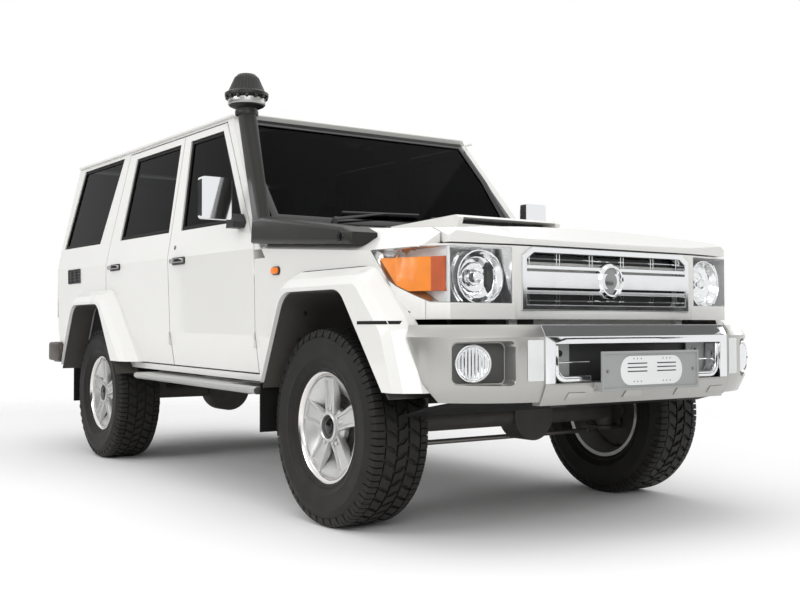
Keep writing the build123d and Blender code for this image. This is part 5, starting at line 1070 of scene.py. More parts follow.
@dataclass
class Headlamps:
    """Clear lenses, faceted bowls, bulb caps and amber indicators of the two headlamps."""

    bowl_y: float = -0.606
    bowl_z: float = 0.957
    bowl_r: float = 0.094
    facets: int = 22
    wall: float = 0.003
    divide_y: float = -0.742
    divider: float = 0.011
    amber_z: tuple[float, float] = (0.902, 1.032)
    amber_tip: tuple[float, float] = (FRONT_AXLE_X + 0.352, FRONT_AXLE_X + 0.478)

    def build(self) -> None:
        """Make the lens shells, the housings, the bowls and the indicators."""
        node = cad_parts["headlamps"]
        lens = Bench.copy("headlamp_lenses", node)
        Bench.outward(lens)
        Bench.pick_faces(lens, lambda c, n: not self._outer(c, n))
        bpy.ops.mesh.delete(type="FACE")
        bpy.ops.object.mode_set(mode="OBJECT")
        Bench.wall(lens, self.wall, -1.0)
        Shop.fit(lens, CLEAR_LENS, CHASSIS, "lamp")
        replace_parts(lens, "headlamps")
        shell = Bench.copy("headlamp_housings", node)
        Bench.outward(shell)
        Bench.pick_faces(shell, self._outer)
        bpy.ops.mesh.delete(type="FACE")
        bpy.ops.object.mode_set(mode="OBJECT")
        Bench.wall(shell, 0.002, -1.0)
        Shop.fit(shell, BOWL_SILVER, CHASSIS, "lamp")
        self._bowl()
        amber = [((self.amber_tip[0], 0, self.amber_z[1]), self._slant()), ((0, 0, self.amber_z[0]), (0, 0, -1)),
                 ((0, 0, self.amber_z[1]), (0, 0, 1)), ((0, self.divide_y - self.divider / 2, 0), (0, 1, 0))]
        Shop.fit_pair(self._slice("indicator", amber, -0.006), "indicator", INDICATOR, CHASSIS, "lamp")
        rib = [((0, self.divide_y - self.divider / 2, 0), (0, -1, 0)),
               ((0, self.divide_y + self.divider / 2, 0), (0, 1, 0))]
        Shop.fit_pair(self._slice("divider", rib, -0.004), "lamp_divider", WHITE_LENS, CHASSIS, "lamp")

    def _slant(self) -> tuple[float, float, float]:
        """Direction in which the indicator's sloping lower edge faces."""
        run = Vector((self.amber_tip[1] - self.amber_tip[0], 0, self.amber_z[0] - self.amber_z[1])).normalized()
        return tuple(Vector((run.z, 0, -run.x)))

    def _bowl(self) -> None:
        """The round bowl with its flat facets, the arcs beside it and the bulb cap."""
        face = Datum.on("headlamps", Vector((4.0, self.bowl_y, self.bowl_z)), Vector((-1, 0, 0)), Vector((0, 1, 0)))
        axis = (face.out * 0.6 + Vector((0.4, 0, 0))).normalized()
        rim = face.origin - axis * 0.020
        r = self.bowl_r
        bowl = Bench.turned("bowl", [(0.018, -0.052), (r * 0.30, -0.049), (r * 0.34, -0.045), (r * 0.55, -0.041),
                                     (r * 0.60, -0.035),
                                     (r * 0.80, -0.026), (r * 0.84, -0.018), (r * 0.96, -0.006), (r, 0.0),
                                     (r + 0.005, -0.001), (r + 0.004, -0.010), (r * 0.76, -0.044), (r * 0.45, -0.058),
                                     (0.018, -0.060)], rim, axis, self.facets, ring=True)
        Shop.fit_pair(bowl, "headlamp_bowl", REFLECTOR, CHASSIS, "lamp")
        arcs = []
        for reach in (1.13, 1.24):
            ring = [(r * reach, -0.006), (r * reach + 0.004, -0.002), (r * reach + 0.008, -0.006),
                    (r * reach + 0.004, -0.012)]
            arc = Bench.turned("arc", ring, rim - axis * 0.006, axis, 64, ring=True)
            Bench.take(arc)
            Bench.pick_vertices(arc, lambda at: at.y > self.bowl_y - r * 0.55 or abs(at.z - self.bowl_z) > 0.092)
            bpy.ops.mesh.delete(type="VERT")
            bpy.ops.object.mode_set(mode="OBJECT")
            arcs.append(arc)
        Shop.fit_pair(Bench.join("lamp_arcs", arcs), "lamp_arcs", CHROME, CHASSIS, "chrome")
        cap = Bench.turned("cap", [(0.0, 0.002), (0.012, 0.0), (0.021, -0.008), (0.022, -0.016), (0.010, -0.020),
                                   (0.009, -0.052), (0.0, -0.052)], rim, axis, 32)
        Shop.fit_pair(cap, "headlamp_bulb_cap", CHROME, CHASSIS, "chrome")

    @staticmethod
    def _outer(centre: Vector, normal: Vector) -> bool:
        """Whether a face is on the lamp's outer skin."""
        side = math.copysign(1.0, centre.y)
        return normal.dot(Vector((0.8, 0.6 * side, 0.0))) > 0.35

    @staticmethod
    def _slice(name: str, planes: Sequence[tuple[tuple, tuple]], sink: float) -> bpy.types.Object:
        """Cut a piece out of a copy of the right-hand lamp's own solid.

        Args:
            name: The piece's name.
            planes: A point and an outward direction of each cut.
            sink: How far the piece's skin moves, less than 0 for inwards.

        Returns:
            The new object.
        """
        piece = Bench.copy(name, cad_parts["headlamps"])
        Bench.outward(piece)
        for place, facing in [((0, 0, 0), (0, 1, 0)), *planes]:
            Bench.take(piece)
            bpy.ops.object.mode_set(mode="EDIT")
            bpy.ops.mesh.select_all(action="SELECT")
            bpy.ops.mesh.bisect(plane_co=place, plane_no=facing, use_fill=True, clear_outer=True)
            bpy.ops.object.mode_set(mode="OBJECT")
        shrink = piece.modifiers.new("inside_lens", "DISPLACE")
        shrink.strength, shrink.mid_level = sink, 0.0
        Bench.take(piece)
        bpy.ops.object.modifier_apply(modifier=shrink.name)
        return piece


@dataclass
class TailLamps:
    """Upright rear lamps: a black back and three lenses each."""

    middle_y: float = -0.812
    low_z: float = 0.850
    high_z: float = 1.110
    wide: float = 0.056
    depth: float = 0.026
    splits: tuple[float, ...] = (0.922, 0.995)

    def build(self) -> None:
        """Make the backs and the lenses."""
        _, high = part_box("tail_lamps")
        tall = self.high_z - self.low_z
        place = Datum(Vector((high.x, self.middle_y, (self.low_z + self.high_z) / 2)), Vector((0, -1, 0)),
                      Vector((0, 0, 1)), Vector((-1, 0, 0)))
        back = Bench.prism("back", place.outline(rounded(self.wide, tall, 0.008)), place.out * 0.012, 0.002)
        twin = Bench.copy("twin", back, MIRROR_Y)
        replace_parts(Shop.fit(Bench.join("tail_lamp_backs", [back, twin]), BLACK, CHASSIS, "black"), "tail_lamps")
        stops = [self.low_z + 0.003, *self.splits, self.high_z - 0.003]
        for (foot, top), (stem, finish) in zip(
            zip(stops, stops[1:]), (("reverse", WHITE_LENS), ("turn", AMBER_LENS), ("stop", RED_LENS))
        ):
            middle = place.at(0, (foot + top) / 2 - place.origin.z, 0.011)
            spot = Datum(middle, place.along, place.up, place.out)
            lens = Bench.prism("lens", spot.outline(rounded(self.wide - 0.005, top - foot - 0.002, 0.006)),
                               place.out * (self.depth - 0.0112), 0.004, 3)
            Shop.fit_pair(lens, f"{stem}_lens", finish, CHASSIS, "tail_lamp")


@dataclass
class Liners:
    """Dark linings of the wheel arches, their fixings, and the seams round the flares."""

    front_arch: tuple[tuple[float, float], ...] = (
        (FRONT_AXLE_X - 0.427, 0.526), (FRONT_AXLE_X - 0.238, 0.919), (FRONT_AXLE_X + 0.213, 0.919),
        (FRONT_AXLE_X + 0.520, 0.526),
    )
    rear_arch: tuple[tuple[float, float], ...] = (
        (REAR_AXLE_X - 0.460, 0.526), (REAR_AXLE_X - 0.233, 0.919), (REAR_AXLE_X + 0.237, 0.919),
        (REAR_AXLE_X + 0.524, 0.526),
    )
    front_seam: tuple[tuple[float, float], ...] = (
        (FRONT_AXLE_X - 0.330, 0.912), (FRONT_AXLE_X - 0.290, 1.005), (FRONT_AXLE_X + 0.350, 1.005),
        (FRONT_AXLE_X + 0.520, 0.829),
    )
    round_by: float = 0.078
    outer_y: float = -0.915
    inner_y: float = -0.500
    house_y: float = -0.785
    wall_z: float = 0.800
    seam: float = 0.0035
    gap_x: tuple[float, float] = (FRONT_AXLE_X + 0.345, FRONT_AXLE_X + 0.535)
    gap_z: float = 0.789
    gap_tall: float = 0.012
    gap_steps: int = 19
    gap_sink: float = 0.003
    gap_thick: float = 0.0042

    def build(self) -> None:
        """Make the linings, the walls over the tyres, the fixings and the seams."""
        strip = self._strip(self.front_arch, self.inner_y)
        top = self.front_arch[1][1]
        screen = [(self.front_arch[1][0] - 0.050, self.wall_z), (self.front_arch[1][0] + 0.004, top),
                  (self.front_arch[2][0], top), (self.front_arch[2][0] + 0.090, self.wall_z)]
        wall = Bench.prism("wall", [Vector((x, self.inner_y, z)) for x, z in screen], Vector((0, -0.004, 0)))
        Shop.fit_pair(Bench.join("arch_liner", [strip, wall]), "front_liner", LINER_GREY, CHASSIS, "black")
        Shop.fit_pair(self._strip(self.rear_arch, self.house_y), "rear_liner", LINER_GREY, CHASSIS, "black")
        foot, head = (Vector((x, -0.800, z)) for x, z in self.front_arch[:2])
        slope = (head - foot).normalized()
        out = Vector((slope.z, 0, -slope.x))
        clips = [Bench.turned("clip", [(0.0, 0.004), (0.006, 0.0035), (0.011, 0.001), (0.011, -0.001)],
                              foot + slope * along + out * 0.0014, out, 16) for along in (0.075, 0.225, 0.345)]
        Shop.fit_pair(Bench.join("liner_clips", clips), "liner_clips", BLACK, CHASSIS, "black")
        self._seam("front_flare_seam", "front_wings", self.front_seam)
        self._gap()

    def _strip(self, arch: Sequence[tuple[float, float]], inner_y: float) -> bpy.types.Object:
        """A strip that follows an arch's opening and reaches inwards."""
        line = filleted(arch, self.round_by)
        strip = Bench.draw("strip", [Vector((x, self.outer_y, z)) for x, z in line], fill=False)
        bpy.ops.object.mode_set(mode="EDIT")
        bpy.ops.mesh.select_all(action="SELECT")
        bpy.ops.mesh.extrude_region_move(TRANSFORM_OT_translate={"value": (0, inner_y - self.outer_y, 0)})
        bpy.ops.object.mode_set(mode="OBJECT")
        Bench.wall(strip, 0.003, 0.0)
        return strip

    def _gap(self) -> None:
        """The dark joint across a front flare, level with the bumper's top."""
        first, last = self.gap_x
        line = [(first + (last - first) * i / self.gap_steps, self.gap_z) for i in range(self.gap_steps + 1)]
        low = [Datum.on_side("arch_flares", x, z).origin for x, z in line]
        high = [Datum.on_side("arch_flares", x, z + self.gap_tall).origin for x, z in line]
        sink = Vector((0, self.gap_sink, 0))
        parts = []
        for i in range(self.gap_steps):
            patch = [at + sink for at in (low[i], low[i + 1], high[i + 1], high[i])]
            parts.append(Bench.prism("joint", patch, Vector((0, -self.gap_thick, 0))))
        joint = Bench.join("flare_joint", parts)
        Shop.fit_pair(joint, "flare_joint", RUBBER, CHASSIS, "rubber")

    def _seam(self, name: str, node: str, line: Sequence[tuple[float, float]]) -> None:
        """A dark line on a panel, round the outside of a flare."""
        inner = filleted(line, 0.105)
        outer = []
        for before, here, after in zip([inner[0], *inner], inner, [*inner[1:], inner[-1]]):
            run = (Vector(after) - Vector(before)).normalized()
            outer.append((here[0] - run.y * self.seam, here[1] + run.x * self.seam))
        rim = [Datum.on_side(node, x, z).origin for x, z in [*inner, *reversed(outer)]]
        ribbon = Bench.prism(name, [at + Vector((0, 0.001, 0)) for at in rim], Vector((0, -0.0022, 0)))
        Shop.fit_pair(ribbon, name, RUBBER, CHASSIS, "rubber")


@dataclass
class Snorkel:
    """Ribs, band and collar of the raised air intake, and a black disc that paints the shade of its inlet hole."""

    cap_x: float = FRONT_AXLE_X - 0.790
    cap_y: float = -0.812
    base_z: float = 1.770
    ribs: int = 30
    nubs: int = 14

    def build(self) -> None:
        """Make the cap's ribs, nubs and band, the collar and the hole's rim."""
        foot = Vector((self.cap_x, self.cap_y, self.base_z))
        up = Vector((0, 0, 1))
        side = [(0.0835, 0.0955), (0.0555, 0.1570), (0.0520, 0.1560), (0.0790, 0.0940)]
        rib = Bench.prism("rib", [foot + Vector((r, -0.0016, z)) for r, z in side], Vector((0, 0.0032, 0)))
        Bench.round_copies(rib, self.ribs, foot, up)
        rib.name = rib.data.name = "intake_ribs"
        Shop.fit(rib, BLACK, CHASSIS, "black")
        nub = Bench.prism("nub", [foot + Vector((r, -0.007, z)) for r, z in (
            (0.086, 0.064), (0.0985, 0.0695), (0.0985, 0.060), (0.088, 0.052))], Vector((0, 0.014, 0)), 0.0015)
        Bench.round_copies(nub, self.nubs, foot, up)
        nub.name = nub.data.name = "intake_nubs"
        Shop.fit(nub, BLACK, CHASSIS, "black")
        band = [(0.0800, 0.0300), (0.0835, 0.0300), (0.0855, 0.0330), (0.0862, 0.0440), (0.0848, 0.0455),
                (0.0848, 0.0480),
                (0.0862, 0.0495), (0.0865, 0.0580), (0.0820, 0.0590)]
        Shop.fit(Bench.turned("intake_band", band, foot, up, 56, ring=True), BAND_SILVER, CHASSIS, "silver")
        rim = [(0.084, 0.0850), (0.0995, 0.0842), (0.0995, 0.0800), (0.084, 0.0800)]
        Shop.fit(Bench.turned("intake_rim", rim, foot, up, 56, ring=True), BAND_SILVER, CHASSIS, "silver")
        collar = [(0.0490, -0.016), (0.0525, -0.016), (0.0535, -0.012), (0.0535, 0.001), (0.0525, 0.005),
                  (0.0490, 0.005)]
        Shop.fit(Bench.turned("intake_collar", collar, foot, up, 40, ring=True), SNORKEL_GREY, CHASSIS, "grey")
        # painted shade: a gloss black disc with a raised rim, standing for the shade inside the inlet hole
        spot = Datum.on("snorkel", Vector((FRONT_AXLE_X + 0.155, -1.5, 1.124)), Vector((0, 1, 0)), Vector((1, 0, 0)))
        hole = Bench.turned("intake_hole", [(0.0, 0.0004), (0.013, 0.0008), (0.015, 0.003), (0.019, 0.003),
                                            (0.021, -0.001)],
                            spot.origin, spot.out, 28)
        Shop.fit(hole, GLOSS_BLACK, CHASSIS, "black")


@dataclass
class Steps:
    """Rubber treads of the side steps."""

    x: tuple[float, float] = (FRONT_AXLE_X - 1.930, FRONT_AXLE_X - 0.560)
    top_z: float = 0.524
    rows: tuple[float, ...] = (-0.790, -0.825, -0.860)
    wide: float = 0.022

    def build(self) -> None:
        """Make the treads."""
        strips = []
        for y in self.rows:
            foot = [Vector((self.x[0], y + a, self.top_z + b)) for a, b in (
                (-self.wide / 2, -0.002), (self.wide / 2, -0.002), (self.wide / 2 - 0.003, 0.0025),
                (-self.wide / 2 + 0.003, 0.0025))]
            strips.append(Bench.prism("strip", foot, Vector((self.x[1] - self.x[0], 0, 0))))
        Shop.fit_pair(Bench.join("step_treads", strips), "step_treads", RUBBER, CHASSIS, "rubber")


@dataclass
class BonnetTrim:
    """Mesh in the scoop's mouth and the washer jets."""

    mouth_x: float = FRONT_AXLE_X + 0.034
    mouth_z: tuple[float, float] = (1.2165, 1.2370)
    half: float = 0.258
    bars: int = 26

    def build(self) -> None:
        """Make the mesh and the jets."""
        low, high = self.mouth_z
        plate = [Vector((self.mouth_x, -self.half, z)) for z in (low, high)]
        plate += [Vector((self.mouth_x, self.half, z)) for z in (high, low)]
        pieces = [Bench.prism("plate", plate, Vector((-0.003, 0, 0)))]
        for bar in range(self.bars):
            y = self.half * (2 * (bar + 0.5) / self.bars - 1)
            foot = [Vector((self.mouth_x + a, y + b, low)) for a, b in circle(0.0018, 6)]
            pieces.append(Bench.prism("bar", foot, Vector((0, 0, high - low))))
        Shop.fit(Bench.join("scoop_mesh", pieces), BLACK, "bonnet", "black")
        for number, y in enumerate((-0.36, 0.36)):
            spot = Datum.on("bonnet", Vector((FRONT_AXLE_X - 0.30, y, 2.0)), Vector((0, 0, -1)), Vector((1, 0, 0)))
            jet = Bench.prism("jet", spot.outline(rounded(0.030, 0.016, 0.006)), spot.out * 0.009, 0.003, 2)
            jet.name = jet.data.name = f"washer_jet_{number}"
            Shop.fit(jet, BLACK, "bonnet", "black")


@dataclass
class DoorCards:
    """Inner panels, armrests, pulls and winders of the side doors."""

    inner_y: float = -0.775
    thick: float = 0.009
    cards: tuple[tuple[str, float, float, float], ...] = (
        ("front", FRONT_AXLE_X - 1.545, FRONT_AXLE_X - 0.745, FRONT_AXLE_X - 1.400),
        ("rear", FRONT_AXLE_X - 2.250, FRONT_AXLE_X - 1.755, FRONT_AXLE_X - 2.160),
    )
    low_z: float = 0.715
    high_z: float = 1.150

    def build(self) -> None:
        """Make the panel and the fittings of each door."""
        for row, rear, front, rest in self.cards:
            middle = ((rear + front) / 2, (self.low_z + self.high_z) / 2)
            place = Datum(Vector((middle[0], self.inner_y - 0.001, body_z(*middle))), Vector((1, 0, 0)),
                          Vector((0, 0, 1)),
                          Vector((0, 1, 0)))
            card = Bench.prism("card", place.outline(rounded(front - rear, self.high_z - self.low_z, 0.05)),
                               place.out * self.thick, 0.004)
            Bench.pick_faces(card, lambda c, n: n.y > 0.9)
            bpy.ops.mesh.inset(thickness=0.045)
            bpy.ops.mesh.inset(thickness=0.006, depth=-0.004)
            bpy.ops.object.mode_set(mode="OBJECT")
            Shop.fit_pair(card, f"door_card_{row}", TRIM, row + "_door_{side}", "trim")
            grip = rest - middle[0]
            shape = [(grip, 0.0), (grip + 0.30, 0.0), (grip + 0.30, 0.016), (grip + 0.24, 0.034), (grip, 0.034)]
            arm = Bench.prism("arm", [place.at(u, v - 0.02, self.thick - 0.003) for u, v in shape], place.out * 0.052,
                              0.010, 3)
            pull = Bench.prism("pull", place.outline([(grip + 0.31 + a, 0.075 + b)
                                                      for a, b in rounded(0.10, 0.042, 0.012)],
                                                     self.thick - 0.003), place.out * 0.010, 0.003)
            Shop.fit_pair(Bench.join("rest", [arm, pull]), f"armrest_{row}", BLACK, row + "_door_{side}", "trim")
            hub = place.at(grip + 0.17, -0.115, self.thick - 0.002)
            boss = Bench.turned("boss", [(0.0, 0.022), (0.012, 0.021), (0.020, 0.010), (0.022, 0.0)], hub, place.out,
                                24)
            crank = Bench.prism("crank", [hub + place.along * u + place.up * v + place.out * 0.014 for u, v in (
                (-0.008, -0.010), (0.008, -0.010), (0.075, 0.030), (0.070, 0.042), (0.058, 0.038))], place.out * 0.008,
                0.002)
            knob = Bench.turned("knob", [(0.0, 0.040), (0.008, 0.039), (0.010, 0.030), (0.008, 0.0)],
                                hub + place.along * 0.066 + place.up * 0.035 + place.out * 0.016, place.out, 16)
            Shop.fit_pair(Bench.join("winder", [boss, crank, knob]), f"winder_{row}", BLACK, row + "_door_{side}",
                          "black")


@dataclass
class RearTrim:
    """Handle, lamp holder and plate of the rear leaves, and the spare wheel's nut."""

    handle: tuple[float, float] = (0.055, 1.030)
    plate: tuple[float, float] = (0.455, 0.985)

    def build(self) -> None:
        """Make the handle on the wide leaf and the blank plate on the narrow one."""
        aim, along = Vector((1, 0, 0)), Vector((0, -1, 0))
        spot = Datum.on("barn_door_right", Vector((-4.0, *self.handle)), aim, along)
        cup = Bench.prism("cup", spot.outline(rounded(0.125, 0.062, 0.016)), spot.out * 0.005, 0.002)
        Shop.fit(cup, BLACK, "rear_leaf_right", "black")
        cup.name = cup.data.name = "leaf_handle_cup"
        bow = [(-0.052, 0.003), (-0.050, 0.020), (-0.034, 0.028), (0.034, 0.028), (0.050, 0.020), (0.052, 0.003),
               (0.036, 0.003), (0.028, 0.018), (-0.028, 0.018), (-0.036, 0.003)]
        grip = Bench.prism("leaf_handle", [spot.at(u, -0.010, w) for u, w in bow], spot.up * 0.020, 0.004, 3)
        Shop.fit(grip, DARK_CHROME, "rear_leaf_right", "chrome")
        spot = Datum.on("barn_door_left", Vector((-4.0, *self.plate)), aim, along)
        base = Bench.prism("base", spot.outline(rounded(0.400, 0.150, 0.010)), spot.out * 0.006, 0.002)
        hood = Bench.prism("hood", [spot.at(-0.110, v, w)
                                    for v, w in ((0.062, 0.0), (0.112, 0.0), (0.106, 0.030), (0.070, 0.034))],
                           spot.along * 0.220, 0.004)
        Shop.fit(Bench.join("rear_plate_base", [base, hood]), BLACK, "rear_leaf_left", "black")
        board = Bench.prism("rear_blank_plate", spot.outline(rounded(0.370, 0.118, 0.008), 0.005), spot.out * 0.003,
                            0.001)
        Shop.fit(board, PLATE_WHITE, "rear_leaf_left", "grey")
        low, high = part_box("spare_tyre")
        middle = (low + high) / 2
        end = [(-2.172, 0.566), (-1.960, 0.560), (-1.925, 0.600), (-1.925, 0.655), (-1.950, 0.688), (-2.172, 0.688)]
        cap = Bench.prism("end", [Vector((x, -0.812, z)) for x, z in end], Vector((0, -0.044, 0)), 0.016, 4)
        Shop.fit_pair(cap, "rear_bumper_end", BUMPER_BROWN, CHASSIS, "black")
        nut = Bench.turned("spare_nut", [(0.0, 0.095), (0.010, 0.094), (0.016, 0.086), (0.016, 0.070), (0.030, 0.066),
                                         (0.030, 0.030)],
                           middle, Vector((-1, 0, 0)), 6)
        Shop.fit(nut, STEEL, "rear_leaf_right", "steel", 20)


@dataclass
class Cabin:
    """Controls and covers in front of the driver: binnacle, vents, glove box, wheel pad, levers and console."""

    wheel: tuple[float, float, float] = (FRONT_AXLE_X - 0.990, -0.370, 1.105)
    column: tuple[float, float, float] = (-0.85, 0.0, 0.50)
    floor_z: float = 0.6403
    tunnel_x: tuple[float, float] = (FRONT_AXLE_X - 1.420, FRONT_AXLE_X - 0.930)

    def build(self) -> None:
        """Make the dashboard's fittings, the wheel's pad and the console with its levers."""
        axis = Vector(self.column).normalized()
        hub = Vector(self.wheel)
        pad = Bench.turned("wheel_pad", [(0.0, 0.016), (0.050, 0.014), (0.068, 0.004), (0.070, -0.016), (0.0, -0.020)],
                           hub, axis, 32)
        Shop.fit(pad, TRIM, CHASSIS, "trim")
        rim = [(0.185 + a, b) for a, b in circle(0.0155, 10)]
        Shop.fit(Bench.turned("wheel_grip", rim, hub, axis, 56, ring=True), BLACK, CHASSIS, "trim")
        back = Datum.on("dashboard", Vector((-3.0, 0.0, 1.12)), Vector((1, 0, 0)), Vector((0, -1, 0)))
        hood = [(-0.135, 0.030), (0.135, 0.030), (0.120, 0.098), (-0.120, 0.098)]
        hood_at = Datum(back.at(0.370, 0.0), back.along, back.up, back.out)
        binnacle = Bench.prism("binnacle", hood_at.outline(hood, -0.060), back.out * 0.082, 0.016, 3)
        Shop.fit(binnacle, BLACK, CHASSIS, "trim")
        dials = []
        for u, r in ((-0.062, 0.044), (0.062, 0.044)):
            dials.append(Bench.turned("dial", [(0.0, 0.0005), (r * 0.9, 0.0008), (r, 0.004), (r + 0.003, -0.003)],
                                      hood_at.at(u, 0.062, 0.0218), back.out, 32))
        Shop.fit(Bench.join("dials", dials), GLOSS_BLACK, CHASSIS, "black")
        vents = []
        for u in (-0.60, -0.16, 0.06, 0.60):
            spot = Datum(back.at(u, 0.010), back.along, back.up, back.out)
            vents.append(Bench.prism("vent", spot.outline(rounded(0.105, 0.060, 0.010), -0.002), back.out * 0.008,
                                     0.002))
            for row in range(4):
                v = -0.021 + row * 0.014
                vents.append(Bench.prism("slat", spot.outline([(-0.046, v - 0.002), (0.046, v - 0.002),
                                                               (0.046, v + 0.002),
                                                               (-0.046, v + 0.002)], 0.005), back.out * 0.006))
        Shop.fit(Bench.join("dash_vents", vents), BLACK, CHASSIS, "black")
        lid = Datum(back.at(-0.37, -0.030), back.along, back.up, back.out)
        box = Bench.prism("glove_lid", lid.outline(rounded(0.32, 0.075, 0.012), -0.002), back.out * 0.008, 0.003)
        Shop.fit(box, TRIM, CHASSIS, "trim")
        self._console()

    def _console(self) -> None:
        """The console on the tunnel, with the gear and transfer levers."""
        rear, front = self.tunnel_x
        base = body_z(front, self.floor_z) - 0.004
        shape = [(rear, base - 0.002), (front, base - 0.002), (front, base + 0.235), (front - 0.120, base + 0.215),
                 (front - 0.200, base + 0.130), (rear, base + 0.150)]
        body = Bench.prism("console", [Vector((x, -0.100, z)) for x, z in shape], Vector((0, 0.200, 0)), 0.014, 3)
        Shop.fit(body, TRIM, CHASSIS, "trim")
        for name, x, y, tall in (("gear_lever", front - 0.160, -0.030, 0.230),
                                 ("transfer_lever", front - 0.215, 0.040, 0.150)):
            foot = Vector((x, y, base + 0.125))
            stick = Bench.turned(name, [(0.0, 0.0), (0.040, 0.0), (0.030, 0.045), (0.008, 0.075), (0.007, tall),
                                        (0.016, tall + 0.008),
                                        (0.021, tall + 0.026), (0.016, tall + 0.044), (0.0, tall + 0.048)],
                                 foot, Vector((-0.12, 0, 1)), 24)
            Shop.fit(stick, BLACK, CHASSIS, "black")


@dataclass
class EngineBay:
    """What shows under the lifted bonnet: cover, air box with its hose, battery and tank."""

    block_x: tuple[float, float] = (FRONT_AXLE_X - 0.420, FRONT_AXLE_X + 0.300)
    block_top: float = 1.055

    def build(self) -> None:
        """Make the engine's cover and the parts round it."""
        rear, front = self.block_x
        cover = Bench.prism("cover", [Vector((x, y, self.block_top - 0.003)) for x, y in (
            (rear + 0.04, -0.130), (front - 0.05, -0.130), (front - 0.02, -0.090), (front - 0.02, 0.090),
            (front - 0.05, 0.130),
            (rear + 0.04, 0.130))], Vector((0, 0, 0.036)), 0.010, 3)
        ribs = [Bench.prism("rib", [Vector((rear + 0.07, y + a, self.block_top + 0.030 + b)) for a, b in (
            (-0.007, 0.0), (0.007, 0.0), (0.005, 0.009), (-0.005, 0.009))], Vector((front - rear - 0.15, 0, 0)))
            for y in (-0.075, -0.025, 0.025, 0.075)]
        Shop.fit(Bench.join("engine_cover", [cover, *ribs]), ENGINE_ALLOY, CHASSIS, "iron")
        filler = Bench.turned("oil_cap", [(0.0, 0.030), (0.022, 0.029), (0.026, 0.022), (0.026, 0.0)],
                              Vector((front - 0.10, 0.170, self.block_top - 0.002)), Vector((0, 0, 1)), 20)
        Shop.fit(filler, BLACK, CHASSIS, "black")
        self._stand("battery", BLACK, (front + 0.135, front + 0.310), (0.330, 0.540), (0.790, 0.985))
        self._stand("air_box", BLACK, (front + 0.105, front + 0.330), (-0.560, -0.330), (0.780, 1.010))
        self._stand("coolant_tank", TANK_WHITE, (rear - 0.040, rear + 0.090), (0.350, 0.480), (0.820, 1.000))
        ring = [Vector((front + 0.110, -0.400 + a, 0.930 + b)) for a, b in circle(0.042, 16)]
        duct = Bench.swept("air_duct", ring, [Vector((0, 0, 0)), Vector((-0.06, 0.03, 0.02)),
                                              Vector((-0.13, 0.09, 0.03)),
                                              Vector((-0.20, 0.18, 0.02))])
        Shop.fit(duct, RUBBER, CHASSIS, "rubber")

    @staticmethod
    def _stand(name: str, finish: Finish, x: tuple[float, float], y: tuple[float, float],
               z: tuple[float, float]) -> None:
        """A box with a plain lid and two knobs on a bracket that reaches down to the frame.

        Args:
            name: The piece's name.
            finish: Its finish.
            x: Rear and front.
            y: Right and left.
            z: Bottom and top.
        """
        middle = Vector(((x[0] + x[1]) / 2, (y[0] + y[1]) / 2, z[0]))
        place = Datum(middle, Vector((1, 0, 0)), Vector((0, 1, 0)), Vector((0, 0, 1)))
        wide, deep, tall = x[1] - x[0], y[1] - y[0], z[1] - z[0]
        case = Bench.prism("case", place.outline(rounded(wide, deep, 0.012)), place.out * (tall - 0.020), 0.005)
        lid = Bench.prism("lid", place.outline(rounded(wide + 0.010, deep + 0.010, 0.014), tall - 0.024),
                          place.out * 0.024, 0.005)
        knobs = [Bench.turned("knob", [(0.0, 0.016), (0.011, 0.015), (0.013, 0.010), (0.013, -0.004)],
                              place.at(side * wide * 0.3, deep * 0.25, tall), place.out, 16) for side in (-1, 1)]
        Shop.fit(Bench.join(name, [case, lid, *knobs]), finish, CHASSIS, "black")
        toward = math.copysign(0.425, y[0])
        foot = place.outline(rounded(wide * 0.6, 0.060, 0.010))
        leg = Bench.prism("leg", [Vector((p.x, toward + p.y - middle.y, 0.640)) for p in foot],
                          Vector((0, 0, z[0] - 0.636)), 0.003)
        tray = Bench.prism("tray", place.outline(rounded(wide + 0.016, deep + 0.016, 0.012), -0.008),
                           place.out * 0.012, 0.002)
        Shop.fit(Bench.join(f"{name}_tray", [leg, tray]), FRAME_BLACK, CHASSIS, "frame")


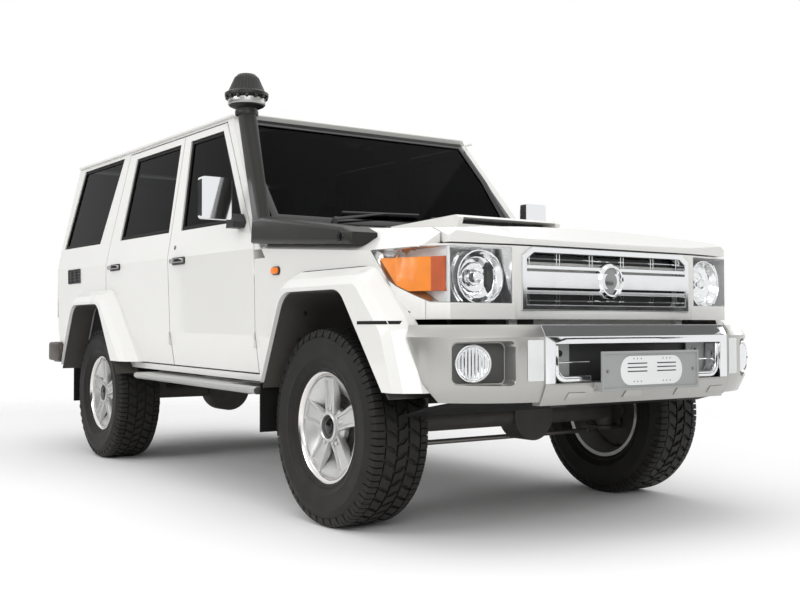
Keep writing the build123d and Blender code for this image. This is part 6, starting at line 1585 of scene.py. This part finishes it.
@dataclass
class Bumper:
    """Plate, chrome corner bows, tow plates, painted highlight strips, facets and fog lamps of the front bumper."""

    opening: float = 0.440
    low_z: float = 0.580
    high_z: float = 0.718
    plate: tuple[float, float] = (0.330, 0.106)
    plate_z: float = 0.619
    fog: tuple[float, float, float] = (FRONT_AXLE_X + 0.733, -0.713, 0.653)
    fog_turn: float = 20.0
    fog_proud: float = 0.008
    fog_r: float = 0.0655
    facets: tuple[float, ...] = (-0.335, -0.055, 0.225, 0.425)
    guard_plan: tuple[tuple[float, float], ...] = ((0.446, 0.800), (0.590, 0.800), (0.725, 0.690), (0.790, 0.500))
    guard_z: float = 0.453
    guard_slope: float = 0.262
    guard_thick: float = 0.008

    def build(self) -> None:
        """Make everything on the front bumper."""
        self._plate()
        self._bows()
        self._tow_plates()
        self._strips()
        self._fog_lamps()
        self._guard()

    def _guard(self) -> None:
        """The dark splash guard that runs back from under the bumper."""
        plan = [(x, -y) for x, y in self.guard_plan] + list(reversed(self.guard_plan))
        rear = self.guard_plan[0][0]
        edge = [Vector((FRONT_AXLE_X + x, y, self.guard_z + (x - rear) * self.guard_slope)) for x, y in plan]
        sheet = Bench.prism("splash_guard", edge, Vector((0, 0, self.guard_thick)), 0.002)
        Shop.fit(sheet, RUBBER, CHASSIS, "rubber")

    def _plate(self) -> None:
        """The blank slotted plate in its holder's recess."""
        face = Datum.on("front_bumper", Vector((4.0, 0.0, self.plate_z)), Vector((-1, 0, 0)), Vector((0, 1, 0)))
        wide, tall = self.plate
        board = Bench.prism("board", face.outline(rounded(wide, tall, tall / 2 - 0.001, 10)), face.out * 0.0035, 0.001)
        Shop.fit(board, PLATE_WHITE, CHASSIS, "grey")
        board.name = board.data.name = "blank_plate"
        cuts = []
        for side in (-1, 1):
            for row in range(3):
                middle = (side * 0.078, 0.026 - 0.0145 * row)
                shape = [(middle[0] + a, middle[1] + b) for a, b in rounded(0.104, 0.0042, 0.002)]
                cuts.append(Bench.prism("cut", face.outline(shape, 0.0033), face.out * 0.0005))
            for dot in range(3):
                for v in (-0.040, 0.043):
                    shape = [(side * 0.078 + (dot - 1) * 0.019 + a, v + b) for a, b in circle(0.0025, 8)]
                    cuts.append(Bench.prism("dot", face.outline(shape, 0.0033), face.out * 0.0005))
        Shop.fit(Bench.join("plate_slots", cuts), BLACK, CHASSIS, "black")
        screws = [Bench.turned("screw", [(0.0, 0.0042), (0.005, 0.0040), (0.006, 0.0)], face.at(side * 0.228, 0.0),
                               face.out, 16) for side in (-1, 1)]
        Shop.fit(Bench.join("plate_screws", screws), STEEL, CHASSIS, "steel")

    def _bows(self) -> None:
        """Chrome bows that round the lower corners of the opening, and the thin bars across it."""
        depth_x = FRONT_AXLE_X + 0.800
        y_out, z_low = -self.opening, self.low_z
        curve = [(math.cos(math.radians(a)), math.sin(math.radians(a))) for a in range(180, 271, 15)]
        outer = [(y_out + 0.052 + 0.052 * c, z_low + 0.052 + 0.052 * s) for c, s in curve]
        inner = [(y_out + 0.052 + 0.030 * c, z_low + 0.058 + 0.032 * s) for c, s in curve]
        shape = [(y_out, self.high_z - 0.002), *outer, (-0.262, z_low), (-0.262, z_low + 0.026), *reversed(inner),
                 (y_out + 0.020, self.high_z - 0.002)]
        bow = Bench.prism("bow", [Vector((depth_x, y, z)) for y, z in shape], Vector((0.056, 0, 0)), 0.007, 3)
        Shop.fit_pair(bow, "bumper_bow", CHROME, CHASSIS, "chrome")
        section = [Vector((depth_x + 0.028 + a, y_out + 0.012, 0.652 + b)) for a, b in circle(0.0035, 8)]
        bar = Bench.prism("bar", section, Vector((0, 0.180, 0)), 0.0008)
        Shop.fit_pair(bar, "bumper_bar", CHROME, CHASSIS, "chrome")

    def _tow_plates(self) -> None:
        """Grey plates behind the opening's ends, each with a round hole painted black as shade, and a dark sheet of
        painted shade across the opening.
        """
        place = Datum(Vector((FRONT_AXLE_X + 0.790, -0.375, 0.653)), Vector((0, 1, 0)), Vector((0, 0, 1)),
                      Vector((1, 0, 0)))
        plate = Bench.prism("plate", place.outline(rounded(0.120, 0.140, 0.008)), place.out * 0.006, 0.0015)
        rim = Bench.turned("rim", [(0.012, 0.0065), (0.013, 0.010), (0.018, 0.010), (0.020, 0.006)],
                           place.at(0.012, 0.030), place.out, 24)
        Shop.fit_pair(Bench.join("tow_plate", [plate, rim]), "tow_plate", HOLDER_GREY, CHASSIS, "grey")
        # painted shade: a black disc in the hole, where the inside of the hole lies in shadow
        hole = Bench.prism("hole", [place.at(0.012 + a, 0.030 + b, 0.006) for a, b in circle(0.0125, 20)],
                           place.out * 0.001)
        Shop.fit_pair(hole, "tow_hole", GLOSS_BLACK, CHASSIS, "black")
        # painted shade: a dark sheet across the opening, where the space behind it lies in shadow
        shade = Datum(Vector((FRONT_AXLE_X + 0.776, 0, 0.649)), Vector((0, 1, 0)), Vector((0, 0, 1)), Vector((1, 0, 0)))
        mesh = Bench.prism("mesh", shade.outline(rounded(0.875, 0.136, 0.006)), shade.out * 0.003, 0.001)
        Shop.fit(mesh, BLACK, CHASSIS, "black")
        mesh.name = mesh.data.name = "intake_shade"

    def _strips(self) -> None:
        """White strips on the corners, painted highlights for a softbox's reflection on a flat facet, and the raised
        facets under the beam.
        """
        place = Datum.on("bumper_corners", Vector((4.0, -0.527, 0.662)), Vector((-1, 0, 0)), Vector((0, 1, 0)))
        # painted highlight: a white strip where a softbox's reflection lies on the corner's flat facet
        strip = Bench.prism("strip", place.outline(rounded(0.064, 0.142, 0.004)), place.out * 0.0022, 0.0008)
        Shop.fit_pair(strip, "reflector_strip", WHITE_LENS, CHASSIS, "lamp")
        pads = []
        for y in self.facets:
            place = Datum.on("front_bumper", Vector((4.0, y, 0.532)), Vector((-1, 0, 0)), Vector((0, 1, 0)))
            shape = [(-0.050, -0.014), (0.050, -0.014), (0.040, 0.016), (-0.040, 0.016)]
            pads.append(Bench.prism("facet", place.outline(shape, -0.001), place.out * 0.005, 0.002))
        Shop.fit(Bench.join("valance_facets", pads), SILVER, CHASSIS, "silver")

    def _fog_lamps(self) -> None:
        """Painted shade on the pockets' floors, and lamps with a chrome ring, a fluted bowl and a domed lens."""
        turn = math.radians(self.fog_turn)
        axis = Vector((math.cos(turn), -math.sin(turn), 0))
        floor = Datum(Vector(self.fog), Vector((math.sin(turn), math.cos(turn), 0)), Vector((0, 0, 1)), axis)
        # painted shade: a dark sheet on the pocket's floor, where the pocket lies in shadow
        lining = [(0.023 + a, b) for a, b in rounded(0.188, 0.138, 0.019)]
        shade_sheet = Bench.prism("lining", floor.outline(lining, -0.0005), axis * 0.0022, 0.0006)
        Shop.fit_pair(shade_sheet, "fog_pocket", POCKET_SHADE_PAINT, CHASSIS, "black")
        face = floor.at(0, 0, self.fog_proud)
        r = self.fog_r
        ring = [(r * 0.86, 0.001), (r * 0.88, 0.012), (r * 0.94, 0.015), (r, 0.012), (r + 0.001, -0.006),
                (r * 0.96, -0.006)]
        Shop.fit_pair(Bench.turned("ring", ring, face, axis, 56, ring=True), "fog_ring", CHROME, CHASSIS, "chrome")
        bowl = Bench.turned("bowl", [(0.0, 0.0012), (r * 0.5, 0.002), (r * 0.78, 0.005), (r * 0.87, 0.010)], face,
                            axis, 48)
        Bench.wall(bowl, 0.001, -1.0)
        Shop.fit_pair(bowl, "fog_bowl", REFLECTOR, CHASSIS, "lamp")
        self._flutes(floor, face, r)
        dome = Bench.turned("dome", [(0.0, 0.0175), (r * 0.4, 0.0170), (r * 0.7, 0.0152), (r * 0.9, 0.0125)], face,
                            axis, 48)
        Bench.wall(dome, 0.0015, -1.0)
        Shop.fit_pair(dome, "fog_lens", CLEAR_LENS, CHASSIS, "lamp")

    @staticmethod
    def _flutes(floor: Datum, face: Vector, r: float) -> None:
        """Upright flutes in the reflector's finish behind the lens."""
        flutes = []
        for row in range(-4, 5):
            u = row * r * 0.19
            half = math.sqrt(max((r * 0.84) ** 2 - u * u, 1e-6))
            shape = [(u - r * 0.07, 0.006), (u, 0.0105), (u + r * 0.07, 0.006)]
            start = [face + floor.along * a + floor.up * -half + floor.out * w for a, w in shape]
            flutes.append(Bench.prism("flute", start, floor.up * 2 * half))
        Shop.fit_pair(Bench.join("fog_flutes", flutes), "fog_flutes", REFLECTOR, CHASSIS, "lamp")


@dataclass
class Wheels:
    """Tyres with tread, cast alloy rims and their caps, for four road wheels and the spare."""

    tyre_r: float = 0.3885
    tread_depth: float = 0.0105
    half_width: float = 0.1325
    flange_r: float = 0.221
    pitches: int = 44
    spokes: int = 5
    lug_circle: float = 0.075

    def build(self) -> None:
        """Model one wheel and copy it to the five places."""
        tyre, rim, lip, cap, drum = self._tyre(), self._rim(), self._lip(), self._cap(), self._drum()
        places: list[tuple[str, str, Matrix]] = []
        for corner in ("front_right", "front_left", "rear_right", "rear_left"):
            low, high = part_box(f"tyre_{corner}")
            turn = Matrix.Rotation(math.pi, 4, "Z") if corner.endswith(LEFT) else Matrix.Identity(4)
            places.append((corner, f"wheel_{corner}", Matrix.Translation((low + high) / 2) @ turn))
        low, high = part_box("spare_tyre")
        turn = Matrix.Rotation(-math.pi / 2, 4, "Z")
        places.append(("spare", "rear_leaf_right", Matrix.Translation((low + high) / 2) @ turn))
        for corner, body, move in places:
            made = Shop.fit(Bench.copy(f"road_tyre_{corner}", tyre, move), TYRE, body, "tyre", 28)
            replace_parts(made, "spare_tyre" if corner == "spare" else f"tyre_{corner}")
            made = Shop.fit(Bench.copy(f"alloy_{corner}", rim, move), ALLOY, body, "alloy")
            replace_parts(made, "spare_rim" if corner == "spare" else f"rim_{corner}")
            Shop.fit(Bench.copy(f"rim_lip_{corner}", lip, move), MACHINED, body, "alloy")
            Shop.fit(Bench.copy(f"hub_cap_{corner}", cap, move), GLOSS_BLACK, body, "black")
            Shop.fit(Bench.copy(f"brake_face_{corner}", drum, move), IRON, body, "iron")
        for pattern in (tyre, rim, lip, cap, drum):
            bpy.data.objects.remove(pattern)

    def _tyre(self) -> bpy.types.Object:
        """The carcass with its sidewall ribs, and the tread blocks round it."""
        w, base = self.half_width, self.tyre_r - self.tread_depth
        half = [(0.212, 0.094), (0.224, 0.104), (0.229, 0.110), (0.232, 0.1135), (0.236, 0.1135), (0.240, 0.1125),
                (0.262, w - 0.0065), (0.264, w - 0.0045), (0.268, w - 0.0045), (0.270, w - 0.0050), (0.292, w - 0.001),
                (0.312, w - 0.0008), (0.316, w), (0.326, w), (0.330, w - 0.0022), (0.348, w - 0.0075),
                (0.362, w - 0.016), (base - 0.004, w - 0.026), (base, w - 0.044), (base + 0.001, 0.04)]
        outer = [(r, -y) for r, y in half] + [(r, y) for r, y in reversed(half)]
        profile = outer + [(0.206, 0.088), (0.206, -0.088)]
        carcass = Bench.turned("carcass", profile, Vector((0, 0, 0)), Vector((0, 1, 0)), 80, ring=True)
        blocks = []
        step = TURN / self.pitches
        for y, wide, shift, skew in ((-0.052, 0.044, 0.5, 0.22), (0.0, 0.040, 0.0, -0.22), (0.052, 0.044, 0.5, 0.22)):
            turn, grow = shift * step, 0.40 * step
            shape = [(y - wide / 2, -grow + skew * step), (y - wide * 0.10, -grow * 0.72),
                     (y + wide / 2, -grow - skew * step),
                     (y + wide / 2, grow - skew * step), (y + wide * 0.10, grow * 0.72),
                     (y - wide / 2, grow + skew * step)]
            blocks.append(self._block(shape, turn, base - 0.002, self.tyre_r - 0.0004))
        for sign in (-1, 1):
            for shift, reach in ((0.0, 0.128), (0.5, 0.1235)):
                blocks.append(self._shoulder(sign, shift * step, 0.20 * step, reach))
        tread = Bench.join("tread", blocks)
        Bench.round_copies(tread, self.pitches, Vector((0, 0, 0)), Vector((0, 1, 0)))
        return Bench.join("tyre_pattern", [carcass, tread])

    @staticmethod
    def _polar(radius: float, turn: float, y: float) -> Vector:
        """A point on the wheel from its radius, angle and place across."""
        return Vector((radius * math.cos(turn), y, radius * math.sin(turn)))

    def _block(self, shape: Sequence[tuple[float, float]], turn: float, low: float, high: float) -> bpy.types.Object:
        """One tread block pulled out of the carcass."""
        foot = [self._polar(low, turn + angle, y) for y, angle in shape]
        rise = self._polar(high - low, turn, 0.0)
        return Bench.prism("block", foot, rise)

    def _shoulder(self, sign: int, turn: float, grow: float, reach: float) -> bpy.types.Object:
        """One shoulder lug, which wraps from the tread down the sidewall."""
        tip, base = self.tyre_r - 0.0006, self.tyre_r - self.tread_depth
        side = [(0.080, base - 0.006), (0.080, tip), (0.104, tip - 0.0012), (0.116, tip - 0.007), (reach, 0.356),
                (reach - 0.006, 0.350), (0.100, base - 0.010)]
        near = [self._polar(r, turn - grow, sign * y) for y, r in side]
        far = self._polar(tip, turn + grow, 0.0) - self._polar(tip, turn - grow, 0.0)
        return Bench.prism("lug", near, far)

    def _rim(self) -> bpy.types.Object:
        """The cast barrel, scoops and spokes."""
        barrel = Bench.turned("barrel", [
            (0.2205, 0.1025), (0.2205, 0.094), (0.207, 0.090), (0.203, 0.062), (0.188, 0.02), (0.188, -0.03),
            (0.203, -0.062), (0.207, -0.088), (0.200, -0.090), (0.194, -0.066), (0.178, -0.030), (0.178, 0.02),
            (0.196, 0.064), (0.204, 0.100)], Vector((0, 0, 0)), Vector((0, 1, 0)), 64, ring=True)
        scoop = Bench.turned("scoop", [(0.201, -0.083), (0.190, -0.079), (0.160, -0.060), (0.131, -0.042),
                                       (0.127, -0.034), (0.158, -0.050), (0.192, -0.066)],
                             Vector((0, 0, 0)), Vector((0, 1, 0)), 64, ring=True)
        hub = Bench.turned("hub", [(0.0, -0.060), (0.046, -0.060), (0.047, -0.094), (0.052, -0.097), (0.059, -0.094),
                                   (0.063, -0.072), (0.074, -0.060), (0.076, -0.040), (0.060, -0.028), (0.0, -0.028)],
                           Vector((0, 0, 0)), Vector((0, 1, 0)), 48)
        arms = [self._spoke(TURN * (i + 0.25) / self.spokes) for i in range(self.spokes)]
        nuts = []
        for i in range(self.spokes):
            turn = TURN * (i + 0.25) / self.spokes
            nut = Bench.turned("nut", [(0.0, -0.086), (0.006, -0.086), (0.010, -0.083), (0.011, -0.066), (0.0, -0.066)],
                               self._polar(self.lug_circle, turn, 0.0), Vector((0, 1, 0)), 6)
            nuts.append(nut)
        return Bench.join("rim_pattern", [barrel, scoop, hub, *arms, *nuts])

    def _spoke(self, turn: float) -> bpy.types.Object:
        """One broad spoke with a sunk channel down its middle."""
        out = Vector((math.cos(turn), 0, math.sin(turn)))
        across = Vector((-math.sin(turn), 0, math.cos(turn)))
        plan = [(0.050, -0.031), (0.050, 0.031), (0.120, 0.034), (0.197, 0.044), (0.197, -0.044), (0.120, -0.034)]
        bar = Bench.prism("spoke", [out * r + across * s + Vector((0, -0.056, 0)) for r, s in plan],
                          Vector((0, -0.030, 0)))
        Bench.pick_vertices(bar, lambda at: at.y < -0.08 and at.dot(out) > 0.19)
        bpy.ops.transform.translate(value=(0, -0.003, 0))
        Bench.pick_vertices(bar, lambda at: at.y > -0.06 and at.dot(out) > 0.19)
        bpy.ops.transform.translate(value=(0, -0.018, 0))
        bpy.ops.object.mode_set(mode="OBJECT")
        Bench.pick_faces(bar, lambda c, n: n.y < -0.9)
        bpy.ops.mesh.inset(thickness=0.013)
        bpy.ops.mesh.extrude_region_move(TRANSFORM_OT_translate={"value": (0, 0.009, 0)})
        bpy.ops.mesh.inset(thickness=0.004)
        bpy.ops.object.mode_set(mode="OBJECT")
        Bench.bevel(bar, 0.003, 2)
        return bar

    def _lip(self) -> bpy.types.Object:
        """The machined outer lip."""
        return Bench.turned("lip_pattern", [
            (self.flange_r, -0.1025), (self.flange_r, -0.096), (0.209, -0.090), (0.204, -0.084), (0.199, -0.084),
            (0.203, -0.092), (0.211, -0.1015), (0.216, -0.1035)], Vector((0, 0, 0)), Vector((0, 1, 0)), 72, ring=True)

    @staticmethod
    def _drum() -> bpy.types.Object:
        """The dark brake face that shows through the windows."""
        return Bench.turned("drum_pattern", [(0.0, -0.026), (0.090, -0.026), (0.094, -0.020), (0.150, -0.018),
                                             (0.156, -0.014),
                                             (0.170, -0.012), (0.172, -0.002), (0.0, -0.002)],
                            Vector((0, 0, 0)), Vector((0, 1, 0)), 48)

    @staticmethod
    def _cap() -> bpy.types.Object:
        """The dark hub cap."""
        return Bench.turned("cap_pattern", [(0.0, -0.097), (0.016, -0.0965), (0.026, -0.093), (0.028, -0.088),
                                            (0.036, -0.086),
                                            (0.044, -0.082), (0.0455, -0.062), (0.0, -0.062)],
                            Vector((0, 0, 0)), Vector((0, 1, 0)), 40)


@dataclass
class Seats:
    """Padded cushions, backs and head restraints on plinths, which stand for the plain seat solids."""

    floor_z: float = 0.6403
    sit: float = 0.240
    rise: float = 0.620
    swell: float = 0.010
    voxel: float = 0.011
    frames: int = 20

    def build(self) -> None:
        """Make the two front seats and the rear bench."""
        front = self._seat("front_seat_right", FRONT_AXLE_X - 1.410, -0.370, 0.500, (0.0,))
        for piece, finish, slot in front:
            twin = Bench.copy(piece.name.replace(RIGHT, LEFT), piece, MIRROR_Y)
            self._finish(twin, finish, slot)
        for piece, finish, slot in front:
            self._finish(piece, finish, slot)
        for piece, finish, slot in self._seat("rear_seat", FRONT_AXLE_X - 2.240, 0.0, 1.050, (-0.300, 0.300)):
            self._finish(piece, finish, slot)

    @staticmethod
    def _finish(piece: bpy.types.Object, finish: Finish, slot: str) -> None:
        Shop.fit(piece, finish, CHASSIS, slot, 60 if finish is CLOTH else 32)
        if piece.name == "front_seat_right_cushion":
            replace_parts(piece, "seats")

    def _seat(self, name: str, x: float, y: float, wide: float, rests: tuple[float, ...]) -> list[tuple]:
        """One seat.

        Args:
            name: The seat's name.
            x: Its middle, fore and aft.
            y: Its middle, across.
            wide: Its width.
            rests: Places across of its head restraints, from its middle.

        Returns:
            Its pieces, each with its finish and slot.
        """
        base = body_z(x, self.floor_z)
        seat, top = base + self.sit, base + self.sit + self.rise
        cushion = [(-0.236, seat - 0.128), (0.232, seat - 0.120), (0.250, seat - 0.060), (0.254, seat + 0.010),
                   (0.215, seat + 0.018),
                   (-0.130, seat - 0.014), (-0.236, seat - 0.014)]
        back = [(-0.238, seat + 0.010), (-0.160, seat + 0.010), (-0.186, seat + 0.140), (-0.303, top - 0.030),
                (-0.320, top - 0.013),
                (-0.368, top - 0.013)]
        made = [
            (self._pad(f"{name}_cushion", cushion, x, y, wide - 2 * self.swell, seat - 0.05), CLOTH, "fabric"),
            (self._pad(f"{name}_back", back, x, y, wide - 2 * self.swell, None), CLOTH, "fabric"),
        ]
        for number, shift in enumerate(rests):
            rest = [(-0.368, top + 0.042), (-0.306, top + 0.042), (-0.304, top + 0.165), (-0.364, top + 0.165)]
            made.append((self._pad(f"{name}_rest_{number}", rest, x, y + shift, 0.236, None), CLOTH, "fabric"))
        posts = [Bench.turned("post", [(0.0, -0.040), (0.007, -0.040), (0.007, 0.075), (0.0, 0.075)],
                              Vector((x - 0.337, y + shift + side * 0.060, top)), Vector((0, 0, 1)), 12)
                 for shift in rests for side in (-1, 1)]
        made.append((Bench.join(f"{name}_posts", posts), STEEL, "steel"))
        plinth = [(-0.230, base), (0.220, base), (0.236, seat - 0.110), (-0.240, seat - 0.110)]
        box = Bench.prism(f"{name}_plinth", [Vector((x + a, y - wide / 2 + 0.03, z)) for a, z in plinth],
                          Vector((0, wide - 0.06, 0)), 0.012, 2)
        made.append((box, TRIM, "trim"))
        return made

    def _pad(self, name: str, side: Sequence[tuple[float, float]], x: float, y: float, wide: float,
             crease_z: float | None) -> bpy.types.Object:
        """One stuffed pad: a rounded block that is swollen by cloth pressure and sewn down along its channels.

        Args:
            name: The pad's name.
            side: Its outline seen from the side.
            x: The seat's middle, fore and aft.
            y: The pad's middle, across.
            wide: Its width.
            crease_z: Height above which its channels are sewn, or None for its front face.

        Returns:
            The new object.
        """
        piece = Bench.prism(name, [Vector((x + a, y - wide / 2, z)) for a, z in side], Vector((0, wide, 0)), 0.022, 3)
        skin = piece.modifiers.new("even_mesh", "REMESH")
        skin.mode, skin.voxel_size = "VOXEL", self.voxel
        bpy.ops.object.modifier_apply(modifier=skin.name)
        self._swell(piece)
        if wide > 0.3:
            panel = min(wide / 2 - 0.085, 0.165) if wide < 0.6 else wide / 2 - 0.090
            lanes = [panel] if wide < 0.6 else [panel, 0.175]
            Bench.take(piece)
            Bench.pick_vertices(piece, lambda at: any(abs(abs(at.y - y) - lane) < 0.007 for lane in lanes)
                                and (at.z > crease_z if crease_z else at.x > x - 0.10 - (at.z - side[0][1]) * 0.26))
            bpy.ops.transform.translate(value=(0, 0, -0.007) if crease_z else (-0.007, 0, 0))
            bpy.ops.object.mode_set(mode="OBJECT")
        round_off = piece.modifiers.new("round_off", "SUBSURF")
        round_off.levels = round_off.render_levels = 1
        Bench.take(piece)
        bpy.ops.object.modifier_apply(modifier=round_off.name)
        return piece

    def _swell(self, piece: bpy.types.Object) -> None:
        """Let cloth pressure fill a pad, and cap how far it moves."""
        rest = [vertex.co.copy() for vertex in piece.data.vertices]
        cloth = piece.modifiers.new("stuffing", "CLOTH")
        cloth.settings.use_pressure = True
        cloth.settings.uniform_pressure_force = 4.0
        cloth.settings.effector_weights.gravity = 0.0
        cloth.settings.quality = 5
        cloth.point_cache.frame_start, cloth.point_cache.frame_end = 1, self.frames
        for number in range(1, self.frames + 1):
            bpy.context.scene.frame_set(number)
        Bench.take(piece)
        bpy.ops.object.modifier_apply(modifier=cloth.name)
        for vertex, home in zip(piece.data.vertices, rest):
            move = vertex.co - home
            if move.length > self.swell:
                vertex.co = home + move.normalized() * self.swell
        bpy.context.scene.frame_set(1)


@dataclass
class Studio:
    """Floor, world, lamps and the camera at the photograph's viewpoint."""

    eye: tuple[float, float, float] = (5.1025, -2.9792, 0.7745)
    yaw: float = 34.71
    pitch: float = 1.54
    roll: float = -0.15
    lens: float = 47.43
    sky: tuple[float, float] = (0.45, 0.98)
    floor_fade: tuple[float, float] = (2.7, 5.2)

    def build(self) -> None:
        """Make the stage, the lamps and the camera."""
        self._camera()
        self._world()
        self._floor()
        self._lamp("top_softbox", (0.2, 0.3, 5.0), (0.0, 0.0, 0.6), 7.0, 5.0, 70)
        self._lamp("front_softbox", (6.6, -3.0, 3.2), (0.8, 0.0, 0.9), 3.6, 2.4, 95)
        self._lamp("side_softbox", (0.2, -6.8, 3.6), (-0.2, 0.0, 0.9), 5.0, 2.0, 150)
        self._lamp("left_fill", (1.0, 6.5, 3.0), (0.0, 0.0, 0.9), 4.0, 2.4, 50)
        self._board("front_board", (7.6, 1.6, 0.84), (0, 1, 0), 11.0, 0.64)
        self._board("side_board", (-7.0, -8.5, 2.30), (1, 0, 0), 22.0, 4.20)
        self._board("upper_board", (5.8, 4.6, 5.9), (0.8, -0.6, 0), 9.0, 4.60, 0.12)
        bpy.context.scene.view_settings.view_transform = "Standard"

    def _camera(self) -> None:
        """Stand the camera where the photograph was taken."""
        yaw, pitch, roll = (math.radians(a) for a in (self.yaw, self.pitch, self.roll))
        ahead = Vector((-math.cos(yaw) * math.cos(pitch), math.sin(yaw) * math.cos(pitch), math.sin(pitch)))
        right = ahead.cross(Vector((0, 0, 1))).normalized()
        up = right.cross(ahead)
        right, up = (right * math.cos(roll) + up * math.sin(roll), up * math.cos(roll) - right * math.sin(roll))
        data = bpy.data.cameras.new("photo_camera")
        data.lens, data.sensor_width = self.lens, 36.0
        data.clip_end = 100
        camera = bpy.data.objects.new("photo_camera", data)
        bpy.context.scene.collection.objects.link(camera)
        turn = Matrix((right, up, -ahead)).transposed()
        camera.matrix_world = Matrix.Translation(self.eye) @ turn.to_4x4()
        bpy.context.scene.camera = camera

    def _world(self) -> None:
        """Plain soft sky that shows as white to the camera and in reflections."""
        world = bpy.data.worlds.new("studio")
        bpy.context.scene.world = world
        world.use_nodes = True
        tree = world.node_tree
        path = tree.nodes.new("ShaderNodeLightPath")
        glossy = tree.nodes.new("ShaderNodeMath")
        glossy.operation = "MAXIMUM"
        tree.links.new(path.outputs["Is Camera Ray"], glossy.inputs[0])
        tree.links.new(path.outputs["Is Transmission Ray"], glossy.inputs[1])
        seen = tree.nodes.new("ShaderNodeMath")
        seen.operation = "MAXIMUM"
        tree.links.new(glossy.outputs[0], seen.inputs[0])
        tree.links.new(path.outputs["Is Glossy Ray"], seen.inputs[1])
        aim = tree.nodes.new("ShaderNodeTexCoord")
        split = tree.nodes.new("ShaderNodeSeparateXYZ")
        tree.links.new(aim.outputs["Generated"], split.inputs[0])
        dome = tree.nodes.new("ShaderNodeMapRange")
        dome.inputs["To Min"].default_value, dome.inputs["To Max"].default_value = self.sky
        tree.links.new(split.outputs["Z"], dome.inputs["Value"])
        level = tree.nodes.new("ShaderNodeMapRange")
        level.inputs["To Max"].default_value = 1.0
        tree.links.new(dome.outputs[0], level.inputs["To Min"])
        tree.links.new(seen.outputs[0], level.inputs["Value"])
        back = tree.nodes["Background"]
        back.inputs["Color"].default_value = (1, 1, 1, 1)
        tree.links.new(level.outputs[0], back.inputs["Strength"])

    def _floor(self) -> None:
        """White floor that keeps the shadow and thins out into the background."""
        bpy.ops.object.select_all(action="DESELECT")
        bpy.ops.mesh.primitive_plane_add(size=24, location=(0, 0, 0))
        floor = bpy.context.object
        floor.name = "studio_floor"
        made = bpy.data.materials.new("studio_floor")
        made.use_nodes = True
        tree = made.node_tree
        skin = tree.nodes["Principled BSDF"]
        skin.inputs["Base Color"].default_value = (0.93, 0.93, 0.93, 1)
        skin.inputs["Roughness"].default_value = 0.9
        skin.inputs["Specular IOR Level"].default_value = 0.0
        place = tree.nodes.new("ShaderNodeTexCoord")
        squeeze = tree.nodes.new("ShaderNodeMapping")
        squeeze.inputs["Scale"].default_value = (0.72, 1.0, 1.0)
        tree.links.new(place.outputs["Object"], squeeze.inputs["Vector"])
        reach = tree.nodes.new("ShaderNodeVectorMath")
        reach.operation = "LENGTH"
        tree.links.new(squeeze.outputs[0], reach.inputs[0])
        fade = tree.nodes.new("ShaderNodeMapRange")
        fade.interpolation_type = "SMOOTHSTEP"
        fade.inputs["From Min"].default_value, fade.inputs["From Max"].default_value = self.floor_fade
        fade.inputs["To Min"].default_value, fade.inputs["To Max"].default_value = 1.0, 0.0
        tree.links.new(reach.outputs["Value"], fade.inputs["Value"])
        tree.links.new(fade.outputs[0], skin.inputs["Alpha"])
        floor.data.materials.append(made)

    @staticmethod
    def _board(name: str, middle: tuple, along: tuple, wide: float, tall: float, glow: float = 0.0) -> None:
        """Stand a dark board where bright metal mirrors it.

        Args:
            name: The board's name.
            middle: Its middle.
            along: The direction of its long edge.
            wide: Its length.
            tall: Its height.
            glow: How bright it looks in a mirror, from 0 to 1.
        """
        place = Datum(Vector(middle), Vector(along), Vector((0, 0, 1)), Vector(along).cross(Vector((0, 0, 1))))
        board = Bench.prism(name, place.outline(rounded(wide, tall, 0.2)), place.out * 0.02)
        made = bpy.data.materials.new(name)
        made.use_nodes = True
        skin = made.node_tree.nodes["Principled BSDF"]
        skin.inputs["Base Color"].default_value = (0.025, 0.025, 0.025, 1)
        skin.inputs["Roughness"].default_value = 0.9
        skin.inputs["Emission Color"].default_value = (1, 1, 1, 1)
        skin.inputs["Emission Strength"].default_value = glow
        board.data.materials.append(made)
        board.visible_camera = board.visible_diffuse = board.visible_shadow = board.visible_transmission = False

    @staticmethod
    def _lamp(name: str, place: tuple, aim: tuple, wide: float, tall: float, power: float) -> None:
        """Hang one soft lamp."""
        data = bpy.data.lights.new(name, "AREA")
        data.shape, data.size, data.size_y, data.energy = "RECTANGLE", wide, tall, power
        lamp = bpy.data.objects.new(name, data)
        bpy.context.scene.collection.objects.link(lamp)
        look = Vector(aim) - Vector(place)
        lamp.matrix_world = Matrix.Translation(place) @ look.to_track_quat("-Z", "Y").to_matrix().to_4x4()


def main() -> None:
    """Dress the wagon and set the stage."""
    logging.basicConfig(level=logging.INFO, format="%(message)s")
    for part in (Studio(), Headlamps(), TailLamps(), Liners(), Snorkel(), Steps(), BonnetTrim(), DoorCards(),
                 RearTrim(), Cabin(), EngineBay(), Seals(), RoofTrim(), Handles(), SideTrim(), ScreenTrim(),
                 Mirrors(), Grille(), Bumper(), Wheels(), Seats()):
        part.build()
    Panels().dress()
    LOG.info("%d new pieces", Shop.count)


if __name__ == "__main__":
    main()
